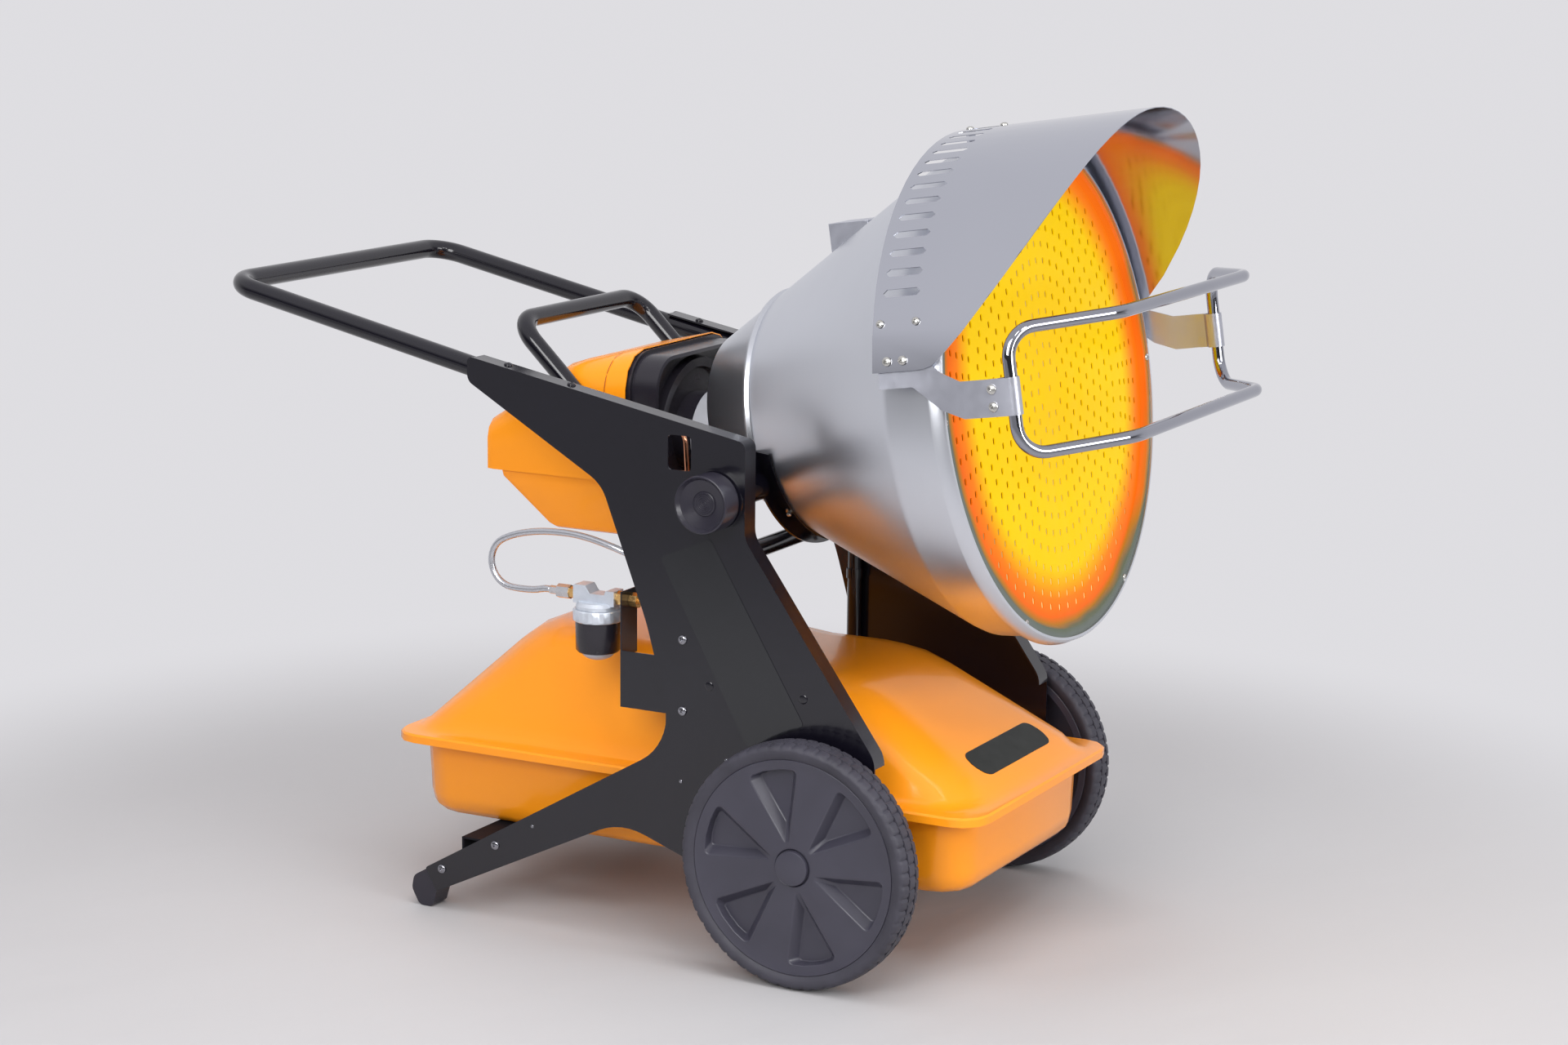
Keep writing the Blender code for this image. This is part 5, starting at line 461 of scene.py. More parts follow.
# Each look: its name, colour, roughness and metallic share, then what differs from finish
FINISHES = (
    ("black_paint", ("black_gloss", (0.0050, 0.0044, 0.0085), 0.16),
     dict(mottle=0.10, wander=0.03, grain=0.00002, grain_scale=520.0, coat=0.3)),
    ("orange_paint", ("orange_gloss", (0.97, 0.318, 0.010), 0.24),
     dict(mottle=0.012, wander=0.004, grain=0.000002, grain_scale=380.0, coat=0.25,
          specular=0.30)),
    ("satin_steel", ("satin_turned", (0.71, 0.73, 0.78), 0.35, 1.0),
     dict(mottle=0.03, mottle_scale=5.0, wander=0.012, grain=0.000004, grain_scale=620.0,
          stretch=TURNED)),
    ("hood_steel", ("hood_polished", (0.57, 0.585, 0.645), 0.12, 1.0),
     dict(mottle=0.015, mottle_scale=4.0, wander=0.008, grain=0.000002, grain_scale=700.0,
          stretch=ROLLED)),
    ("chrome", ("chrome_bright", (0.37, 0.38, 0.43), 0.05, 1.0),
     dict(mottle=0.03, wander=0.02, grain=0.000008, grain_scale=260.0)),
    ("tyre_rubber", ("rubber_dull", (0.038, 0.036, 0.050), 0.58),
     dict(mottle=0.16, mottle_scale=24.0, grain=0.00012, grain_scale=900.0)),
    ("wheel_plastic", ("plastic_moulded", (0.044, 0.042, 0.060), 0.35),
     dict(mottle=0.08, mottle_scale=18.0, grain=0.00003, grain_scale=1100.0)),
    ("knob_plastic", ("plastic_black", (0.020, 0.018, 0.028), 0.20),
     dict(mottle=0.10, grain=0.00016, grain_scale=1300.0)),
    ("burner_black", ("housing_black", (0.017, 0.015, 0.021), 0.24),
     dict(mottle=0.10, grain=0.00008, grain_scale=700.0)),
    ("bracket_steel", ("bracket_satin", (0.46, 0.47, 0.53), 0.36, 0.75),
     dict(mottle=0.05, mottle_scale=14.0, wander=0.05, grain=0.00002)),
    ("black_matte", ("black_matte", (0.0060, 0.0055, 0.0085), 0.75),
     dict(mottle=0.10, grain=0.00004, specular=0.20)),
    ("ferrule", ("ferrule_steel", (0.66, 0.66, 0.68), 0.24, 1.0),
     dict(mottle=0.10, mottle_scale=90.0, grain=0.00003)),
    ("cast_pale", ("flange_steel", (0.62, 0.63, 0.68), 0.46, 0.55), dict(mottle_scale=40.0)),
    ("screw_dark", ("screw_dark", (0.30, 0.30, 0.33), 0.14, 1.0),
     dict(mottle=0.10, mottle_scale=200.0, wander=0.05, grain=0.00002)),
    ("film", ("film_dark", (0.0090, 0.0095, 0.0120), 0.10),
     dict(wander=0.02, grain=0.00001, coat=0.3)),
    ("die_cast", ("cast_metal", (0.66, 0.70, 0.77), 0.42, 0.65),
     dict(mottle=0.07, mottle_scale=60.0, wander=0.08, grain=0.00016, grain_scale=520.0)),
    ("brass", ("brass_turned", (0.74, 0.46, 0.18), 0.24, 1.0),
     dict(mottle=0.08, mottle_scale=70.0, grain=0.00003)),
    ("copper", ("copper_drawn", (0.74, 0.34, 0.20), 0.22, 1.0),
     dict(mottle=0.14, mottle_scale=50.0, grain=0.00003)),
    ("steel_braid", ("braid", (0.60, 0.61, 0.65), 0.28, 0.9),
     dict(mottle=0.12, mottle_scale=900.0, grain=0.00004, grain_scale=1600.0)),
    ("clear_bowl", ("bowl_pale", (0.60, 0.60, 0.66), 0.14),
     dict(mottle=0.05, mottle_scale=50.0, grain=0.00003)),
    ("zinc", ("zinc_screws", (0.62, 0.61, 0.58), 0.26, 1.0),
     dict(mottle=0.10, mottle_scale=200.0, wander=0.08, grain=0.00003)),
    ("label", ("label_dark", (0.0100, 0.0120, 0.0100), 0.40), dict(grain=0.000005, specular=0.20)),
    ("seam_shade", ("seam_shade", (0.42, 0.10, 0.006), 0.5), {}),
)

# The heated disc, and the fire behind its slots with painted highlights in them
DISC_STOPS = (
    (0.00, (1.000, 0.585, 0.000)),
    (0.55, (1.000, 0.640, 0.000)),
    (0.74, (1.000, 0.630, 0.000)),
    (0.80, (1.000, 0.430, 0.002)),
    (0.86, (1.000, 0.225, 0.006)),
    (0.93, (0.930, 0.150, 0.006)),
    (0.958, (0.480, 0.190, 0.020)),
    (0.976, (0.130, 0.150, 0.100)),
    (1.00, (0.150, 0.170, 0.155)),
)
DISC_STEEL = (1.0, 0.5, 0.0)
DISC_ROUGHNESS = 0.30
DISC_SHADE = (0.36, 0.36, 0.36)
DISC_SPECULAR = 0.05
DISC_LEAN = (-0.11, 0.0, -0.085)
DISC_GLOW = 0.63
HEAT_NOISE = (5.0, 2.0)
HEAT_WANDER = 0.022
RIPPLE_NOISE = (14.0, 2.0, (1.0, 1.0, 0.35))
RIPPLE_DEPTH = 0.0035
RIPPLE_STRENGTH = 0.6
FIRE_GLOW = 1.0
FIRE_SOOT = (0.02, 0.005, 0.001)
FIRE_ROUGHNESS = 0.8
FIRE_DIM = (0.26, 0.050, 0.002)
# Painted highlights in the slots: their colour, the band low down where they brighten, and the middle
# band
SLOT_PAINTED_HIGHLIGHT = (1.0, 0.86, 0.36)
SLOT_HIGHLIGHT_LOW = (0.35, 0.90)
SLOT_HIGHLIGHT_MIDDLE = (0.20, 0.06)
SLOT_HIGHLIGHT_MIDDLE_SHARE = 0.45


def feed(tree, node, inputs):
    """Sets a node's inputs: each is a value, or the socket that feeds it."""
    for key, given in inputs.items():
        if isinstance(given, bpy.types.NodeSocket):
            tree.links.new(given, node.inputs[key])
        else:
            node.inputs[key].default_value = given


def shader_node(tree, kind, inputs, result, **settings):
    """A new node's result, from its inputs and settings."""
    made = tree.nodes.new(f"ShaderNode{kind}")
    for name, value in settings.items():
        setattr(made, name, value)
    feed(tree, made, inputs)
    return made.outputs[result]


def calculated(tree, operation, *inputs):
    """A Math node on numbers or sockets."""
    return shader_node(tree, "Math", dict(enumerate(inputs)), "Value", operation=operation)


def vector_result(tree, operation, result, *inputs):
    """A Vector Math node on vectors or sockets."""
    return shader_node(tree, "VectorMath", dict(enumerate(inputs)), result, operation=operation)


def mapped_range(tree, factor, start, end, **settings):
    """A factor as zero at start and one at end."""
    inputs = {"Value": factor, "From Min": start, "From Max": end}
    return shader_node(tree, "MapRange", inputs, "Result", **settings)


def object_place(tree):
    return shader_node(tree, "TexCoord", {}, "Object")


def node_setup(name, color, roughness, metallic):
    made = bpy.data.materials.new(name)
    made.use_nodes = True
    made.diffuse_color = (*color, 1.0)
    shader = made.node_tree.nodes["Principled BSDF"]
    feed(made.node_tree, shader,
         {"Base Color": (*color, 1.0), "Roughness": roughness, "Metallic": metallic})
    return made, made.node_tree, shader


def noise(tree, where, scale, detail=3.0, stretch=(1.0, 1.0, 1.0), rotation=(0.0, 0.0, 0.0)):
    """Noise in object space, stretched along chosen axes."""
    turned = shader_node(tree, "Mapping", {"Vector": where, "Rotation": rotation}, "Vector")
    squeezed = shader_node(tree, "Mapping", {"Vector": turned, "Scale": stretch}, "Vector")
    inputs = {"Vector": squeezed, "Scale": scale, "Detail": detail}
    return shader_node(tree, "TexNoise", inputs, "Fac")


def spread(tree, factor, low, high):
    """Maps the middle of a noise to a range of values."""
    start, end = NOISE_MIDDLE
    inputs = {"Value": factor, "From Min": start, "From Max": end, "To Min": low, "To Max": high}
    return shader_node(tree, "MapRange", inputs, "Result")


def blend_colors(tree, factor, low, high, mode="MIX"):
    """A mix of two colours, each a value or a socket."""
    low, high = (c if isinstance(c, bpy.types.NodeSocket) else (*c, 1.0) for c in (low, high))
    return shader_node(tree, "Mix", {"Factor": factor, "A": low, "B": high}, "Result",
                       data_type="RGBA", blend_type=mode)


def add_bump(tree, shader, height, distance, strength=1.0):
    inputs = {"Height": height, "Distance": distance, "Strength": strength}
    feed(tree, shader, {"Normal": shader_node(tree, "Bump", inputs, "Normal")})


def finish(name, color, roughness, metallic=0.0, mottle=0.06, mottle_scale=9.0, wander=0.04,
           grain=0.00005, grain_scale=420.0, coat=0.0, specular=None, stretch=None):
    """A surface with slow colour and gloss changes and a fine relief of its own."""
    made, tree, shader = node_setup(name, color, roughness, metallic)
    where = object_place(tree)
    slow = spread(tree, noise(tree, where, mottle_scale), 0.0, 1.0)
    dark = tuple(c * (1.0 - mottle) for c in color)
    light = tuple(min(1.0, c * (1.0 + mottle)) for c in color)
    lean = (TILT, 0.0, 0.0) if stretch else (0.0, 0.0, 0.0)
    fine = noise(tree, where, grain_scale, GRAIN_DETAIL, stretch or (1.0, 1.0, 1.0), lean)
    gloss = fine if stretch else noise(tree, where, mottle_scale * GLOSS_FINER)
    feed(tree, shader, {
        "Base Color": blend_colors(tree, slow, dark, light),
        "Roughness": spread(tree, gloss, max(SMOOTHEST, roughness - wander), roughness + wander)})
    add_bump(tree, shader, fine, grain)
    if coat:
        feed(tree, shader, {"Coat Weight": coat, "Coat Roughness": COAT_ROUGHNESS})
    if specular is not None:
        feed(tree, shader, {"Specular IOR Level": specular})
    return made


def disc_finish():
    """Heated steel: yellow in the middle, orange towards the rim, tempered grey at the edge."""
    made, tree, shader = node_setup("disc_heated", DISC_STEEL, DISC_ROUGHNESS, 0.0)
    where = object_place(tree)
    centre = (0.0, ORIGIN_Y - DRUM_Y, -DRUM_Z)
    shifted = shader_node(tree, "Mapping", {"Vector": where, "Location": centre}, "Vector")
    on_disc = shader_node(tree, "Mapping", {"Vector": shifted, "Rotation": (TILT, 0.0, 0.0)}, "Vector")
    flat = vector_result(tree, "MULTIPLY", "Vector", on_disc, (1.0, 0.0, 1.0))
    share = calculated(tree, "DIVIDE", vector_result(tree, "LENGTH", "Value", flat),
                       drum_rim_radius())
    heat = spread(tree, noise(tree, where, *HEAT_NOISE), -HEAT_WANDER, HEAT_WANDER)
    lean = vector_result(tree, "DOT_PRODUCT", "Value", on_disc, DISC_LEAN)
    uneven = calculated(tree, "ADD", share, calculated(tree, "ADD", lean, heat))
    ramp = tree.nodes.new("ShaderNodeValToRGB")
    stops = ramp.color_ramp.elements
    stops[1].position = DISC_STOPS[-1][0]
    for place, _ in DISC_STOPS[1:-1]:
        stops.new(place)
    for stop, (_, color) in zip(stops, DISC_STOPS):
        stop.color = (*color, 1.0)
    feed(tree, ramp, {"Fac": uneven})
    heated = ramp.outputs["Color"]
    feed(tree, shader, {
        "Base Color": blend_colors(tree, 1.0, heated, DISC_SHADE, "MULTIPLY"),
        "Emission Color": heated, "Emission Strength": DISC_GLOW,
        "Specular IOR Level": DISC_SPECULAR})
    add_bump(tree, shader, noise(tree, where, *RIPPLE_NOISE), RIPPLE_DEPTH, RIPPLE_STRENGTH)
    return made


def behind_disc():
    """Fire behind the slots: a brown glow, with painted highlights low down and in the middle."""
    made, tree, shader = node_setup("disc_fire", FIRE_SOOT, FIRE_ROUGHNESS, 0.0)
    split = tree.nodes.new("ShaderNodeSeparateXYZ")
    feed(tree, split, {"Vector": object_place(tree)})
    # Painted highlight: brighter low down and in a band down the middle, mixed into the brown glow
    start, end = (DRUM_Z - DRUM_RADIUS * share for share in SLOT_HIGHLIGHT_LOW)
    low = mapped_range(tree, split.outputs["Z"], start, end)
    start, end = (DRUM_RADIUS * share for share in SLOT_HIGHLIGHT_MIDDLE)
    near = mapped_range(tree, calculated(tree, "ABSOLUTE", split.outputs["X"]), start, end)
    # bright is how much painted highlight each point gets
    bright = calculated(tree, "MAXIMUM", low, calculated(tree, "MULTIPLY", near, SLOT_HIGHLIGHT_MIDDLE_SHARE))
    feed(tree, shader, {
        "Specular IOR Level": 0.0, "Emission Strength": FIRE_GLOW,
        "Emission Color": blend_colors(tree, bright, FIRE_DIM, SLOT_PAINTED_HIGHLIGHT)})
    return made


def make_materials():
    looks = {slot: finish(*wanted, **more) for slot, wanted, more in FINISHES}
    looks["radiant_disc"] = disc_finish()
    looks["disc_fire"] = behind_disc()
    shell = looks["clear_bowl"].node_tree
    feed(shell, shell.nodes["Principled BSDF"], {"Transmission Weight": BOWL_CLEARNESS})
    return looks


# Mesh helpers

def linked(name, data):
    """A new object in the scene."""
    made = bpy.data.objects.new(name, data)
    bpy.context.scene.collection.objects.link(made)
    return made


def meshed(name, bm, keep_sharp=True):
    """A smooth-shaded mesh, which keeps its sharp edges where that is wanted."""
    mesh = bpy.data.meshes.new(name)
    bm.to_mesh(mesh)
    bm.free()
    mesh.shade_smooth()
    if keep_sharp:
        mesh.set_sharp_from_angle(angle=SHARP_ANGLE)
    return mesh


def empty(name, location, parent=None, rotation_x=0.0):
    made = linked(name, None)
    made.location = location
    made.rotation_euler = (rotation_x, 0.0, 0.0)
    made.parent = parent
    return made


def face_outwards(bm):
    """Turns all faces away from the middle, by where most of their area looks."""
    bmesh.ops.recalc_face_normals(bm, faces=bm.faces[:])
    middle = sum((v.co for v in bm.verts), Vector()) / len(bm.verts)
    if sum(f.calc_area() * f.normal.dot(f.calc_center_median() - middle) for f in bm.faces) < 0:
        bmesh.ops.reverse_faces(bm, faces=bm.faces[:])


def add_object(name, bm, material, parent, location=(0.0, 0.0, 0.0), rotation=(0.0, 0.0, 0.0)):
    """Turns a bmesh into a smooth-shaded object with its faces pointing out."""
    face_outwards(bm)
    made = linked(name, meshed(name, bm))
    made.data.materials.append(material)
    made.location = location
    made.rotation_euler = rotation
    made.parent = parent
    return made


def shifted(bm, x=0.0, y=0.0, z=0.0):
    bmesh.ops.translate(bm, vec=(x, y, z), verts=bm.verts[:])
    return bm


def mirrored(bm, wanted=True):
    """The same solid on the other side of the YZ plane, where that is wanted."""
    if wanted:
        bmesh.ops.scale(bm, vec=(-1.0, 1.0, 1.0), verts=bm.verts[:])
        bmesh.ops.reverse_faces(bm, faces=bm.faces[:])
    return bm


def solidify(obj, thickness):
    """Gives an open sheet its gauge, inwards."""
    shell = obj.modifiers.new("gauge", "SOLIDIFY")
    shell.thickness = thickness
    shell.offset = -1.0
    shell.use_even_offset = True
    shell.use_quality_normals = True
    return obj


def boolean(target, operation, tool):
    """Joins or cuts with a helper, which stays hidden in wire."""
    step = target.modifiers.new(tool.name, "BOOLEAN")
    step.operation = operation
    step.solver = "EXACT"
    step.object = tool
    tool.hide_render = True
    tool.display_type = "WIRE"
    return target


def corner_arcs(corners, closed, arc_step=ARC_STEP):
    """Points of a path whose corners (point, radius) are rounded, grouped by corner."""
    count = len(corners)
    groups = []
    for i, (point, radius) in enumerate(corners):
        here = Vector(point)
        at_end = not closed and i in (0, count - 1)
        if at_end or radius <= 0.0:
            groups.append([here])
            continue
        before = Vector(corners[i - 1][0]) - here
        after = Vector(corners[(i + 1) % count][0]) - here
        angle = before.angle(after)
        turn = math.pi - angle
        if turn < SHARP_ANGLE / 40:
            groups.append([here])
            continue
        reach = radius / math.tan(angle / 2)
        reach = min(reach, before.length / 2, after.length / 2)
        bend = reach * math.tan(angle / 2)
        a = before.normalized()
        b = after.normalized()
        centre = here + (a + b).normalized() * (bend / math.sin(angle / 2))
        start = here + a * reach - centre
        end = here + b * reach - centre
        steps = max(2, math.ceil(turn / arc_step))
        groups.append([
            centre + (start * math.sin((1 - k / steps) * turn) + end * math.sin(k / steps * turn))
            / math.sin(turn)
            for k in range(steps + 1)
        ])
    return groups


def rounded(corners, closed=True, arc_step=ARC_STEP):
    return [p for group in corner_arcs(corners, closed, arc_step=arc_step) for p in group]


def loft(rings, cyclic=False, caps=True):
    """Joins rings of equally many points. A cyclic loft closes on its first ring."""
    bm = bmesh.new()
    rows = [[bm.verts.new(p) for p in ring] for ring in rings]
    size = len(rows[0])
    last = len(rows) if cyclic else len(rows) - 1
    for i in range(last):
        row, following = rows[i], rows[(i + 1) % len(rows)]
        for k in range(size):
            n = (k + 1) % size
            bm.faces.new((row[k], row[n], following[n], following[k]))
    if caps and not cyclic:
        bm.faces.new(rows[0])
        bm.faces.new(rows[-1])
    return bm


def turned_point(axis, along, radius, angle):
    a, b = radius * math.cos(angle), radius * math.sin(angle)
    return {"X": (along, a, b), "Y": (a, along, b), "Z": (a, b, along)}[axis]


def lathe(profile, axis="X", facets=SMALL_FACETS, start=0.0, end=2 * math.pi, ripple=None):
    """Turns a closed profile of (along, radius) points. A radius of zero becomes a pole."""
    bm = bmesh.new()
    full = end - start > 2 * math.pi - ARC_STEP / 100
    columns = facets if full else facets + 1
    rows = []
    for index, (along, radius) in enumerate(profile):
        if radius <= 0.0:
            rows.append([bm.verts.new(turned_point(axis, along, 0.0, 0.0))] * columns)
            continue
        row = []
        for k in range(columns):
            angle = start + (end - start) * k / facets
            shown = radius if ripple is None else radius - ripple(index, k)
            row.append(bm.verts.new(turned_point(axis, along, shown, angle)))
        rows.append(row)
    for i, row in enumerate(rows):
        following = rows[(i + 1) % len(rows)]
        for k in range(facets):
            n = (k + 1) % columns
            distinct = list(dict.fromkeys((row[k], row[n], following[n], following[k])))
            if len(distinct) > 2:
                bm.faces.new(distinct)
    if not full:
        for k in (0, columns - 1):
            bm.faces.new([row[k] for row in rows])
    return bm


def sweep(path, radius, wall=0.0, closed=False, sides=TUBE_SIDES):
    """A round bar along a path, or a tube with open ends where it has a wall."""
    points = [Vector(p) for p in path]
    count = len(points)
    tangents = []
    for i in range(count):
        before = points[i] - points[i - 1]
        after = points[(i + 1) % count] - points[i]
        if not closed and i == 0:
            before = after
        if not closed and i == count - 1:
            after = before
        tangents.append((before.normalized() + after.normalized()).normalized())
    normal = tangents[0].orthogonal().normalized()
    normals = [normal]
    for i in range(1, count):
        turn = tangents[i - 1].rotation_difference(tangents[i])
        normals.append(turn @ normals[-1])
    twist = 0.0
    if closed:
        turn = tangents[-1].rotation_difference(tangents[0])
        back = turn @ normals[-1]
        twist = math.atan2(tangents[0].dot(back.cross(normal)), back.dot(normal))
    rings = {}
    for share in ((radius,) if wall <= 0.0 else (radius, radius - wall)):
        rows = []
        for i in range(count):
            side = normals[i].copy()
            side.rotate(Matrix.Rotation(twist * i / count, 3, tangents[i]))
            other = tangents[i].cross(side)
            rows.append([
                points[i] + side * (share * math.cos(2 * math.pi * k / sides))
                + other * (share * math.sin(2 * math.pi * k / sides))
                for k in range(sides)
            ])
        rings[share] = rows
    if wall <= 0.0:
        return loft(rings[radius], cyclic=closed)
    return loft(rings[radius] + rings[radius - wall][::-1], cyclic=True)


def fill(bm, loops):
    """Triangulates the flat region inside the first loop of vertices and outside the others."""
    edges = []
    for loop in loops:
        for i, vert in enumerate(loop):
            pair = (vert, loop[(i + 1) % len(loop)])
            edges.append(bm.edges.get(pair) or bm.edges.new(pair))
    return bmesh.ops.triangle_fill(bm, use_beauty=True, use_dissolve=False, edges=edges)["geom"]


def walls(bm, low, high):
    count = len(low)
    for i in range(count):
        n = (i + 1) % count
        bm.faces.new((low[i], low[n], high[n], high[i]))


def block(outline, low, high, place, holes=()):
    """Extrudes a flat outline between two depths. place(a, b, depth) gives each point."""
    bm = bmesh.new()
    loops = [outline, *holes]
    rows = [[[bm.verts.new(place(p[0], p[1], depth)) for p in loop] for loop in loops]
            for depth in (low, high)]
    for a, b in zip(*rows):
        walls(bm, a, b)
    for row in rows:
        fill(bm, row)
    return bm


def circle(a, b, radius, facets=SMALL_FACETS, phase=0.0):
    return [(a + radius * math.cos(phase + 2 * math.pi * k / facets),
             b + radius * math.sin(phase + 2 * math.pi * k / facets)) for k in range(facets)]


def box_outline(a0, b0, a1, b1, corner=0.0):
    return rounded([((a0, b0), corner), ((a1, b0), corner), ((a1, b1), corner), ((a0, b1), corner)])


def in_yz(a, b, depth):
    return (depth, a, b)


def in_xz(a, b, depth):
    return (a, depth, b)


def in_xy(a, b, depth):
    return (a, b, depth)


def box(low, high):
    """A plain block between two corners, in X, Y and Z."""
    outline = box_outline(low[0], low[1], high[0], high[1])
    return block(outline, low[2], high[2], in_xy)


def joined_meshes(parts):
    """Separate shells put in one bmesh, for a helper of a Boolean union."""
    bm = bmesh.new()
    for part in parts:
        mesh = bpy.data.meshes.new("part")
        part.to_mesh(mesh)
        part.free()
        bm.from_mesh(mesh)
        bpy.data.meshes.remove(mesh)
    return bm


# Frame

def plate_groups():
    corners = [((y * PLATE_LENGTH, z * PLATE_HEIGHT), r * PLATE_LENGTH)
               for y, z, r in PLATE_OUTLINE_SHARES]
    return corner_arcs(corners, closed=True)


def offset_inwards(points, distance):
    """The open path moved towards the inside of a clockwise outline."""
    moved = []
    for i, point in enumerate(points):
        before = point - points[i - 1] if i else points[1] - point
        after = points[i + 1] - point if i + 1 < len(points) else before
        a, b = before.normalized(), after.normalized()
        normal = Vector((a.y + b.y, -a.x - b.x))
        normal.normalize()
        side = Vector((a.y, -a.x))
        moved.append(point - normal * (distance / max(normal.dot(side), 0.5)))
    return moved


def side_plate():
    """A sheet with its top and front edges folded inwards, a window, and the pivot and axle holes."""
    groups = plate_groups()
    rear_corner = groups[0]
    flanged = [p for group in groups[1:PLATE_FLANGE_CORNERS] for p in group]
    flanged.insert(0, rear_corner[-1])
    plain = [p for group in groups[PLATE_FLANGE_CORNERS:] for p in group] + rear_corner[:-1]
    inner_path = offset_inwards(flanged, PLATE_GAUGE)
    holes = [
        circle(PIVOT_Y, PIVOT_Z, STUD_RADIUS + RUN_GAP),
        circle(0.0, WHEEL_RADIUS, AXLE_RADIUS + GAP),
        box_outline(WINDOW_Y - WINDOW_WIDTH / 2, WINDOW_Z - WINDOW_HEIGHT / 2,
                    WINDOW_Y + WINDOW_WIDTH / 2, WINDOW_Z + WINDOW_HEIGHT / 2, WINDOW_CORNER),
    ]
    bm = bmesh.new()

    def row(points, x):
        return [bm.verts.new((x, p[0], p[1])) for p in points]

    tip_x = -(PLATE_OUTER_X - PLATE_FLANGE)
    outer = row(flanged, -PLATE_OUTER_X)
    outer_plain = row(plain, -PLATE_OUTER_X)
    inner_plain = row(plain, -PLATE_INNER_X)
    fold = row(inner_path, -PLATE_INNER_X)
    tip = row(flanged, tip_x)
    tip_fold = row(inner_path, tip_x)
    first = bm.verts.new((-PLATE_INNER_X, *flanged[0]))
    last = bm.verts.new((-PLATE_INNER_X, *flanged[-1]))
    count = len(flanged)
    for i in range(count - 1):
        outside = [outer[i], outer[i + 1], tip[i + 1], tip[i]]
        if i == 0:
            outside.append(first)
        if i == count - 2:
            outside.insert(2, last)
        bm.faces.new(outside)
        bm.faces.new((fold[i], fold[i + 1], tip_fold[i + 1], tip_fold[i]))
        bm.faces.new((tip[i], tip[i + 1], tip_fold[i + 1], tip_fold[i]))
    bm.faces.new((first, fold[0], tip_fold[0], tip[0]))
    bm.faces.new((last, fold[-1], tip_fold[-1], tip[-1]))
    ring_out = [outer[-1], *outer_plain, outer[0]]
    ring_in = [last, *inner_plain, first]
    for i in range(len(ring_out) - 1):
        bm.faces.new((ring_out[i], ring_out[i + 1], ring_in[i + 1], ring_in[i]))
    hole_out = [row(hole, -PLATE_OUTER_X) for hole in holes]
    hole_in = [row(hole, -PLATE_INNER_X) for hole in holes]
    for a, b in zip(hole_out, hole_in):
        walls(bm, a, b)
    fill(bm, [outer + outer_plain, *hole_out])
    fill(bm, [[first, *fold, last, *inner_plain], *hole_in])
    return bm


def top_edge_z(y):
    """Height of the plates' straight top edge."""
    (ya, za, _), (yb, zb, _) = PLATE_OUTLINE_SHARES[:2]
    slope = (za - zb) * PLATE_HEIGHT / ((ya - yb) * PLATE_LENGTH)
    return za * PLATE_HEIGHT + slope * (y - ya * PLATE_LENGTH)


def bent_handle(x, front, rear, bend, radius, wall):
    """A U-shaped tube: front and rear are the (y, z) of its ends and of its cross bar."""
    corners = [((-x, *front), 0.0), ((-x, *rear), bend), ((x, *rear), bend), ((x, *front), 0.0)]
    path = rounded(corners, closed=False, arc_step=ARC_STEP * 0.75)
    return sweep(path, radius, wall)


def push_handle():
    """Its arms lie against the plates, under the folded top edge."""
    seat_y = PLATE_OUTLINE_SHARES[0][0] * PLATE_LENGTH - PLATE_FLANGE / 2
    seat_z = (top_edge_z(seat_y) - PLATE_GAUGE - GAP
              - HANDLE_RADIUS / math.cos(HANDLE_SLOPE) - GAP)
    front, rear = ((y, seat_z + (y - seat_y) * math.tan(HANDLE_SLOPE))
                   for y in (HANDLE_FRONT_Y, HANDLE_REACH_Y))
    return bent_handle(PLATE_INNER_X - GAP - HANDLE_RADIUS, front, rear, HANDLE_BEND,
                       HANDLE_RADIUS, HANDLE_WALL)


def cross_stay():
    reach = PLATE_INNER_X - GAP
    return sweep([(-reach, STAY_Y, STAY_Z), (reach, STAY_Y, STAY_Z)], STAY_RADIUS, HANDLE_WALL)


def cross_member(y, depth):
    """A channel, open below, between the plates under the tank."""
    top = TANK_BOTTOM_Z - GAP
    low = top - MEMBER_HEIGHT
    a, b = y - depth / 2, y + depth / 2
    gauge = MEMBER_GAUGE
    outline = [(a, low), (a + gauge, low), (a + gauge, top - gauge), (b - gauge, top - gauge),
               (b - gauge, low), (b, low), (b, top), (a, top)]
    return block(outline, -PLATE_INNER_X + GAP, PLATE_INNER_X - GAP, in_yz)


def foot():
    """A rubber end cap inside the plate's leg, with a flat on the floor."""
    back_low, low, high, back_high = (Vector((y * PLATE_LENGTH, z * PLATE_HEIGHT))
                                      for y, z, _ in PLATE_OUTLINE_SHARES[FOOT_CORNERS])
    along_low = (back_low - low).normalized()
    along_high = (back_high - high).normalized()
    across = Vector((-along_high.y, along_high.x))
    if across.y > 0:
        across = -across
    tip = high - along_high * FOOT_REACH
    flat_start = low.x + FOOT_FLAT_START
    corners = [
        (high + along_high * FOOT_TONGUE + across * FOOT_INSET, 0.0),
        (tip + across * FOOT_INSET, FOOT_INSET * 6),
        ((tip.x + FOOT_INSET, (tip.y + FOOT_INSET) / 2), FOOT_INSET * 6),
        ((flat_start + FOOT_FLAT_LENGTH, 0.0), FOOT_INSET * 5),
        ((flat_start, 0.0), FOOT_INSET * 3),
        (low - across * FOOT_INSET, FOOT_INSET),
        (low + along_low * FOOT_TONGUE - across * FOOT_INSET, 0.0),
    ]
    inner = -(PLATE_INNER_X - GAP)
    return block(rounded(corners), inner, inner + FOOT_WIDTH, in_yz)


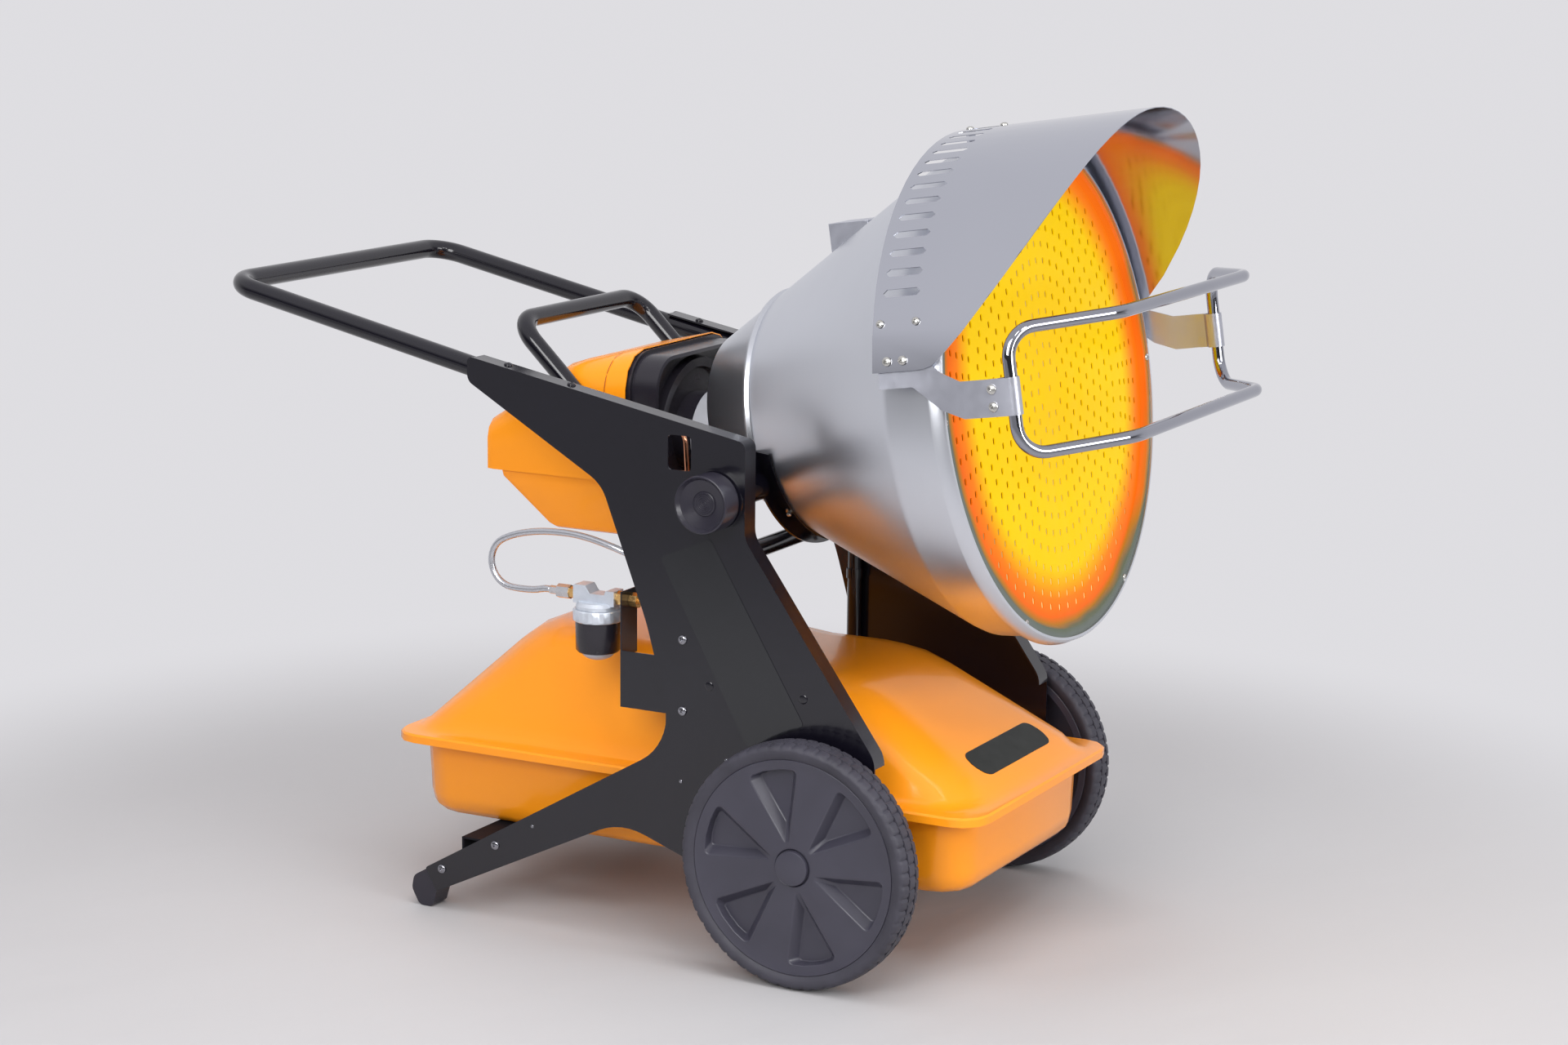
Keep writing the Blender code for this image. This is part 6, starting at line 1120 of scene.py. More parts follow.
def stub_axle():
    """A flanged pin through the plate. Its pin carries the wheel."""
    flange_x = PLATE_INNER_X - GAP
    back_x = flange_x - AXLE_FLANGE_THICKNESS
    end_x = WHEEL_OUTER_X - RIM_FACE_INSET - CAP_SEAT - RUN_GAP
    return lathe([(back_x, 0.0), (back_x, AXLE_FLANGE_RADIUS), (flange_x, AXLE_FLANGE_RADIUS),
                  (flange_x, AXLE_RADIUS), (end_x, AXLE_RADIUS), (end_x, 0.0)])


# Tank

def tank_ring(half, front, rear, corner, height, steps=3):
    """A rounded rectangle round the tank. height is a number or a function of y."""
    level = height if callable(height) else (lambda _: height)
    ring = []
    middles = ((0.0, rear), (-half, TANK_KINK_Y), (0.0, front), (half, TANK_KINK_Y))
    centres = ((1, rear - corner), (-1, rear - corner), (-1, front + corner), (1, front + corner))
    for turn, (sign_x, cy) in enumerate(centres):
        cx = sign_x * (half - corner)
        for k in range(steps + 1):
            angle = math.pi / 2 * (turn + k / steps)
            ring.append((cx + corner * math.cos(angle), cy + corner * math.sin(angle)))
        ring.append(middles[turn])
    return [Vector((x, y, level(y))) for x, y in ring]


def tank_top_z(y):
    rise = TANK_TOP_RISE / (TANK_TOP_REAR_Y - TANK_KINK_Y)
    return TANK_TOP_Z + rise * max(0.0, y - TANK_KINK_Y)


def between(a, b, share):
    return [p.lerp(q, share) for p, q in zip(a, b)]


def bent(a, b, c, steps):
    """Rings along a smooth bend from ring a past ring b to ring c."""
    return [between(between(a, b, k / steps), between(b, c, k / steps), k / steps)
            for k in range(steps + 1)]


def tank_upper_sheet():
    edge, inset = TANK_EDGE_ROUND, TANK_CROWN_INSET

    def brim(inwards, z):
        return tank_ring(TANK_FLANGE_HALF - inwards, TANK_FRONT_Y + inwards,
                         TANK_REAR_Y - inwards, TANK_FLANGE_CORNER - inwards, z)

    def top(inwards):
        return tank_ring(TANK_TOP_HALF - inwards, TANK_TOP_FRONT_Y + inwards,
                         TANK_TOP_REAR_Y - inwards, TANK_TOP_CORNER - inwards, tank_top_z)

    base = tank_ring(TANK_BASE_HALF, TANK_BASE_FRONT_Y, TANK_BASE_REAR_Y, TANK_BASE_CORNER,
                     TANK_FLANGE_Z)
    rear_fillet = min(TANK_FILLET, (TANK_REAR_Y - TANK_BASE_REAR_Y) / 2)
    fillet_start = tank_ring(TANK_BASE_HALF + TANK_FILLET, TANK_BASE_FRONT_Y - TANK_FILLET,
                             TANK_BASE_REAR_Y + rear_fillet, TANK_BASE_CORNER, TANK_FLANGE_Z)
    skirt = tank_ring(TANK_SKIRT_HALF, TANK_SKIRT_FRONT_Y, TANK_SKIRT_REAR_Y, TANK_SKIRT_CORNER,
                      TANK_SKIRT_Z)
    crest = top(0.0)
    rings = [brim(0.0, TANK_FLANGE_Z - TANK_HEM), brim(0.0, TANK_FLANGE_Z - edge),
             brim(edge, TANK_FLANGE_Z)]
    rings += bent(fillet_start, base, between(base, skirt, 0.5), 2)
    rings.append(skirt)
    rings += bent(between(skirt, crest, TANK_CROWN_SHARE), crest, top(inset), 3)
    bm = loft(rings, caps=False)
    bm.verts.ensure_lookup_table()
    fill_tank_crown(bm, bm.verts[-len(rings[0]):])
    return bm


def fill_tank_crown(bm, row):
    """Closes the top with two flat faces that meet at the kink."""
    left = next(i for i, v in enumerate(row) if v.co.x < 0 and abs(v.co.y - TANK_KINK_Y) < GAP)
    right = len(row) - 1
    bm.faces.new(row[left:right + 1])
    bm.faces.new([row[right], *row[:left + 1]])


def tank_lower_sheet():
    taper = TANK_LOWER_TAPER
    reach = TANK_FLANGE_HALF - TANK_LOWER_HALF - SHEET * 2
    top_z = TANK_FLANGE_Z - SHEET * 2 - GAP
    drop = TANK_BOTTOM_ROUND

    def ring(grow, z, corner=TANK_LOWER_CORNER):
        return tank_ring(TANK_LOWER_HALF + grow, TANK_LOWER_FRONT_Y - grow,
                         TANK_LOWER_REAR_Y + grow, corner, z)

    wall_top = ring(0.0, top_z)
    wall_low = ring(-taper, TANK_BOTTOM_Z + drop)
    knee = ring(-taper, TANK_BOTTOM_Z)
    floor = ring(-taper - drop, TANK_BOTTOM_Z, TANK_LOWER_CORNER - drop / 2)
    rings = [ring(reach, top_z, TANK_FLANGE_CORNER)]
    rings += bent(ring(TANK_FILLET / 2, top_z), wall_top, between(wall_top, wall_low, 0.08), 2)
    rings += bent(wall_low, knee, floor, 3)
    bm = loft(rings, caps=False)
    bm.verts.ensure_lookup_table()
    bm.faces.new(bm.verts[-len(rings[0]):])
    return bm


def ripple_of(count, depth, facets, rows):
    """Shallow finger notches round the named rows of a turned part."""
    def notch(row, k):
        lobe = math.cos(2 * math.pi * count * k / facets)
        return depth * (0.5 - 0.5 * lobe) if row in rows else 0.0
    return notch


def fuel_cap():
    radius, height = FUEL_CAP_RADIUS, FUEL_CAP_HEIGHT
    facets = FUEL_CAP_LOBES * 2
    profile = [(GAP, 0.0), (GAP, radius - SHEET), (height / 5, radius), (height * 0.8, radius),
               (height, radius - SHEET * 2), (height, 0.0)]
    notch = ripple_of(FUEL_CAP_LOBES, FUEL_CAP_LOBE_DEPTH, facets, (2, 3))
    return lathe(profile, "Z", facets, ripple=notch)


# Wheels: outwards is +X in their own frame

def pocket_outline(angle, share):
    """A triangular pocket: narrow at the hub, wide at the rim, shrunk about its middle by share."""
    tip = Vector((POCKET_TIP_RADIUS, 0.0))
    outer = [Vector((POCKET_OUTER_RADIUS * math.cos(t * POCKET_HALF_ANGLE),
                     POCKET_OUTER_RADIUS * math.sin(t * POCKET_HALF_ANGLE)))
             for t in (-1.0, -0.34, 0.34, 1.0)]
    middle = Vector((POCKET_TIP_RADIUS + (POCKET_OUTER_RADIUS - POCKET_TIP_RADIUS) * 0.93, 0.0))
    corners = [
        (tip - Vector((0.0, POCKET_TIP_WIDTH / 2)), 0.0),
        (outer[0], POCKET_CORNER), (outer[1], 0.0), (outer[2], 0.0), (outer[3], POCKET_CORNER),
        (tip + Vector((0.0, POCKET_TIP_WIDTH / 2)), 0.0),
    ]
    shrunk = [(middle + (Vector(p) - middle) * share, r * share) for p, r in corners]
    turn = Matrix.Rotation(angle, 2)
    return [turn @ p for p in rounded(shrunk, arc_step=ARC_STEP * 2)]


def wheel_rim():
    """A moulded disc: bead ring, six triangular pockets and a deep hub."""
    half = WHEEL_WIDTH / 2
    seat = WHEEL_RADIUS - TYRE_SECTION - GAP
    rib_in = seat - RIM_RIB_WIDTH
    edge = half - RIM_FACE_INSET / 2
    face = half - RIM_FACE_INSET
    back = face - RIM_WEB_THICKNESS
    bore = AXLE_RADIUS + RUN_GAP
    cap_radius, cap_seat = CAP_RADIUS + RUN_GAP, face - CAP_SEAT
    hub_back = HUB_INNER_X - (WHEEL_OUTER_X - half)
    bm = bmesh.new()

    def rings(profile, facets):
        return [[bm.verts.new((x, a, b)) for a, b in circle(0.0, 0.0, radius, facets)]
                for radius, x in profile]

    outer = rings([(seat, edge), (seat, -edge), (rib_in, -edge), (rib_in, back)], WHEEL_FACETS)
    lip, = rings([(rib_in, face)], WHEEL_FACETS)
    hub = rings([(HUB_RADIUS, face), (cap_radius, face), (cap_radius, cap_seat), (bore, cap_seat),
                 (bore, hub_back), (HUB_RADIUS * 0.8, hub_back), (HUB_RADIUS, back)], SMALL_FACETS)
    for a, b in (*zip(outer, outer[1:]), (outer[0], lip), *zip(hub, hub[1:])):
        walls(bm, a, b)
    pockets = []
    for k in range(POCKET_COUNT):
        angle = POCKET_PHASE + 2 * math.pi * k / POCKET_COUNT
        rim, floor = ([bm.verts.new((x, p.x, p.y)) for p in pocket_outline(angle, share)]
                      for x, share in ((face, 1.0), (face - POCKET_DEPTH, POCKET_FLOOR_SHARE)))
        walls(bm, rim, floor)
        bm.faces.new(floor)
        pockets.append(rim)
    fill(bm, [lip, hub[0], *pockets])
    fill(bm, [outer[-1], hub[-1]])
    return bm


# Drum, hood and guard

def drum_profile():
    """Outer line of the drum shell as (s, radius), from rim to rear end."""
    bead, rib = DRUM_BEAD_WIDTH, DRUM_RIB_WIDTH / 2
    step_radius = DRUM_RADIUS + DRUM_STEP_RISE

    def on_cone(s, rise=0.0):
        return (s, cone_radius(s) + rise)

    return [
        (0.0, DRUM_RADIUS - bead / 3), (bead / 3, DRUM_RADIUS),
        (DRUM_STEP_S - bead / 2, step_radius), (DRUM_STEP_S, step_radius),
        (DRUM_STEP_S + bead / 2, DRUM_BODY_RADIUS),
        (DRUM_CONE_S - bead, DRUM_CONE_RADIUS + bead / 3), on_cone(DRUM_CONE_S + bead),
        on_cone(DRUM_RIB_S - rib), on_cone(DRUM_RIB_S - rib / 3, DRUM_RIB_RISE),
        on_cone(DRUM_RIB_S + rib / 3, DRUM_RIB_RISE), on_cone(DRUM_RIB_S + rib),
        on_cone(DRUM_END_S - bead / 2), (DRUM_END_S, DRUM_END_RADIUS - bead / 2),
    ]


def cone_radius(s):
    slope = (DRUM_CONE_RADIUS - DRUM_END_RADIUS) / (DRUM_END_S - DRUM_CONE_S)
    return DRUM_CONE_RADIUS - slope * (s - DRUM_CONE_S)


def drum_rim_radius():
    """Inside of the rim, where the disc sits."""
    return DRUM_RADIUS - DRUM_BEAD_WIDTH


def drum_shell():
    """A spun sheet: rolled rim, cylinder, cone, rib and flat rear end with the blast opening."""
    end = DRUM_END_S - SHEET
    wall = SHEET * 1.4
    profile = drum_profile() + [
        (DRUM_END_S, BLAST_RADIUS), (end, BLAST_RADIUS), (end, cone_radius(end) - wall),
        (DRUM_CONE_S, DRUM_CONE_RADIUS - wall),
        (DRUM_STEP_S + DRUM_BEAD_WIDTH, DRUM_BODY_RADIUS - wall),
        (DRUM_STEP_S - DRUM_BEAD_WIDTH, drum_rim_radius() + DRUM_STEP_RISE),
        (DRUM_STEP_S / 2, drum_rim_radius()), (0.0, drum_rim_radius()),
    ]
    return lathe(profile, "Y", DRUM_FACETS)


def hood_front_s(angle):
    """Front edge of the hood at an angle from its top."""
    share = min(1.0, abs(angle) / HOOD_SWEEP_ANGLE)
    return -HOOD_REACH + HOOD_SWEEP * share ** HOOD_SWEEP_POWER


def on_hood(angle, s, radius=HOOD_RADIUS):
    return (radius * math.sin(angle), s, radius * math.cos(angle))


def hood_slot(centre):
    """Rounded ventilation slot as (angle, s) points."""
    half = HOOD_SLOT_WIDTH / 2
    points = []
    for s_end, first in ((HOOD_SLOT_END_S - half, 0.0), (HOOD_SLOT_START_S + half, math.pi)):
        for k in range(3):
            turn = first + math.pi * k / 2
            points.append((centre + half * math.cos(turn) / HOOD_RADIUS,
                           s_end + half * math.sin(turn)))
    return points


def hood_sheet():
    """Rolled sheet over the drum: a row of slotted strips and a plain corner strip at each end."""
    bm = bmesh.new()
    edge = HOOD_SLOT_PITCH * HOOD_SLOT_COUNT / 2
    borders = [-edge + HOOD_SLOT_PITCH * k for k in range(HOOD_SLOT_COUNT + 1)]
    mid = (edge + HOOD_HALF_ANGLE) / 2
    fronts = {a: bm.verts.new(on_hood(a, hood_front_s(a))) for a in borders}
    rears = {a: bm.verts.new(on_hood(a, HOOD_REAR_S)) for a in borders}
    for low, high in zip(borders, borders[1:]):
        centre = (low + high) / 2
        slot = [bm.verts.new(on_hood(a, s)) for a, s in hood_slot(centre)]
        fill(bm, [[fronts[low], rears[low], rears[high], fronts[high]], slot])
    for side in (-1, 1):
        a = side * edge
        corner_s = hood_front_s(HOOD_HALF_ANGLE)
        end = side * HOOD_HALF_ANGLE
        round_angle = HOOD_CORNER / HOOD_RADIUS
        mids = [bm.verts.new(on_hood(side * mid, hood_front_s(mid))),
                bm.verts.new(on_hood(side * mid, HOOD_REAR_S))]
        bm.faces.new((fronts[a], mids[0], mids[1], rears[a]))
        arc = []
        for k in range(1, 4):
            turn = math.pi / 2 * k / 4
            arc.append(bm.verts.new(on_hood(
                end - side * round_angle / 2 * (1 - math.sin(turn)),
                corner_s + HOOD_CORNER * (1 - math.cos(turn)))))
        arc.append(bm.verts.new(on_hood(end, corner_s + HOOD_CORNER)))
        low_rear = bm.verts.new(on_hood(end, HOOD_REAR_S))
        bm.faces.new([mids[0], *arc, low_rear, mids[1]])
    for face in bm.faces:
        face.normal_update()
    return bm


def hood_spacers():
    """Stand-off sleeves that carry the hood on the drum, welded to its inner face."""
    parts = []
    top = HOOD_RADIUS - THIN_SHEET / 2
    for angle in (-SPACER_ANGLE, 0.0, SPACER_ANGLE):
        for s in SPACER_S:
            share = (s - DRUM_STEP_S) / (DRUM_CONE_S - DRUM_STEP_S)
            foot_radius = (DRUM_BODY_RADIUS
                           + (DRUM_CONE_RADIUS + DRUM_BEAD_WIDTH / 3 - DRUM_BODY_RADIUS)
                           * max(0.0, share) + GAP * 2)
            sleeve = lathe([(foot_radius, 0.0), (foot_radius, SPACER_RADIUS),
                            (top, SPACER_RADIUS), (top, 0.0)], "Z", 6)
            bmesh.ops.transform(sleeve, verts=sleeve.verts[:],
                                matrix=Matrix.Translation((0.0, s, 0.0))
                                @ Matrix.Rotation(angle, 4, "Y"))
            parts.append(sleeve)
    return joined_meshes(parts)


def guard_loop():
    """A closed loop of chromed tube, bent back to its clamps at both sides."""
    x, s = GUARD_SIDE_X, GUARD_SIDE_S
    nx, ns = GUARD_NOSE_X, GUARD_NOSE_S
    top, low = GUARD_TOP_U, GUARD_BOTTOM_U
    corners = [
        ((-x, s, top), GUARD_CORNER), ((-nx, ns, top), GUARD_KINK), ((nx, ns, top), GUARD_KINK),
        ((x, s, top), GUARD_CORNER), ((x, s, low), GUARD_CORNER), ((nx, ns, low), GUARD_KINK),
        ((-nx, ns, low), GUARD_KINK), ((-x, s, low), GUARD_CORNER),
    ]
    return sweep(rounded(corners), GUARD_RADIUS, closed=True, sides=TUBE_SIDES)


def ribbon(stations, thickness):
    """A bent strip: each station is (low point, high point, outward normal)."""
    rings = []
    for low, high, normal in stations:
        shift = Vector(normal).normalized() * (thickness / 2)
        a, b = Vector(low), Vector(high)
        rings.append([a + shift, b + shift, b - shift, a - shift])
    return loft(rings)


def guard_bracket():
    """A stainless strip from inside the hood's corner, forward and round the guard tube."""
    half = BRACKET_HEIGHT / 2
    low, high = BRACKET_CENTRE_U - half, BRACKET_CENTRE_U + half
    hold = GUARD_RADIUS + GAP + BRACKET_GAUGE / 2
    side = GUARD_SIDE_X + hold
    inside_hood = HOOD_RADIUS - THIN_SHEET - GAP * 3 - BRACKET_GAUGE / 2
    stations = []

    def hugging(s, drop, normal):
        ends = (BRACKET_ROOT_U - half - drop, BRACKET_ROOT_U + half - drop)
        a, b = ((math.sqrt(inside_hood ** 2 - u ** 2), s, u) for u in ends)
        stations.append((a, b, normal))

    def upright(x, s, normal):
        stations.append(((x, s, low), (x, s, high), normal))

    lean = BRACKET_ROOT_U / inside_hood
    reach = BRACKET_ROOT_S - BRACKET_FOLD_S
    for s in (BRACKET_ROOT_S, BRACKET_FOLD_S + reach * BRACKET_ROOT_SHARE):
        hugging(s, 0.0, (math.cos(math.asin(lean)), 0.0, lean))
    fold_drop = (BRACKET_ROOT_U - BRACKET_CENTRE_U) * BRACKET_DROP_SHARE
    hugging(BRACKET_FOLD_S, fold_drop, (1.0, 0.0, BRACKET_FOLD_LEAN))
    bend_s = GUARD_SIDE_S * BRACKET_BEND_SHARE
    stations.append(((side - BRACKET_SWELL / 2, bend_s, low), (side, bend_s, high),
                     (1.0, 0.0, 0.0)))
    flat_s = GUARD_SIDE_S + CLAMP_RETURN
    upright(side, flat_s, (1.0, 0.0, 0.0))
    for k in range(9):
        c, s = math.cos(math.pi * k / 8), math.sin(math.pi * k / 8)
        upright(GUARD_SIDE_X + hold * c, GUARD_SIDE_S - hold * s, (c, -s, 0.0))
    back = GUARD_SIDE_S + hold * BRACKET_RETURN
    lie = side - BRACKET_GAUGE - GAP * 3
    upright(GUARD_SIDE_X - hold * BRACKET_WRAP, back, (-1.0, BRACKET_RETURN, 0.0))
    upright(lie, back + hold * BRACKET_RETURN, (-1.0, BRACKET_LIE_LEAN, 0.0))
    upright(lie, flat_s, (-1.0, 0.0, 0.0))
    return ribbon(stations, BRACKET_GAUGE)


def cone_box():
    """An inverted channel on the cone, with a foot flange that follows the cone."""
    front, rear = BOX_S - BOX_LENGTH / 2, BOX_S + BOX_LENGTH / 2
    half = BOX_WIDTH / 2
    wall = SHEET

    def seated(x, s):
        return (x, s, math.sqrt(cone_radius(s) ** 2 - x ** 2) + GAP)

    outline = [(x, s) for s, xs in ((front, (-half, 0.0, half)), (rear, (half, 0.0, -half)))
               for x in xs]
    outer_low = [seated(x, s) for x, s in outline]
    inner_low = [seated(x * (1 - wall / half), s + (wall if s == front else -wall))
                 for x, s in outline]
    top = cone_radius(BOX_S) + BOX_HEIGHT
    outer_top = [(x, s, top) for x, s, _ in outer_low]
    inner_top = [(x, s, top - wall) for x, s, _ in inner_low]
    bm = bmesh.new()
    rows = [[bm.verts.new(p) for p in r] for r in (outer_low, outer_top, inner_low, inner_top)]
    for a, b in ((0, 1), (2, 3), (0, 2)):
        walls(bm, rows[a], rows[b])
    bm.faces.new(rows[1])
    bm.faces.new(rows[3])
    return bm


def cradle_ring():
    """Half ring of angle section under the cone."""
    s1 = DRUM_RIB_S - DRUM_RIB_WIDTH / 2 - GAP * 5
    s0 = s1 - CRADLE_WIDTH
    gauge = MEMBER_GAUGE
    seat = GAP * 3
    outer = cone_radius(s0) + seat + gauge
    profile = [(s0, cone_radius(s0) + seat), (s0, outer),
               (s1 - gauge, cone_radius(s1 - gauge) + seat + gauge),
               (s1 - gauge, outer + gauge), (s1, outer + gauge), (s1, cone_radius(s1) + seat)]
    return lathe(profile, "Y", DRUM_FACETS // 2, math.pi + CRADLE_END, 2 * math.pi - CRADLE_END)


# Burner, in the heater's level frame

def level_arch(half, low_z, top_z, corner, y, steps=3):
    """Points up one side, over the top and down the other, for an open-bottomed cover."""
    def arc(side, start):
        turns = [start - math.pi / 2 * k / steps for k in range(steps + 1)]
        return [(side * (half - corner) + corner * math.cos(turn),
                 top_z - corner + corner * math.sin(turn)) for turn in turns]

    shoulder = (low_z + top_z - corner) / 2
    points = [(-half, low_z), (-half, shoulder), *arc(-1, math.pi), (0.0, top_z),
              *arc(1, math.pi / 2), (half, shoulder), (half, low_z)]
    return [Vector((x, y, z)) for x, z in points]


def sheet_from_rows(rows):
    """An open sheet through rows of equally many points."""
    bm = bmesh.new()
    made = [[bm.verts.new(p) for p in row] for row in rows]
    for row, following in zip(made, made[1:]):
        for k in range(len(row) - 1):
            bm.faces.new((row[k], row[k + 1], following[k + 1], following[k]))
    return bm, made


def burner_cover_sheet():
    """Orange cover: arched at the front, sloping down to a rounded rear face."""
    edge, corner, rear_corner = COVER_REAR_EDGE, COVER_CORNER, COVER_REAR_CORNER
    rows = [level_arch(COVER_HALF - inset, SEAM_Z, top, bend, y) for inset, top, bend, y in (
        (0.0, COVER_TOP_Z, corner, COVER_FRONT_Y),
        (0.0, COVER_CREASE_Z + edge / 3, corner, COVER_CREASE_Y - edge),
        (0.0, COVER_CREASE_Z - edge / 3, corner * 0.9, COVER_CREASE_Y + edge),
        (0.0, COVER_SHOULDER_Z, rear_corner, COVER_SHOULDER_Y),
        (edge / 4, COVER_SHOULDER_Z - edge / 2, rear_corner, COVER_REAR_Y - edge / 4),
        (edge, COVER_SHOULDER_Z - edge * 1.6, rear_corner * 0.8, COVER_REAR_Y))]
    bm, made = sheet_from_rows(rows)
    bm.faces.new(made[-1])
    return bm


def burner_tray_sheet():
    """Orange tray: open above and in front, its floor rising at the rear."""
    half, corner = TRAY_HALF, TRAY_CORNER
    top = SEAM_Z - GAP

    def trough(y, floor):
        side = [Vector((-half, y, top)), Vector((-half, y, floor + corner))]
        for k in range(1, 3):
            turn = math.pi + math.pi / 2 * k / 2
            side.append(Vector((-half + corner + corner * math.cos(turn), y,
                                floor + corner + corner * math.sin(turn))))
        return side + [Vector((-p.x, p.y, p.z)) for p in reversed(side)]

    rows = [trough(COVER_FRONT_Y, TRAY_BOTTOM_Z),
            trough(TRAY_SLOPE_Y - corner, TRAY_BOTTOM_Z),
            trough(TRAY_SLOPE_Y, TRAY_BOTTOM_Z + TRAY_SLOPE_RISE),
            trough(TRAY_REAR_Y, top - corner - SHEET)]
    bm, made = sheet_from_rows(rows)
    last = made[-1]
    lip = [bm.verts.new(Vector((v.co.x, v.co.y + SHEET, top))) for v in (last[0], last[-1])]
    bm.faces.new((last[0], *last[1:-1], last[-1], lip[1], lip[0]))
    return bm


def square_ring(half, low_z, top_z, corner, y, facets=HOUSING_FACETS):
    """Rounded rectangle cut by equally spaced rays from the burner's axis."""
    outline = box_outline(-half, low_z, half, top_z, corner)
    ring = []
    for k in range(facets):
        angle = 2 * math.pi * k / facets
        ray = Vector((math.cos(angle), math.sin(angle)))
        best = 0.0
        for i, start in enumerate(outline):
            a = Vector(start) - Vector((0.0, BURNER_Z))
            b = Vector(outline[(i + 1) % len(outline)]) - Vector((0.0, BURNER_Z))
            d = b - a
            cross = ray.x * d.y - ray.y * d.x
            if abs(cross) < GAP * GAP:
                continue
            t = (a.x * d.y - a.y * d.x) / cross
            w = (a.x * ray.y - a.y * ray.x) / cross
            if -GAP <= w <= 1 + GAP and t > best:
                best = t
        ring.append((ray.x * best, y, BURNER_Z + ray.y * best))
    return ring


def round_ring(radius, y, facets=HOUSING_FACETS):
    return [(a, y, b) for a, b in circle(0.0, BURNER_Z, radius, facets)]


def fan_housing():
    """Black moulded housing with a recessed front and a lip inside the covers."""
    half, low, top = HOUSING_HALF, HOUSING_BOTTOM_Z, HOUSING_TOP_Z
    wall, corner = HOUSING_WALL, HOUSING_CORNER
    front, recess = HOUSING_FRONT_Y, HOUSING_FRONT_Y + HOUSING_RECESS
    lip_y = COVER_FRONT_Y - HOUSING_LIP
    rear = COVER_FRONT_Y + HOUSING_LIP_DEPTH
    hole = BLAST_RADIUS + GAP

    def square(grow, y):
        return square_ring(half + grow, low - grow, top + grow, corner + grow, y)

    rings = [
        round_ring(hole, recess), square(-wall * 1.4, recess), square(-wall, front),
        square(0.0, front + wall / 4), square(0.0, lip_y), square(HOUSING_LIP, lip_y),
        square(HOUSING_LIP, rear), square(-wall, rear), square(-wall, recess + wall),
        round_ring(hole, recess + wall),
    ]
    return loft(rings, cyclic=True)


def blast_collar():
    """Round moulding in the recess."""
    back = HOUSING_FRONT_Y + HOUSING_RECESS - GAP
    inner = BLAST_RADIUS + GAP
    return shifted(lathe([
        (back, inner), (back, COLLAR_RADIUS), (back - COLLAR_HEIGHT, COLLAR_RADIUS - COLLAR_WEB),
        (back - COLLAR_HEIGHT, COLLAR_INNER_RADIUS + COLLAR_WEB),
        (back - COLLAR_WEB, COLLAR_INNER_RADIUS), (back - COLLAR_WEB, inner),
    ], "Y", HOUSING_FACETS), z=BURNER_Z)


def blast_tube():
    inner = BLAST_RADIUS - BLAST_WALL
    return shifted(lathe([(BLAST_FRONT_Y, inner), (BLAST_FRONT_Y, BLAST_RADIUS),
                          (BLAST_REAR_Y, BLAST_RADIUS), (BLAST_REAR_Y, inner)],
                         "Y", HOUSING_FACETS), z=BURNER_Z)


def rear_plane_y(z):
    """Where the drum's slanted rear end stands at a height."""
    base = Vector((DRUM_Y, DRUM_Z)) + Vector((math.cos(TILT), -math.sin(TILT))) * DRUM_END_S
    return base.x + (z - base.y) * math.tan(TILT)


def burner_flange():
    """Bright tube between the burner and the drum, cut to the drum's slanted end."""
    rear = BLAST_FRONT_Y - GAP
    outer, inner = FLANGE_RADIUS, FLANGE_RADIUS - FLANGE_WALL
    rim = outer + FLANGE_WALL / 2
    step = FLANGE_WALL * 1.6

    def seated(radius, lead):
        return [(a, rear_plane_y(b) + GAP + lead, b)
                for a, b in circle(0.0, BURNER_Z, radius, HOUSING_FACETS)]

    rings = [seated(inner, 0.0), seated(rim, 0.0), seated(rim, step), seated(outer, step),
             round_ring(outer, rear), round_ring(inner, rear)]
    return loft(rings, cyclic=True)


def tilt_handle():
    """It reaches over the cover, and its legs lie against the cover's sides."""
    foot_y = TILT_HANDLE_TOP_Y - TILT_HANDLE_LEG * math.cos(TILT_HANDLE_SLOPE)
    foot_z = TILT_HANDLE_TOP_Z - TILT_HANDLE_LEG * math.sin(TILT_HANDLE_SLOPE)
    return bent_handle(COVER_HALF + GAP + TILT_HANDLE_RADIUS, (foot_y, foot_z),
                       (TILT_HANDLE_TOP_Y, TILT_HANDLE_TOP_Z), TILT_HANDLE_BEND,
                       TILT_HANDLE_RADIUS, TILT_HANDLE_WALL)


def control_panel():
    """Thin panel on the rear face, with a window for the rocker."""
    y = COVER_REAR_Y + GAP
    middle = (PANEL_BOTTOM_Z + PANEL_TOP_Z) / 2
    half_width = SWITCH_WIDTH / 2 + RUN_GAP
    half_height = SWITCH_HEIGHT / 2 + RUN_GAP * 1.5
    window = box_outline(SWITCH_X - half_width, middle - half_height,
                         SWITCH_X + half_width, middle + half_height)
    outline = box_outline(-PANEL_HALF, PANEL_BOTTOM_Z, PANEL_HALF, PANEL_TOP_Z,
                          PANEL_THICKNESS * 1.5)
    return block(outline, y, y + PANEL_THICKNESS, in_xz, [window])


def power_switch():
    """Rocker with a hollowed front and a back that clears the cover, in its own frame."""
    half, depth, lean = SWITCH_HEIGHT / 2, SWITCH_DEPTH, SWITCH_WEDGE
    rise = half * math.tan(SWITCH_THROW) + GAP
    outline = [(0.0, 0.0), (rise, -half), (depth + lean, -half), (depth, 0.0),
               (depth + lean, half), (rise, half)]
    return block(outline, -SWITCH_WIDTH / 2, SWITCH_WIDTH / 2, in_yz)


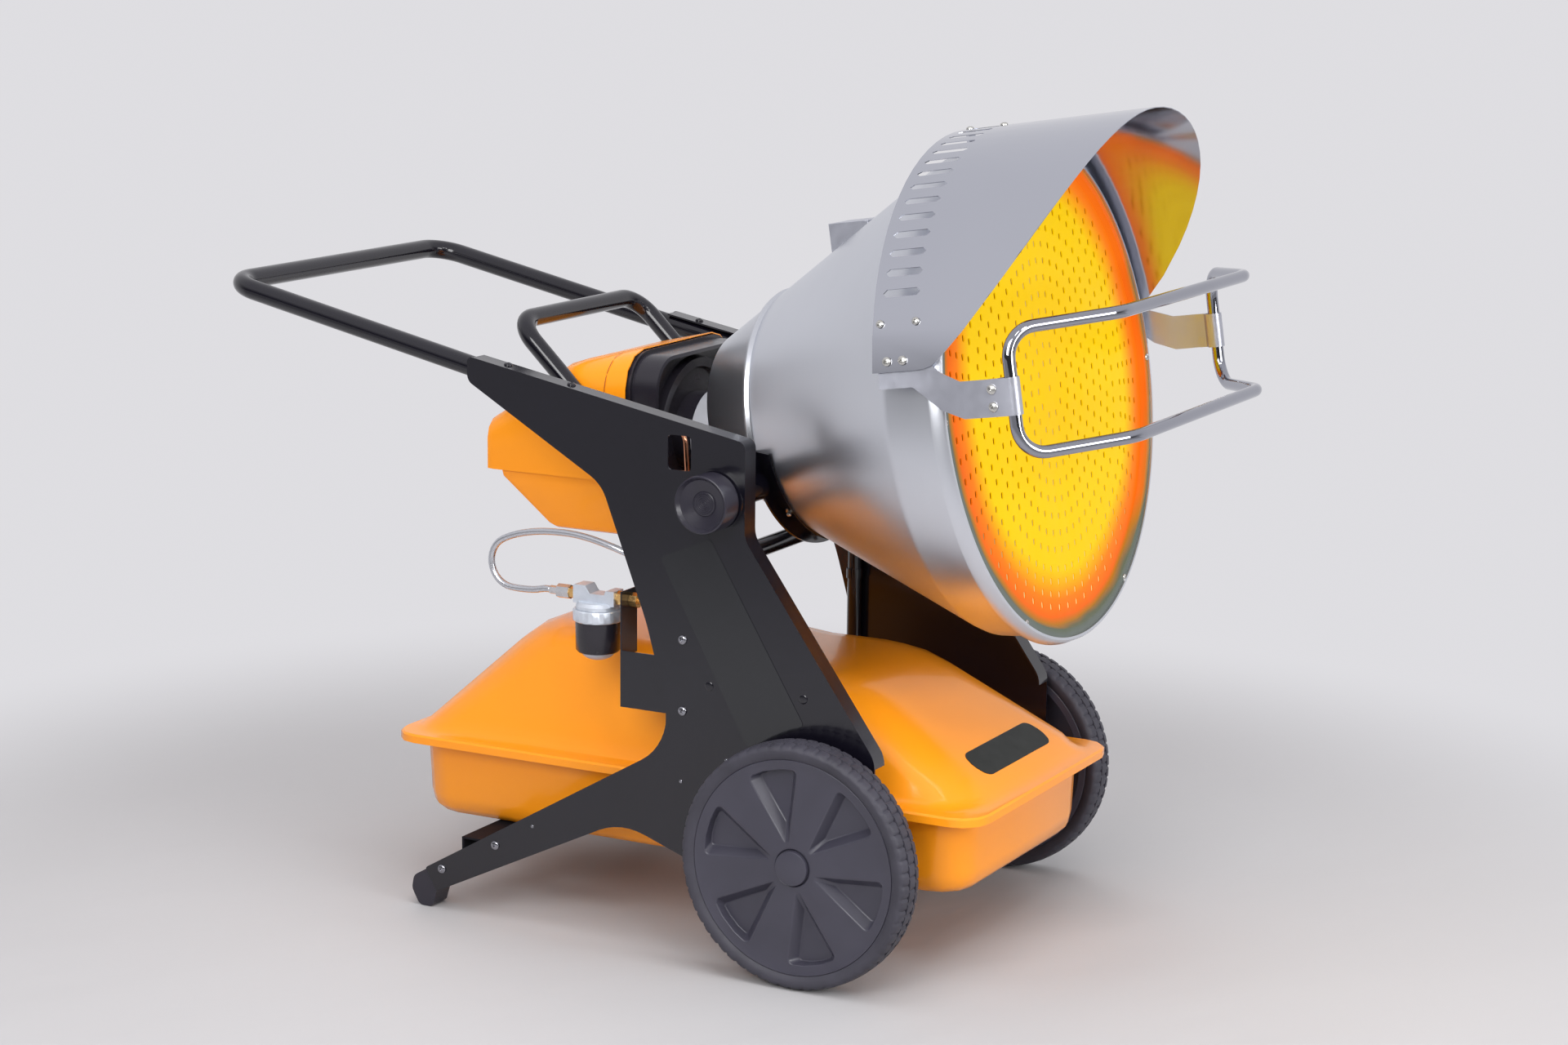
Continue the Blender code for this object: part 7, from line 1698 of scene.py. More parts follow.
def thermostat_dial():
    """Round knob with a grip bar, in its own frame with the axis along Y."""
    wall, top = DIAL_DEPTH * DIAL_WALL_SHARE, DIAL_DEPTH * DIAL_TOP_SHARE
    knob = lathe([(GAP, 0.0), (GAP, DIAL_RADIUS), (wall, DIAL_RADIUS),
                  (top, DIAL_RADIUS * DIAL_TOP_RADIUS_SHARE), (top, 0.0)], "Y", SMALL_FACETS)
    half, reach = DIAL_GRIP_WIDTH / 2, DIAL_RADIUS * DIAL_GRIP_REACH
    grip = box((-half, DIAL_DEPTH * DIAL_GRIP_SEAT, -reach), (half, DIAL_DEPTH, reach))
    return knob, grip


def cable_gland():
    """An eight-sided gland on the tray's far side, narrower towards its tip."""
    profile = [(TRAY_HALF + GAP + GLAND_LENGTH * along, GLAND_RADIUS * share)
               for along, share in GLAND_PROFILE]
    return shifted(lathe(profile, "X", GLAND_SIDES), y=GLAND_Y, z=GLAND_Z)


# Pivot hardware

def cradle_hub(side):
    """Sleeve and threaded stud from the cradle ring out through the plate."""
    inner = HUB_TUBE_INNER_X
    seat = PLATE_INNER_X - GAP
    knob_back = PLATE_OUTER_X + GAP + WASHER_THICKNESS + GAP
    stud_end = knob_back + STUD_ENGAGEMENT
    profile = [(inner, 0.0), (inner, HUB_TUBE_RADIUS), (seat, HUB_TUBE_RADIUS),
               (seat, STUD_RADIUS), (stud_end, STUD_RADIUS), (stud_end, 0.0)]
    bm = lathe([(side * x, r) for x, r in profile], "X", SMALL_FACETS)
    bmesh.ops.recalc_face_normals(bm, faces=bm.faces[:])
    return bm


def pivot_washer():
    x0 = PLATE_OUTER_X + GAP
    bore = STUD_RADIUS + RUN_GAP
    r, t = WASHER_RADIUS, WASHER_THICKNESS
    return lathe([(x0, bore), (x0, r), (x0 + t, r), (x0 + t, bore)], "X", SMALL_FACETS * 3 // 2)


def filter_turned(profile, facets=SMALL_FACETS * 3 // 2, ripple=None):
    return shifted(lathe(profile, "Z", facets, ripple=ripple), FILTER_X, FILTER_Y)


def filter_bowl():
    top = FILTER_HEAD_BOTTOM_Z - RING_NUT_HEIGHT - GAP * 2
    low = top - BOWL_HEIGHT
    r = BOWL_RADIUS
    return filter_turned([(top, 0.0), (top, r), (low + SHEET * 2, r * 0.98), (low, r * 0.90),
                          (low, 0.0)])


def port_rows(rows, start_y, step):
    """Turned rows along Y at the filter's port height, from start_y in the direction of step."""
    profile = []
    y = start_y
    for length, radius in rows:
        profile += [(y, radius), (y + step * length, radius)]
        y += step * length
    bm = lathe([(profile[0][0], 0.0), *profile, (profile[-1][0], 0.0)], "Y", 8)
    return shifted(bm, FILTER_X, z=FILTER_PORT_Z)


def hose_fitting():
    start = FILTER_Y + FILTER_HEAD_HALF + GAP
    return port_rows([(FITTING_BRASS_LENGTH, FITTING_RADIUS * 0.85),
                      (FITTING_HEX_LENGTH, FITTING_RADIUS),
                      (FITTING_FERRULE_LENGTH, FERRULE_RADIUS)], start, 1)


def hose_fitting_end_y():
    return (FILTER_Y + FILTER_HEAD_HALF + GAP + FITTING_BRASS_LENGTH + FITTING_HEX_LENGTH
            + FITTING_FERRULE_LENGTH)


def inlet_fitting():
    """Brass nuts on both sides of the bracket, and the elbow down to the tank valve."""
    start = FILTER_Y - FILTER_HEAD_HALF - GAP
    neck = INLET_PIPE_RADIUS
    first = start - FILTER_BRACKET_Y - FILTER_BRACKET_GAUGE - GAP
    return port_rows([(first, INLET_NUT_RADIUS), (FILTER_BRACKET_GAUGE + GAP * 2, neck),
                      (INLET_NUT_LENGTH, INLET_NUT_RADIUS), (INLET_REACH, neck)], start, -1)


def tank_valve():
    """Shut-off valve and pipe from the inlet fitting down to the tank."""
    y = FILTER_BRACKET_Y - GAP * 2 - INLET_NUT_LENGTH - INLET_REACH
    r = INLET_PIPE_RADIUS
    x = FILTER_X
    low_x = -(TANK_BASE_HALF - TANK_FILLET)
    low_z = TANK_FLANGE_Z + TANK_FILLET * 4
    path = rounded([((x, y - GAP, FILTER_PORT_Z), 0.0), ((x, y - r * 5, FILTER_PORT_Z), r * 3),
                    ((x, y - r * 5, low_z), r * 3), ((low_x, y - r * 5, low_z), 0.0)],
                   closed=False)
    return sweep(path, r, sides=TUBE_SIDES)


def filter_bracket():
    """Black sheet inside the near plate, with a tab folded inwards for the filter."""
    outer = -(PLATE_INNER_X - GAP)
    gauge = FILTER_BRACKET_GAUGE
    y0, y1 = FILTER_BRACKET_FRONT_Y, FILTER_BRACKET_Y + gauge
    sheet = block(box_outline(y0, FILTER_BRACKET_BOTTOM_Z, y1, FILTER_BRACKET_STEP_Z),
                  outer, outer + gauge, in_yz)
    hole = circle(FILTER_X, FILTER_PORT_Z, INLET_PIPE_RADIUS + GAP, 12)
    tab = block(box_outline(outer, FILTER_BRACKET_ARM_Z, outer + FILTER_BRACKET_WIDTH,
                            FILTER_BRACKET_TOP_Z), FILTER_BRACKET_Y, y1, in_xz, [hole])
    return sheet, tab


def smooth_route(points, spacing):
    """Evenly spaced points of a Catmull-Rom curve through a route."""
    route = [Vector(p) for p in points]
    padded = [route[0] * 2 - route[1], *route, route[-1] * 2 - route[-2]]
    fine = []
    for i in range(1, len(padded) - 2):
        a, b, c, d = padded[i - 1:i + 3]
        for k in range(8):
            t = k / 8
            fine.append(0.5 * ((b * 2) + (c - a) * t + (a * 2 - b * 5 + c * 4 - d) * t ** 2
                               + (b * 3 - a - c * 3 + d) * t ** 3))
    fine.append(route[-1])
    lengths = [0.0]
    for a, b in zip(fine, fine[1:]):
        lengths.append(lengths[-1] + (b - a).length)
    count = max(2, round(lengths[-1] / spacing))
    even = []
    at = 0
    for k in range(count + 1):
        target = lengths[-1] * k / count
        while at < len(lengths) - 2 and lengths[at + 1] < target:
            at += 1
        span = lengths[at + 1] - lengths[at]
        even.append(fine[at].lerp(fine[at + 1], (target - lengths[at]) / span))
    return even


def hose_block():
    """Fitting on the burner that the hose screws into, with its tab to the fan housing."""
    low, high = HOSE_END_Z, HOSE_END_Z + HOSE_BLOCK_HEIGHT
    r = HOSE_BLOCK_RADIUS
    body = lathe([(low, 0.0), (low, r), (high - r / 2, r), (high, r * 0.7), (high, 0.0)], "Z", 6)
    middle = low + (high - low) * HOSE_TAB_SHARE
    half = HOSE_TAB_GAUGE / 2
    tab = box((HOSE_END_X - HOSE_TAB_WIDTH / 2, HOSE_END_Y - HOSE_TAB_WIDTH / 2, middle - half),
              (HOSE_END_X + HOSE_TAB_WIDTH, HOUSING_FRONT_Y - GAP, middle + half))
    return shifted(body, HOSE_END_X, HOSE_END_Y), tab


def copper_pipe():
    """From the hose fitting up past the window and into the fan housing."""
    start_z = HOSE_END_Z + HOSE_BLOCK_HEIGHT + GAP
    x = HOSE_END_X
    end_x = -(COLLAR_RADIUS + PIPE_BEND)
    end_y = HOUSING_FRONT_Y + HOUSING_RECESS - GAP
    path = rounded([((x, HOSE_END_Y, start_z), 0.0),
                    ((x, HOSE_END_Y, start_z + PIPE_BEND), PIPE_BEND),
                    ((x, PIPE_BULGE_Y, (start_z + PIPE_TOP_Z) / 2), PIPE_BEND),
                    ((x, PIPE_BULGE_Y + PIPE_RADIUS, PIPE_TOP_Z), PIPE_BEND),
                    ((end_x, end_y - PIPE_BEND * 1.6, PIPE_TOP_Z + PIPE_RADIUS), PIPE_BEND),
                    ((end_x, end_y, PIPE_TOP_Z + PIPE_RADIUS), 0.0)], closed=False)
    return sweep(path, PIPE_RADIUS, sides=TUBE_SIDES)


def cable_conduit():
    """Vertical conduit on the far plate with a raised joint."""
    r, rise = CONDUIT_RADIUS, CONDUIT_JOINT_RISE
    half = CONDUIT_JOINT_WIDTH / 2
    profile = [(CONDUIT_BOTTOM_Z, r - HANDLE_WALL), (CONDUIT_BOTTOM_Z, r),
               (CONDUIT_JOINT_Z - half, r), (CONDUIT_JOINT_Z - half, r + rise),
               (CONDUIT_JOINT_Z + half, r + rise), (CONDUIT_JOINT_Z + half, r),
               (CONDUIT_TOP_Z, r), (CONDUIT_TOP_Z, r - HANDLE_WALL)]
    return shifted(lathe(profile, "Z", 10), PLATE_INNER_X - GAP - r - rise, CONDUIT_Y)


# Assembly

def unite(name, parts, material, parent, location=(0.0, 0.0, 0.0), rotation=(0.0, 0.0, 0.0)):
    """One solid from several overlapping shapes: the first carries, the others are helpers."""
    made = add_object(name, parts[0], material, parent, location, rotation)
    for number, part in enumerate(parts[1:], start=1):
        tool = add_object(f"{name}_part_{number}", part, material, parent, location)
        boolean(made, "UNION", tool)
    return made


def build(parent, looks, *rows, rotation=(0.0, 0.0, 0.0)):
    """Solids from rows of (name, shape, look). A row with several shapes unites them."""
    for name, shape, look in rows:
        parts = shape if isinstance(shape, tuple) else (shape,)
        unite(name, parts, looks[look], parent, rotation=rotation)


def build_frame(root, looks):
    for side, near in (("near", True), ("far", False)):
        axle = shifted(stub_axle(), z=WHEEL_RADIUS)
        washer = shifted(pivot_washer(), y=PIVOT_Y, z=PIVOT_Z)
        build(root, looks,
              (f"side_plate_{side}", mirrored(side_plate(), not near), "black_paint"),
              (f"foot_{side}", mirrored(foot(), not near), "knob_plastic"),
              (f"stub_axle_{side}", mirrored(axle, near), "satin_steel"),
              (f"pivot_washer_{side}", mirrored(washer, near), "black_paint"))
    build(root, looks,
          ("push_handle", push_handle(), "black_paint"),
          ("cross_stay", cross_stay(), "black_paint"),
          ("rear_cross_member", cross_member(REAR_MEMBER_Y, REAR_MEMBER_DEPTH), "black_matte"),
          ("front_cross_member", cross_member(FRONT_MEMBER_Y, FRONT_MEMBER_DEPTH), "black_matte"),
          ("cable_conduit", cable_conduit(), "black_paint"))


def build_tank(root, looks):
    orange = looks["orange_paint"]
    solidify(add_object("tank_upper", tank_upper_sheet(), orange, root), SHEET)
    solidify(add_object("tank_lower", tank_lower_sheet(), orange, root), SHEET)
    slope = math.atan(TANK_TOP_RISE / (TANK_TOP_REAR_Y - TANK_KINK_Y))
    seat = (CAP_SEAT_X, CAP_SEAT_Y, tank_top_z(CAP_SEAT_Y))
    add_object("fuel_cap", fuel_cap(), looks["knob_plastic"], root, seat, (slope, 0.0, 0.0))


def build_fuel_line(root, looks):
    build(root, looks,
          ("filter_bracket", filter_bracket(), "black_paint"),
          ("filter_head", filter_head(), "die_cast"),
          ("filter_ring_nut", filter_ring_nut(), "die_cast"),
          ("filter_bowl", filter_bowl(), "burner_black"),
          ("filter_dome", filter_dome(), "clear_bowl"),
          ("hose_fitting", hose_fitting(), "brass"),
          ("inlet_fitting", inlet_fitting(), "brass"),
          ("tank_valve_pipe", tank_valve(), "black_paint"))


def build_wheels(root, looks):
    for side, sign, turn in (("near", -1, math.pi), ("far", 1, 0.0)):
        centre = sign * (WHEEL_OUTER_X - WHEEL_WIDTH / 2)
        axle = empty(f"wheel_axis_{side}", (centre, 0.0, WHEEL_RADIUS), root)
        build(axle, looks, (f"tyre_{side}", tyre(), "tyre_rubber"),
              (f"wheel_rim_{side}", wheel_rim(), "wheel_plastic"),
              (f"hub_cap_{side}", hub_cap(), "wheel_plastic"), rotation=(0.0, 0.0, turn))


def build_drum(drum, looks):
    hood = solidify(add_object("hood", hood_sheet(), looks["hood_steel"], drum), THIN_SHEET)
    boolean(hood, "UNION", add_object("hood_spacers", hood_spacers(), looks["satin_steel"], drum))
    build(drum, looks,
          ("drum_shell", drum_shell(), "satin_steel"),
          ("radiant_disc", radiant_disc(), "radiant_disc"),
          ("guard_loop", guard_loop(), "chrome"),
          ("guard_bracket_far", guard_bracket(), "bracket_steel"),
          ("guard_bracket_near", mirrored(guard_bracket()), "bracket_steel"),
          ("cone_box_bracket", cone_box(), "bracket_steel"))


def build_cradle(drum, pivot, looks):
    """The ring is built in the drum's frame and its hubs lie on the tilt axis."""
    black = looks["black_paint"]
    cradle = add_object("cradle", cradle_ring(), black, drum)
    for side in (-1, 1):
        boolean(cradle, "UNION", add_object(f"cradle_hub_{side}", cradle_hub(side), black, pivot))


def build_burner(level, looks):
    orange = looks["orange_paint"]
    solidify(add_object("burner_cover", burner_cover_sheet(), orange, level), SHEET)
    solidify(add_object("burner_tray", burner_tray_sheet(), orange, level), SHEET)
    build(level, looks,
          ("fan_housing", fan_housing(), "burner_black"),
          ("blast_collar", blast_collar(), "burner_black"),
          ("blast_tube", blast_tube(), "burner_black"),
          ("burner_flange", burner_flange(), "cast_pale"),
          ("tilt_handle", tilt_handle(), "black_paint"),
          ("control_panel", control_panel(), "burner_black"),
          ("cable_gland", cable_gland(), "burner_black"),
          ("hose_block", hose_block(), "brass"),
          ("copper_pipe", copper_pipe(), "copper"))


def build_small_movers(level, pivot, looks):
    """Rocker, dial and clamp knobs, each on its own axis."""
    middle = (PANEL_BOTTOM_Z + PANEL_TOP_Z) / 2
    panel_y = COVER_REAR_Y + GAP
    rocker_axis = empty("rocker_axis", (SWITCH_X, panel_y + GAP, middle), level, -SWITCH_THROW)
    dial_axis = empty("dial_axis", (DIAL_X, panel_y + PANEL_THICKNESS, middle), level)
    build(rocker_axis, looks, ("power_switch", power_switch(), "knob_plastic"))
    build(dial_axis, looks, ("thermostat_dial", thermostat_dial(), "knob_plastic"))
    build(pivot, looks, ("clamp_knob_far", clamp_knob(), "knob_plastic"),
          ("clamp_knob_near", mirrored(clamp_knob()), "knob_plastic"))


# Shapes that are finer here than in the solids

CRADLE_END = math.radians(13)
OUTER_BAND_RINGS = 4
OUTER_BAND_RADIUS = 0.280
OUTER_BAND_PITCH = 0.0162
OUTER_BAND_SLOTS = 66
INNER_RING_PITCH = 0.0215
INNER_SLOT_PITCH = 0.0212
INNER_GAP_SHARE = 1.15
FINE_SLOT_LENGTH = 0.0096
FINE_SLOT_WIDTH = 0.0054
FIRE_BEHIND = 0.006
FIRE_RADIUS_SHARE = 0.985
TYRE_TOE = 0.35
TYRE_SHOULDER = ((0.0, 2.2), (0.12, 1.6), (0.6, 0.8), (1.4, 0.42))
TREAD_FALL = 0.6
GROOVE_FLOOR_SHARE = 0.7
TREAD_FACETS = 360
TREAD_BLOCK = 6
SIPE_DEPTH = 0.0020
NOTCH_EVERY = 12
NOTCH_DEPTH = 0.0010
BRAID_SIDES = 32
BRAID_STEP = 0.0021
BRAID_DEPTH = 0.00034
BRAID_STRANDS = 8
BRAID_LAY = 0.013


def slot_places():
    """Slot centres: a band of aligned rings near the rim, evenly spaced rings inside it."""
    places = []
    for i in range(OUTER_BAND_RINGS):
        radius = OUTER_BAND_RADIUS - OUTER_BAND_PITCH * i
        places += [(radius, 2 * math.pi * k / OUTER_BAND_SLOTS) for k in range(OUTER_BAND_SLOTS)]
    radius -= INNER_RING_PITCH * INNER_GAP_SHARE
    ring = 0
    while radius > INNER_SLOT_PITCH:
        count = round(2 * math.pi * radius / INNER_SLOT_PITCH)
        places += [(radius, 2 * math.pi * (k + ring % 2 / 2) / count) for k in range(count)]
        radius -= INNER_RING_PITCH
        ring += 1
    places.append((0.0, 0.0))
    return places


def slot_outline(centre):
    """An upright slot with round ends."""
    reach, r = (FINE_SLOT_LENGTH - FINE_SLOT_WIDTH) / 2, FINE_SLOT_WIDTH / 2
    points = []
    for end in (1, -1):
        for k in range(5):
            turn = math.pi * k / 4 + (0 if end > 0 else math.pi)
            points.append(centre + Vector((r * math.cos(turn), end * reach + r * math.sin(turn))))
    return points


def disc_rise(radius):
    crown = DISC_RECESS - DISC_CROWN
    return crown + (DISC_RECESS - crown) * (radius / DISC_RING_RADIUS) ** 2


def radiant_disc():
    """A dished disc in the drum's rim, punched with slots all over."""
    rim = [Vector(p) for p in circle(0.0, 0.0, DISC_RING_RADIUS, DRUM_FACETS)]
    loops = [rim] + [slot_outline(Vector((r * math.cos(a), r * math.sin(a))))
                     for r, a in slot_places()]
    points, faces = [], []
    for loop in loops:
        faces.append(list(range(len(points), len(points) + len(loop))))
        points += loop
    flat, _, cells, origin, _, owners = delaunay_2d_cdt(points, [], faces, 1, 1e-7)
    cells = [cell for cell, owner in zip(cells, owners) if owner == [0]]
    place = {old: new for new, olds in enumerate(origin) for old in olds}
    bm = bmesh.new()
    sides = []
    for shift in (0.0, SHEET):
        verts = [bm.verts.new((p.x, disc_rise(p.length) + shift, p.y)) for p in flat]
        for cell in cells:
            bm.faces.new([verts[k] for k in cell])
        sides.append(verts)
    for loop in faces[1:]:
        walls(bm, *[[side[place[k]] for k in loop] for side in sides])
    previous = [[side[place[k]] for k in faces[0]] for side in sides]
    for radius, s in ((DISC_RING_RADIUS + DRUM_BEAD_WIDTH, DISC_FLANGE_S),
                      (drum_rim_radius() - GAP, DISC_FLANGE_S)):
        rings = [[bm.verts.new((a, s + shift, b)) for a, b in circle(0.0, 0.0, radius, DRUM_FACETS)]
                 for shift in (0.0, SHEET)]
        for row, following in zip(previous, rings):
            walls(bm, row, following)
        previous = rings
    walls(bm, *previous)
    return bm


def fire_plate():
    """What glows behind the slots: a plate over the chamber's mouth, in a brown fire glow with painted
    highlights.
    """
    front, back = (DISC_RECESS + SHEET * k + FIRE_BEHIND for k in (1, 2))
    radius = DISC_RING_RADIUS * FIRE_RADIUS_SHARE
    return lathe([(front, 0.0), (front, radius), (back, radius), (back, 0.0)], "Y", DRUM_FACETS)


def tyre():
    """Round-shouldered tread with two grooves, and sipes that part its ribs into blocks."""
    half = WHEEL_WIDTH / 2
    crown, seat = WHEEL_RADIUS, WHEEL_RADIUS - TYRE_SECTION
    low = TREAD_CROWN
    groove, groove_floor = TREAD_GROOVE_WIDTH / 2, TREAD_GROOVE_WIDTH / 2 * GROOVE_FLOOR_SHARE
    wall = [(-half + low, seat), (-half + low * TYRE_TOE, seat + low)]
    wall += [(-half + low * inwards, crown - low * down) for inwards, down in TYRE_SHOULDER]
    profile = list(wall)
    shoulder, middle = {4, 5}, set()
    for share in TREAD_GROOVE_SHARES:
        centre = share * WHEEL_WIDTH
        rise = crown - abs(share) * low * TREAD_FALL
        profile += [(centre - groove, rise), (centre - groove_floor, rise - TREAD_GROOVE_DEPTH),
                    (centre + groove_floor, rise - TREAD_GROOVE_DEPTH), (centre + groove, rise)]
        if share < 0:
            shoulder.add(len(profile) - 4)
            middle.add(len(profile) - 1)
            profile.append((0.0, crown))
            middle.add(len(profile) - 1)
        else:
            middle.add(len(profile) - 4)
            shoulder.add(len(profile) - 1)
    count = len(profile)
    profile += [(-along, radius) for along, radius in reversed(wall)]
    shoulder |= {count, count + 1}

    def sipes(row, k):
        if row in shoulder and k % TREAD_BLOCK == 0:
            return SIPE_DEPTH
        if row in middle and k % TREAD_BLOCK == TREAD_BLOCK // 2:
            return SIPE_DEPTH
        if row in (3, 4, count + 1, count + 2) and k % NOTCH_EVERY < 3:
            return NOTCH_DEPTH
        return 0.0

    return lathe(profile, "X", TREAD_FACETS, ripple=sipes)


def braided(path, radius):
    """A tube of crossing strands along a path."""
    points = smooth_route(path, BRAID_STEP)
    tangents = [(points[min(i + 1, len(points) - 1)] - points[max(i - 1, 0)]).normalized()
                for i in range(len(points))]
    normal = tangents[0].orthogonal().normalized()
    rings = []
    along = 0.0
    for i, point in enumerate(points):
        if i:
            along += (point - points[i - 1]).length
            normal = tangents[i - 1].rotation_difference(tangents[i]) @ normal
        side = tangents[i].cross(normal)
        ring = []
        for k in range(BRAID_SIDES):
            turn = 2 * math.pi * k / BRAID_SIDES
            lay = 2 * math.pi * along / BRAID_LAY
            dip = abs(math.sin((BRAID_STRANDS * turn + lay * BRAID_STRANDS / 4) / 2)
                      * math.sin((BRAID_STRANDS * turn - lay * BRAID_STRANDS / 4) / 2))
            ring.append(point + (normal * math.cos(turn) + side * math.sin(turn))
                        * (radius - BRAID_DEPTH * dip))
        rings.append(ring)
    return loft(rings), points


KNOB_LIP = 0.0016
KNOB_WALL = 0.0048
KNOB_DISH_DEEP = 0.0115
KNOB_RINGS = (0.0125, 0.0100, 0.0076, 0.0052, 0.0028)
KNOB_RING_RISE = 0.00045
KNOB_RING_SHARES = (1.4, 0.4)
KNOB_LIP_EDGE = ((1.4, 0.0), (0.3, 0.4), (0.0, 1.0), (0.0, 1.6))
KNOB_WALL_STEP = 1.4
KNOB_CAP_EDGE = 0.8
FILTER_HEAD_LINE = ((-1.0, 0.7), (-0.60, 0.7), (-0.52, 1.7), (0.18, 1.7), (0.42, 0.0), (0.94, 0.0),
                    (1.0, 0.3))
FILTER_BAR_SHARE = 0.40
FILTER_COLLAR_SHARES = (0.94, 0.82)
RING_NUT_STEPS = 5
CAP_SHRINK = 0.0011
CAP_STAND = 0.72
CAP_EDGE = ((1.0, 1.0), (0.3, 0.985), (0.0, 0.95))


def clamp_knob():
    """Dished knob: a thin bright lip, a steep wall, a cone and a cap with turned rings."""
    back = PLATE_OUTER_X + GAP * 2 + WASHER_THICKNESS
    face, r = KNOB_FACE_X, KNOB_RADIUS
    bore = STUD_RADIUS + RUN_GAP
    deep = back + STUD_ENGAGEMENT + RUN_GAP
    floor, wall = face - KNOB_DISH_DEEP, face - KNOB_WALL
    cap = floor + KNOB_LIP
    profile = [(deep, 0.0), (deep, bore), (back, bore), (back, r - KNOB_SKIRT),
               (back + KNOB_SKIRT, r)]
    profile += [(face - KNOB_LIP * back_by, r - KNOB_LIP * in_by)
                for back_by, in_by in KNOB_LIP_EDGE]
    profile += [(wall, r - KNOB_RIM - KNOB_LIP), (wall, r - KNOB_RIM - KNOB_LIP * KNOB_WALL_STEP),
                (floor, KNOB_CAP_RADIUS + KNOB_LIP), (floor, KNOB_CAP_RADIUS + KNOB_LIP / 2),
                (floor + KNOB_LIP * KNOB_CAP_EDGE, KNOB_CAP_RADIUS),
                (cap, KNOB_CAP_RADIUS - KNOB_LIP / 2)]
    foot, top = (KNOB_RING_RISE * share for share in KNOB_RING_SHARES)
    for radius in KNOB_RINGS:
        profile += [(cap, radius + foot), (cap + KNOB_RING_RISE, radius + top),
                    (cap + KNOB_RING_RISE, radius - top), (cap, radius - foot)]
    profile.append((cap, 0.0))
    return lathe(profile, "X", SMALL_FACETS * 2)


def hub_cap():
    """A flush cap in the hub with a dark gap round it."""
    face = WHEEL_WIDTH / 2 - RIM_FACE_INSET - CAP_SEAT + GAP
    top = face + CAP_THICKNESS * CAP_STAND
    r = CAP_RADIUS - CAP_SHRINK
    edge = [(top - CAP_SHRINK * down, r * share) for down, share in CAP_EDGE]
    return lathe([(face, 0.0), (face, r), *edge, (top, 0.0)], "X", SMALL_FACETS * 2)


def filter_head():
    """Die-cast head: a bar with a raised boss at each port, on a round collar."""
    half, top, low = FILTER_HEAD_HALF, FILTER_HEAD_TOP_Z, FILTER_HEAD_BOTTOM_Z
    knee, edge = low + FILTER_BOSS_RISE, low + FILTER_BOSS_RISE + SHEET * 2
    line = [(FILTER_Y + half * along, top - FILTER_BOSS_RISE * drop)
            for along, drop in FILTER_HEAD_LINE]
    outline = [Vector(p) for p in ((FILTER_Y - half, knee), *line, (FILTER_Y + half, knee))]
    bar_half = half * FILTER_BAR_SHARE
    bar = block(outline, FILTER_X - bar_half, FILTER_X + bar_half, in_yz)
    wide, narrow = (half * share for share in FILTER_COLLAR_SHARES)
    return bar, filter_turned([(low, 0.0), (low, wide), (knee - SHEET, wide), (edge, narrow),
                               (edge, 0.0)])


def filter_ring_nut():
    """Knurled ring under the head."""
    top = FILTER_HEAD_BOTTOM_Z - GAP
    low = top - RING_NUT_HEIGHT
    r = RING_NUT_RADIUS

    def groove(row, k):
        return RING_NUT_FLUTE_DEPTH if row in (2, 3) and k % RING_NUT_STEPS == 0 else 0.0

    return filter_turned([(top, 0.0), (top, r - SHEET), (top - SHEET, r), (low + SHEET, r),
                          (low, r - SHEET), (low, 0.0)], RING_NUT_FLUTES * RING_NUT_STEPS, groove)


def filter_dome():
    top = FILTER_HEAD_BOTTOM_Z - RING_NUT_HEIGHT - GAP * 3 - BOWL_HEIGHT
    profile = [(top, 0.0)]
    for k in range(10):
        turn = math.pi / 2 * k / 10
        profile.append((top - DOME_HEIGHT * math.sin(turn), DOME_RADIUS * math.cos(turn)))
    profile.append((top - DOME_HEIGHT, 0.0))
    return filter_turned(profile, SMALL_FACETS)


def hose_line():
    """The hose's own line: out of the ferrule, round its loop, inboard and up to the burner."""
    start = Vector((FILTER_X, hose_fitting_end_y() + GAP, FILTER_PORT_Z))
    end = Vector((HOSE_END_X, HOSE_END_Y, PIVOT_Z - HEAD_DATUM + HOSE_END_Z - GAP))
    route = [start, start + Vector((0.0, HOSE_RADIUS * 2, 0.0)),
             Vector((FILTER_X, *HOSE_LOW_POINT))]
    cy, cz = HOSE_LOOP_CENTRE
    r = HOSE_LOOP_RADIUS
    for k in range(6):
        turn = math.radians(-90 + 30 * k)
        route.append(Vector((FILTER_X, cy + r * math.cos(turn), cz + r * math.sin(turn))))
    route += [Vector((FILTER_X, *p)) for p in HOSE_TOP_RUN]
    cx, cy = HOSE_TURN_CENTRE
    r = HOSE_TURN_RADIUS
    high, low = HOSE_TURN_FALL
    for k in range(5):
        turn = math.radians(22.5 * k)
        route.append(Vector((cx - r * math.cos(turn), cy - r * math.sin(turn),
                             high + (low - high) * k / 4)))
    r = HOSE_RISE_RADIUS
    for turn in HOSE_RISE_TURNS:
        route.append(Vector((end.x - r + r * math.cos(turn), end.y,
                             low - HOSE_RISE_DROP + r + r * math.sin(turn))))
    return [*route, end]


# Details that only the looks have: places on the side plates are (y, z), screws (radius, height)

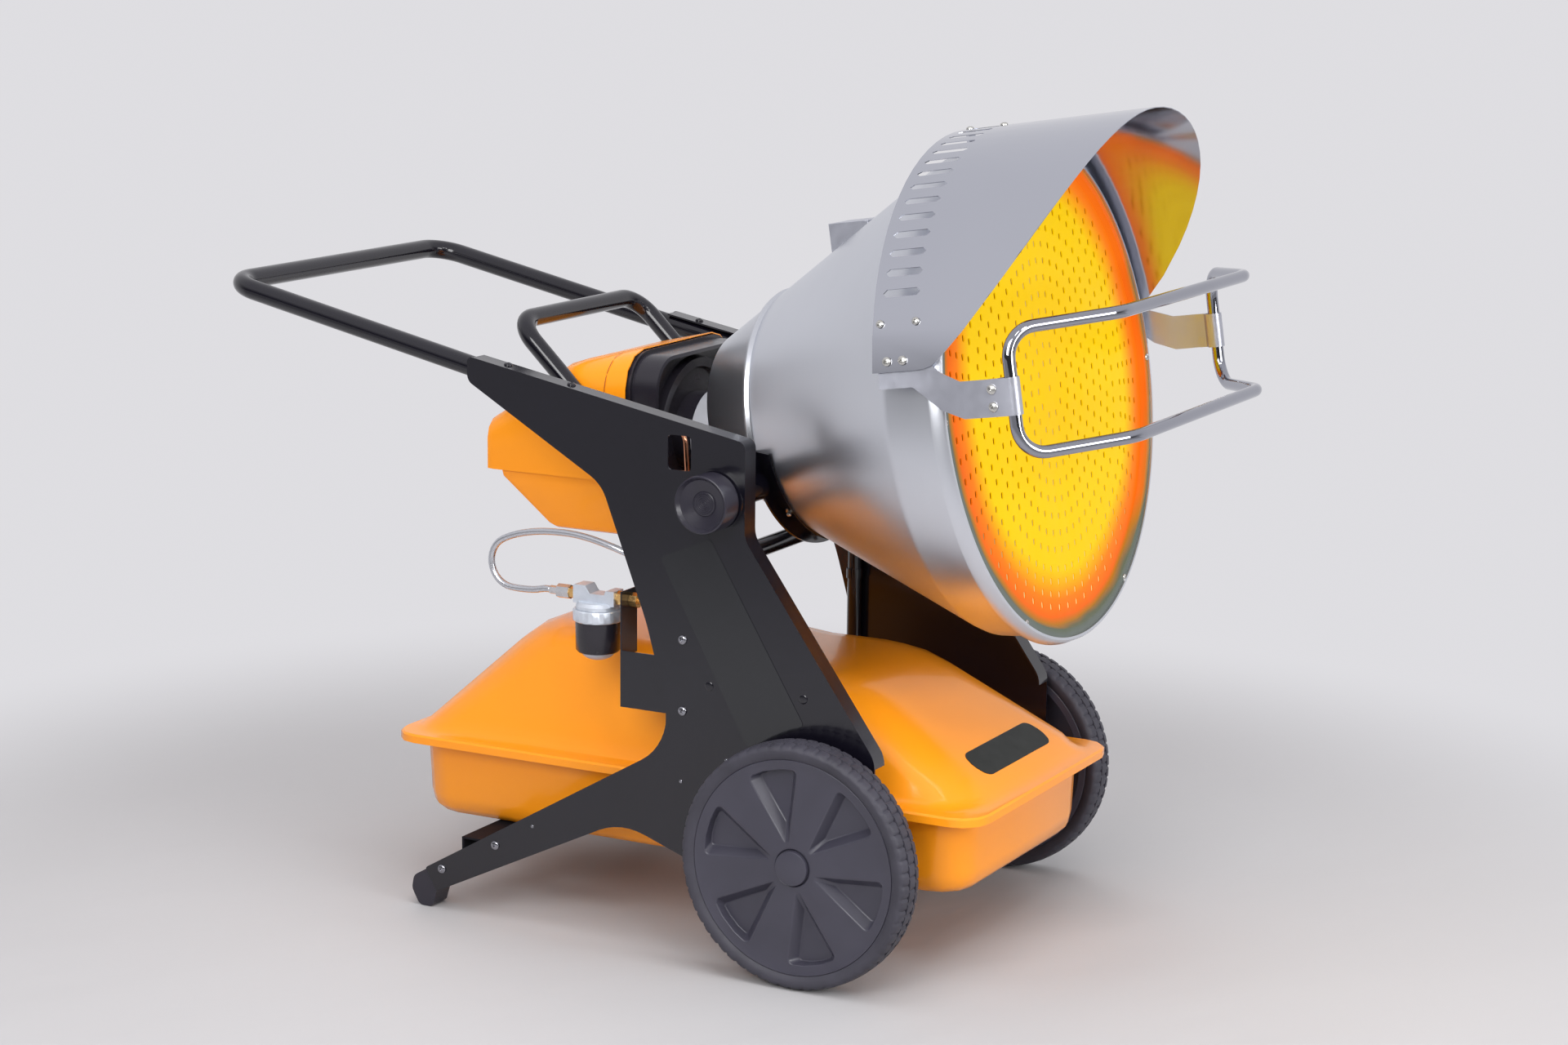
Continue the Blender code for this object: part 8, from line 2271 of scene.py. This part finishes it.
SIDES = (("near", -1), ("far", 1))
SCREW_FACETS = 24
SCREW_TURN = 0.6
SCREW_SKIRT = 0.35
SCREW_SHRINK = 0.98
SCREW_CROWN_STEPS = 6
RECESS_RIM = 0.42
RECESS_FLOOR = 0.22
RECESS_DEPTH = 0.55
RECESS_LOBE = (0.45, 0.65)
RECESS_NEAR_TOP = 0.9
RECESS_NEAR_RIM = 0.05
PAN_SCREW = (0.0062, 0.0034)
PAN_PLACES = ((0.191, 0.420), (0.191, 0.326), (0.479, 0.103), (0.565, 0.057))
SMALL_SCREW = (0.0024, 0.0012)
SMALL_PLACES = ((0.193, 0.232), (0.126, 0.269), (0.420, 0.138))
BRIGHT_SCREW = (0.0046, 0.0028)
BRIGHT_PLACES = ((0.148, 0.638),)
BUTTON = (0.0062, 0.0016)
BUTTON_PLACES = ((0.152, 0.364), (0.016, 0.364))
FLANGE_SCREW = (0.0058, 0.0034)
FLANGE_SCREW_Y = (0.4635, 0.367)
FLANGE_SCREW_INSET = 0.016
RIM_SCREW = (0.0046, 0.0028)
RIM_SCREW_COUNT = 6
RIM_SCREW_INSET = 0.0062
SPACER_SCREW = (0.0050, 0.0034)
HOOD_SCREW = (0.0058, 0.0036)
HOOD_SCREW_S = (0.065, 0.044)
HOOD_SCREW_ANGLE = math.radians(76.3)
CLAMP_SCREW = (0.0062, 0.0040)
CLAMP_SCREW_INSET = 0.004
CLAMP_SCREW_REACH = 0.0105
CLAMP_SCREW_TURN = 40
STOP_SCREW = (0.0044, 0.0062)
STOP_SCREW_Y = 0.004
STOP_SCREW_RISE = 0.034
BOLT_WAYS = ((0.0, 0.0, -0.180), (-0.116, 0.0, -0.116), (0.116, 0.0, -0.116))
BOLT_WASHER = ((0.0, 0.0), (0.0, 0.0085), (0.0014, 0.0085), (0.0014, 0.0))
BOLT_NUT = (0.0066, 0.0062)
BOLT_NUT_SEAT = 0.0013
BOLT_END = ((0.0, 0.0), (0.0, 0.003), (0.0125, 0.003), (0.0135, 0.002), (0.0135, 0.0))
BOLT_FACETS = 16
BEVEL_SEGMENTS = 3
BEVEL_ANGLE = math.radians(48)
BEVELS = {
    "side_plate_near": 0.0007, "side_plate_far": 0.0007, "foot_near": 0.005, "foot_far": 0.005,
    "rear_cross_member": 0.0008, "front_cross_member": 0.0008, "control_panel": 0.0006,
    "cone_box_bracket": 0.0006, "filter_bracket": 0.0004, "wheel_rim_near": 0.0013,
    "wheel_rim_far": 0.0013, "filter_head": 0.0012, "power_switch": 0.0008,
}
KEPT_NODES = ("combustion_chamber", "fan_motor", "fuel_pump", "ignition_transformer",
              "burner_chassis", "fan_wheel")
BODY_OF = {node: body for body, nodes in frame["record"]["behaviour"]["bodies"].items()
           for node in nodes}
HEATER = Matrix.Translation((0.0, -ORIGIN_Y, 0.0))
DRUM = Matrix.Translation((0.0, DRUM_Y - ORIGIN_Y, DRUM_Z)) @ Matrix.Rotation(-TILT, 4, "X")

# Blank film, blank tank plate and the cover seam's painted shade
BAND_CORNERS = ((0.225, 0.525), (0.151, 0.556), (0.014, 0.329), (0.096, 0.291))
BAND_ROUND = 0.006
BAND_THICKNESS = 0.0006
TANK_PLATE_HALF = 0.104
TANK_PLATE_SHIFT = 0.004
TANK_PLATE_FRONT = (-0.170, 0.2565)
TANK_PLATE_BACK = (-0.131, 0.2785)
TANK_PLATE_RISE = 0.0007
TANK_PLATE_END = 0.8
TANK_PLATE_GRID = (60, 8)
PROBE_HEIGHT = 0.05
COVER_SEAM_Y = 0.385
COVER_SEAM_WIDTH = 0.0011
SEAM_PROUD = 0.00012


def settle(name, mesh, body, material, replaced=None):
    """A finished piece in the frame's coordinates."""
    made = linked(name, mesh)
    mesh.materials.clear()
    mesh.materials.append(material)
    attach(made, body)
    if replaced:
        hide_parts(replaced)
    return made


def dress_nodes():
    """Bakes each fine solid's modifiers and puts it in place of its node of the frame."""
    bpy.context.view_layer.update()
    graph = bpy.context.evaluated_depsgraph_get()
    built = [o for o in bpy.context.scene.objects if o.type == "MESH" and "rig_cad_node" not in o]
    made, pieces = [], {}
    for o in built:
        node = o.name.split(".")[0]
        if o.hide_render or node not in BODY_OF:
            continue
        mesh = bpy.data.meshes.new_from_object(o.evaluated_get(graph), depsgraph=graph)
        mesh.transform(o.matrix_world)
        made.append((node, mesh, o.data.materials[0]))
    built += [o for o in bpy.context.scene.objects if o.type == "EMPTY"
              and not o.name.startswith("body:")]
    for o in built:
        bpy.data.objects.remove(o)
    for name, mesh, material in made:
        mesh.shade_smooth()
        mesh.set_sharp_from_angle(angle=SHARP_ANGLE)
        pieces[name] = settle(f"{name}_fine", mesh, BODY_OF[name], material, name)
        if name in BEVELS:
            soften(pieces[name], BEVELS[name])
    return pieces


def soften(obj, width):
    edge = obj.modifiers.new("edges", "BEVEL")
    edge.width = width
    edge.segments = BEVEL_SEGMENTS
    edge.limit_method = "ANGLE"
    edge.angle_limit = BEVEL_ANGLE
    edge.use_clamp_overlap = True
    edge.harden_normals = False


def colour_kept_nodes(slots, looks):
    """The inner pieces stay the frame's own solids, in the scene's materials."""
    for name in KEPT_NODES:
        mesh = frame["nodes"][name].data
        mesh.materials.clear()
        mesh.materials.append(looks[slots[name]])


def steel_ferrule(piece, looks):
    """The fitting's outer rows are steel, its root is brass."""
    limit = FILTER_Y + FILTER_HEAD_HALF + FITTING_BRASS_LENGTH - ORIGIN_Y
    piece.data.materials.append(looks["ferrule"])
    for face in piece.data.polygons:
        if face.center.y > limit:
            face.material_index = 1


def place_on(point, outward, roll=0.0):
    """A frame at a point whose Z axis looks outward."""
    turn = Vector(outward).normalized().to_track_quat("Z", "Y").to_matrix().to_4x4()
    return Matrix.Translation(Vector(point)) @ turn @ Matrix.Rotation(roll, 4, "Z")


def screw_head(radius, height, recess=True):
    """Pan head with a washer face and a cross recess cut as four sunk corners."""
    r, h = radius, height
    skirt, crown, rim = h * SCREW_SKIRT, h * (1.0 - SCREW_SKIRT), r * RECESS_RIM
    profile = [(0.0, 0.0), (0.0, r), (skirt, r)]
    for k in range(1, SCREW_CROWN_STEPS):
        turn = math.pi / 2 * k / SCREW_CROWN_STEPS
        profile.append((skirt + crown * math.sin(turn), r * math.cos(turn) * SCREW_SHRINK))
    if not recess:
        return lathe([*profile, (h, 0.0)], "Z", SCREW_FACETS)
    profile += [(h, rim), (h * RECESS_DEPTH, r * RECESS_FLOOR), (h * RECESS_DEPTH, 0.0)]
    bm = lathe(profile, "Z", SCREW_FACETS)
    narrow, widen = RECESS_LOBE
    for v in bm.verts:
        flat = v.co.xy
        if v.co.z > h * RECESS_NEAR_TOP and abs(flat.length - rim) < r * RECESS_NEAR_RIM:
            lobe = abs(math.cos(2 * math.atan2(flat.y, flat.x)))
            v.co.x *= narrow + widen * lobe ** 4
            v.co.y *= narrow + widen * lobe ** 4
    return bm


def hex_nut(radius, height):
    profile = [(0.0, 0.0), (0.0, radius), (height * 0.8, radius), (height, radius * 0.86),
               (height, radius * 0.5), (height * 0.5, radius * 0.45), (height * 0.5, 0.0)]
    return lathe(profile, "Z", 6)


def gathered(name, shapes, material, body):
    """Small parts of one kind on one body, as one piece."""
    return settle(name, meshed(name, joined_meshes(shapes)), body, material)


def moved(bm, matrix):
    face_outwards(bm)
    bmesh.ops.transform(bm, matrix=matrix, verts=bm.verts[:])
    return bm


def screws(kind, places, placed_in, recess=True):
    """Screw heads of one kind (radius, height), each at a place (point, outward, roll)."""
    return [moved(screw_head(*kind, recess), placed_in @ place_on(*place)) for place in places]


def plate_screws(looks):
    """Screws, blank buttons and flange screws of each side plate."""
    black = looks["black_paint"]
    lean = (-math.sin(HANDLE_SLOPE), math.cos(HANDLE_SLOPE))
    for side, sign in SIDES:
        def on_face(kind, places, recess=False):
            return screws(kind, [((sign * PLATE_OUTER_X, *p), (sign, 0.0, 0.0), SCREW_TURN * k)
                                 for k, p in enumerate(places)], HEATER, recess)

        bright = (on_face(PAN_SCREW, PAN_PLACES, True) + on_face(SMALL_SCREW, SMALL_PLACES)
                  + on_face(BRIGHT_SCREW, BRIGHT_PLACES, True))
        top_x = sign * (PLATE_OUTER_X - FLANGE_SCREW_INSET)
        tops = [((top_x, y, top_edge_z(y)), (0.0, *lean)) for y in FLANGE_SCREW_Y]
        gathered(f"plate_screws_{side}", bright, looks["screw_dark"], "frame")
        gathered(f"plate_buttons_{side}", on_face(BUTTON, BUTTON_PLACES), black, "frame")
        gathered(f"flange_screws_{side}", screws(FLANGE_SCREW, tops, HEATER), black, "frame")


def drum_screws(looks):
    """Screws round the rim, and over the hood's spacers and its side corners."""
    rim = []
    for k in range(RIM_SCREW_COUNT):
        angle = 2 * math.pi / RIM_SCREW_COUNT * (k + 0.5)
        point = on_hood(angle, DISC_FLANGE_S, DRUM_RADIUS - RIM_SCREW_INSET)
        rim.append((point, (0.0, -1.0, 0.0), angle))
    over_spacers = [(on_hood(angle, s), on_hood(angle, 0.0, 1.0), angle)
                    for angle in (-SPACER_ANGLE, 0.0, SPACER_ANGLE) for s in SPACER_S]
    corners = [(on_hood(angle, s), on_hood(angle, 0.0, 1.0))
               for angle in (-HOOD_SCREW_ANGLE, HOOD_SCREW_ANGLE) for s in HOOD_SCREW_S]
    gathered("rim_screws", screws(RIM_SCREW, rim, DRUM), looks["zinc"], "head")
    gathered("hood_screws", screws(SPACER_SCREW, over_spacers, DRUM)
             + screws(HOOD_SCREW, corners, DRUM), looks["zinc"], "head")


def clamp_screws(looks):
    """Two screws that close each guard bracket round the tube."""
    side = GUARD_SIDE_X + GUARD_RADIUS + GAP + BRACKET_GAUGE
    s = GUARD_SIDE_S + CLAMP_RETURN - CLAMP_SCREW_INSET
    heights = (BRACKET_CENTRE_U + CLAMP_SCREW_REACH, BRACKET_CENTRE_U - CLAMP_SCREW_REACH)
    places = [((sign * side, s, u), (sign, 0.0, 0.0), u * CLAMP_SCREW_TURN)
              for sign in (-1, 1) for u in heights]
    gathered("clamp_screws", screws(CLAMP_SCREW, places, DRUM), looks["zinc"], "head")


def cradle_bolts(looks):
    """Bolts through the cradle ring into the cone, with their washers and nuts."""
    shapes = []
    rib_s = DRUM_RIB_S - DRUM_RIB_WIDTH
    radius = cone_radius(rib_s) + MEMBER_GAUGE + GAP * 4
    for way in BOLT_WAYS:
        out = Vector(way).normalized()
        at = DRUM @ place_on((out.x * radius, rib_s - CRADLE_WIDTH / 2, out.z * radius), out)
        shapes += [moved(lathe(BOLT_WASHER, "Z", SCREW_FACETS), at),
                   moved(hex_nut(*BOLT_NUT), at @ Matrix.Translation((0.0, 0.0, BOLT_NUT_SEAT))),
                   moved(lathe(BOLT_END, "Z", BOLT_FACETS), at)]
    gathered("cradle_bolts", shapes, looks["zinc"], "head")


def washer_screw(looks):
    """The small socket screw over each clamp knob."""
    for side, sign in SIDES:
        point = (sign * PLATE_OUTER_X, PIVOT_Y + STOP_SCREW_Y, PIVOT_Z + STOP_SCREW_RISE)
        head = screws(STOP_SCREW, [(point, (sign, 0.0, 0.0))], HEATER)
        gathered(f"stop_screw_{side}", head, looks["screw_dark"], "frame")


def blank_bands(looks):
    """A blank gloss film on each side plate."""
    outline = rounded([(p, BAND_ROUND) for p in BAND_CORNERS])
    for side, sign in SIDES:
        depths = sorted(sign * (PLATE_OUTER_X + BAND_THICKNESS / share) for share in (4, 1))
        film = moved(block(outline, *depths, in_yz), HEATER)
        gathered(f"side_film_{side}", [film], looks["film"], "frame")


def blank_tank_plate(looks, tank):
    """A blank dark plate with round ends, laid on the front slope of the tank."""
    tree = BVHTree.FromPolygons([v.co.copy() for v in tank.data.vertices],
                                [tuple(p.vertices) for p in tank.data.polygons])
    front, back = Vector((0.0, *TANK_PLATE_FRONT)), Vector((0.0, *TANK_PLATE_BACK))
    along, up = Vector((1.0, 0.0, 0.0)), back - front
    outward = along.cross(up).normalized()
    half_up = up.length / 2
    up.normalize()
    middle = HEATER @ ((front + back) / 2)
    columns, rows = TANK_PLATE_GRID
    end = half_up * TANK_PLATE_END
    bm = bmesh.new()
    sheets = []
    for lift in (TANK_PLATE_RISE, TANK_PLATE_RISE / 4):
        grid = []
        for i in range(columns + 1):
            x = TANK_PLATE_HALF * (-1.0 + 2.0 * i / columns)
            past = max(0.0, abs(x) - (TANK_PLATE_HALF - end)) / end
            height = half_up * (0.2 + 0.8 * math.sqrt(max(0.0, 1.0 - past ** 2)))
            line = []
            for j in range(rows + 1):
                start = (middle + along * (x + TANK_PLATE_SHIFT)
                         + up * (height * (-1.0 + 2.0 * j / rows)) + outward * PROBE_HEIGHT)
                line.append(bm.verts.new(tree.ray_cast(start, -outward)[0] + outward * lift))
            grid.append(line)
        for line, following in zip(grid, grid[1:]):
            for j in range(rows):
                bm.faces.new((line[j], following[j], following[j + 1], line[j + 1]))
        sheets.append([line[0] for line in grid] + grid[-1][1:]
                      + [line[-1] for line in grid[-2::-1]] + grid[0][-2:0:-1])
    walls(bm, *sheets)
    face_outwards(bm)
    gathered("tank_plate", [bm], looks["label"], "frame")


def cover_seam(looks):
    """A dark strip of painted shade along the line where the burner cover's front panel meets its
    hood.
    """
    rows = []
    for y in (COVER_SEAM_Y - COVER_SEAM_WIDTH / 2, COVER_SEAM_Y + COVER_SEAM_WIDTH / 2):
        share = (y - COVER_FRONT_Y) / (COVER_CREASE_Y - COVER_FRONT_Y)
        crest = COVER_TOP_Z + (COVER_CREASE_Z - COVER_TOP_Z) * share
        rows.append(level_arch(COVER_HALF + SEAM_PROUD, SEAM_Z, crest + SEAM_PROUD,
                               COVER_CORNER, y, steps=10))
    bm = shifted(sheet_from_rows(rows)[0], y=-ORIGIN_Y, z=PIVOT_Z - HEAD_DATUM)
    gathered("cover_seam", [bm], looks["seam_shade"], "head")


def fuel_hose_fine(looks):
    """The braided hose, from the filter's fitting up to the burner's fitting."""
    bm, line = braided(hose_line(), HOSE_RADIUS)
    made = linked("fuel_hose_fine", meshed("fuel_hose_fine", moved(bm, HEATER), keep_sharp=False))
    made.data.materials.append(looks["steel_braid"])
    line = [HEATER @ p for p in line]
    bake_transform(made)
    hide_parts("fuel_hose")


# Camera, fitted to the photograph: pixels there, metres in the heater's own frame here

PHOTO_FOCAL = 4074.2
PHOTO_WIDTH = 1920.0
CAMERA_AZIMUTH = math.radians(-61.956)
CAMERA_PITCH = math.radians(11.239)
CAMERA_ROLL = math.radians(0.567)
CAMERA_PLACE = (-3.8693, -1.8726, 1.399)
CAMERA_SENSOR = 36.0
CAMERA_CLIP = (0.05, 100.0)

# Studio: FADE, FROM, TOP and EASE are the ranges over which something changes, DIM_ are shares
BACKDROP_COLOR = (0.735, 0.728, 0.756)
BACKDROP_SIDE = (0.883, 0.470, 0.0)
FLOOR_COLOR = (0.475, 0.465, 0.475)
FLOOR_ROUGHNESS = 0.75
FLOOR_REACH = 14.0
FLOOR_DROP = 0.0005
FLOOR_FADE = (0.95, 1.75)
WRINKLE_NOISE = (2.2, 4.0, (1.0, 3.0, 1.0), (0.0, 0.0, 0.5))
WRINKLE_DEPTH = 0.012
WRINKLE_STRENGTH = 0.35
DIM_ROOM = 0.08
DIM_FLOOR = 0.56
DIM_FLOOR_FROM = (1.5, 3.2)
DIM_ROOM_TOP = (0.04, 0.52)
SIDE_EASE = (-0.35, 0.40)
SKY_LIGHT = 0.45

# Each lamp: its place, what it looks at, its size, its watts, and whether metal mirrors it
LAMPS = (
    ("top", (-0.6, -0.8, 3.3), (0.0, -0.1, 0.4), (3.0, 3.0), 84.0, False),
    ("key", (-3.6, -0.5, 2.2), (0.0, 0.0, 0.45), (2.0, 2.0), 88.0, True),
    ("front", (-0.8, -4.2, 1.7), (0.0, -0.3, 0.45), (2.0, 1.6), 88.0, True),
    ("rim", (2.4, 2.0, 2.6), (0.0, 0.0, 0.6), (2.4, 1.8), 30.0, False),
    ("spot_left", (-2.3, -2.0, 3.1), (0.0, -0.1, 0.4), (0.45, 0.45), 8.0, True),
    ("spot_right", (-1.7, -2.9, 3.1), (0.0, -0.1, 0.4), (0.45, 0.45), 8.0, True),
)


def photo_camera():
    """The photograph's camera."""
    tilt, roll = CAMERA_PITCH, CAMERA_ROLL
    back = Vector((math.sin(CAMERA_AZIMUTH) * math.cos(tilt),
                   -math.cos(CAMERA_AZIMUTH) * math.cos(tilt), math.sin(tilt)))
    right = (-back).cross(Vector((0.0, 0.0, 1.0))).normalized()
    up = right.cross(-back)
    sideways = right * math.cos(roll) + up * math.sin(roll)
    upwards = -right * math.sin(roll) + up * math.cos(roll)
    data = bpy.data.cameras.new("camera")
    data.sensor_width = CAMERA_SENSOR
    data.lens = CAMERA_SENSOR * PHOTO_FOCAL / PHOTO_WIDTH
    data.clip_start, data.clip_end = CAMERA_CLIP
    made = linked("camera", data)
    place = Matrix((sideways, upwards, back)).transposed().to_4x4()
    x, y, z = CAMERA_PLACE
    place.translation = Vector((x, y - ORIGIN_Y, z))
    made.matrix_world = place
    bpy.context.scene.camera = made


def eased(tree, given, low, high):
    """Zero below low, one above high, smooth between."""
    return mapped_range(tree, given, low, high, interpolation_type="SMOOTHSTEP")


def along_view(tree, vector):
    """How far a point or direction lies towards the backdrop side of the studio."""
    return vector_result(tree, "DOT_PRODUCT", "Value", vector, BACKDROP_SIDE)


def at_least(tree, share, low):
    """Turns 0 to 1 into low to 1."""
    return calculated(tree, "MULTIPLY_ADD", share, 1.0 - low, low)


def backdrop_light(tree, lit):
    """The pale backdrop as the camera, metal and glass see it. lit dims it in reflections."""
    rays = tree.nodes.new("ShaderNodeLightPath").outputs
    camera = rays["Is Camera Ray"]
    inputs = {"Color": (*BACKDROP_COLOR, 1.0), "Strength": calculated(tree, "MAXIMUM", camera, lit)}
    seen = calculated(tree, "MAXIMUM", camera, rays["Is Glossy Ray"])
    return (shader_node(tree, "Emission", inputs, "Emission"),
            calculated(tree, "MAXIMUM", seen, rays["Is Transmission Ray"]))


def show_mix(tree, output, share, low, high):
    """Sends a mix of two shaders to the output."""
    mix = shader_node(tree, "MixShader", {0: share, 1: low, 2: high}, "Shader")
    feed(tree, tree.nodes[output], {"Surface": mix})


def floor_finish():
    """Paper that keeps the object's shadow and turns into the backdrop further out."""
    made, tree, shader = node_setup("floor_paper", FLOOR_COLOR, FLOOR_ROUGHNESS, 0.0)
    where = object_place(tree)
    away = vector_result(tree, "LENGTH", "Value", where)
    add_bump(tree, shader, noise(tree, where, *WRINKLE_NOISE), WRINKLE_DEPTH, WRINKLE_STRENGTH)
    side = eased(tree, along_view(tree, where), *SIDE_EASE)
    near = calculated(tree, "SUBTRACT", 1.0, eased(tree, away, *DIM_FLOOR_FROM))
    lit = at_least(tree, calculated(tree, "MAXIMUM", side, near), DIM_FLOOR)
    glow, seen = backdrop_light(tree, lit)
    share = calculated(tree, "MULTIPLY", eased(tree, away, *FLOOR_FADE), seen)
    show_mix(tree, "Material Output", share, shader.outputs["BSDF"], glow)
    return made


def studio_floor():
    """A pale floor that the background meets."""
    bm = bmesh.new()
    r = FLOOR_REACH
    bm.faces.new([bm.verts.new((x, y, -FLOOR_DROP)) for x, y in ((-r, -r), (r, -r), (r, r), (-r, r))])
    mesh = bpy.data.meshes.new("floor")
    bm.to_mesh(mesh)
    bm.free()
    floor = linked("floor", mesh)
    mesh.materials.append(floor_finish())


def studio_lamps():
    """Large soft lamps and two small ones. Some don't show in reflections."""
    for name, place, target, size, power, mirrored_too in LAMPS:
        lamp = bpy.data.lights.new(name, "AREA")
        lamp.shape = "RECTANGLE"
        lamp.size, lamp.size_y = size
        lamp.energy = power
        made = linked(name, lamp)
        made.visible_glossy = mirrored_too
        made.location = place
        way = Vector(target) - Vector(place)
        made.rotation_mode = "QUATERNION"
        made.rotation_quaternion = way.to_track_quat("-Z", "Y")


def studio_room():
    """Dim light from all round, which the camera, metal and glass see as the backdrop."""
    world = bpy.data.worlds.new("world")
    bpy.context.scene.world = world
    world.use_nodes = True
    tree = world.node_tree
    sky = tree.nodes["Background"]
    feed(tree, sky, {"Color": (*BACKDROP_COLOR, 1.0), "Strength": SKY_LIGHT})
    way = shader_node(tree, "TexCoord", {}, "Generated")
    height = shader_node(tree, "SeparateXYZ", {"Vector": way}, "Z")
    side = eased(tree, along_view(tree, way), *SIDE_EASE)
    above = eased(tree, height, *DIM_ROOM_TOP)
    lit = at_least(tree, calculated(tree, "MAXIMUM", side, above), DIM_ROOM)
    glow, seen = backdrop_light(tree, lit)
    show_mix(tree, "World Output", seen, sky.outputs["Background"], glow)


def main():
    looks = make_materials()
    slots = {row["node"]: row["material_slot"] for row in frame["record"]["subparts"]}
    root = empty("heater", (0.0, -ORIGIN_Y, 0.0))
    pivot = empty("tilt_axis", (0.0, PIVOT_Y, PIVOT_Z), root)
    drum = empty("drum_frame", (0.0, DRUM_Y - PIVOT_Y, DRUM_Z - HEAD_DATUM), pivot, -TILT)
    level = empty("burner_frame", (0.0, -PIVOT_Y, -HEAD_DATUM), pivot)
    for build_some in (build_frame, build_tank, build_fuel_line, build_wheels):
        build_some(root, looks)
    build_drum(drum, looks)
    build_cradle(drum, pivot, looks)
    build_burner(level, looks)
    build_small_movers(level, pivot, looks)
    pieces = dress_nodes()
    # The plate behind the slots: fire glow with painted highlights
    gathered("fire_plate", [moved(fire_plate(), DRUM)], looks["disc_fire"], "head")
    colour_kept_nodes(slots, looks)
    steel_ferrule(pieces["hose_fitting"], looks)
    for add_detail in (plate_screws, drum_screws, clamp_screws, cradle_bolts, washer_screw,
                       blank_bands):
        add_detail(looks)
    blank_tank_plate(looks, pieces["tank_upper"])
    cover_seam(looks)
    fuel_hose_fine(looks)
    photo_camera()
    studio_floor()
    studio_lamps()
    studio_room()
    bpy.context.scene.view_settings.view_transform = "Standard"


main()
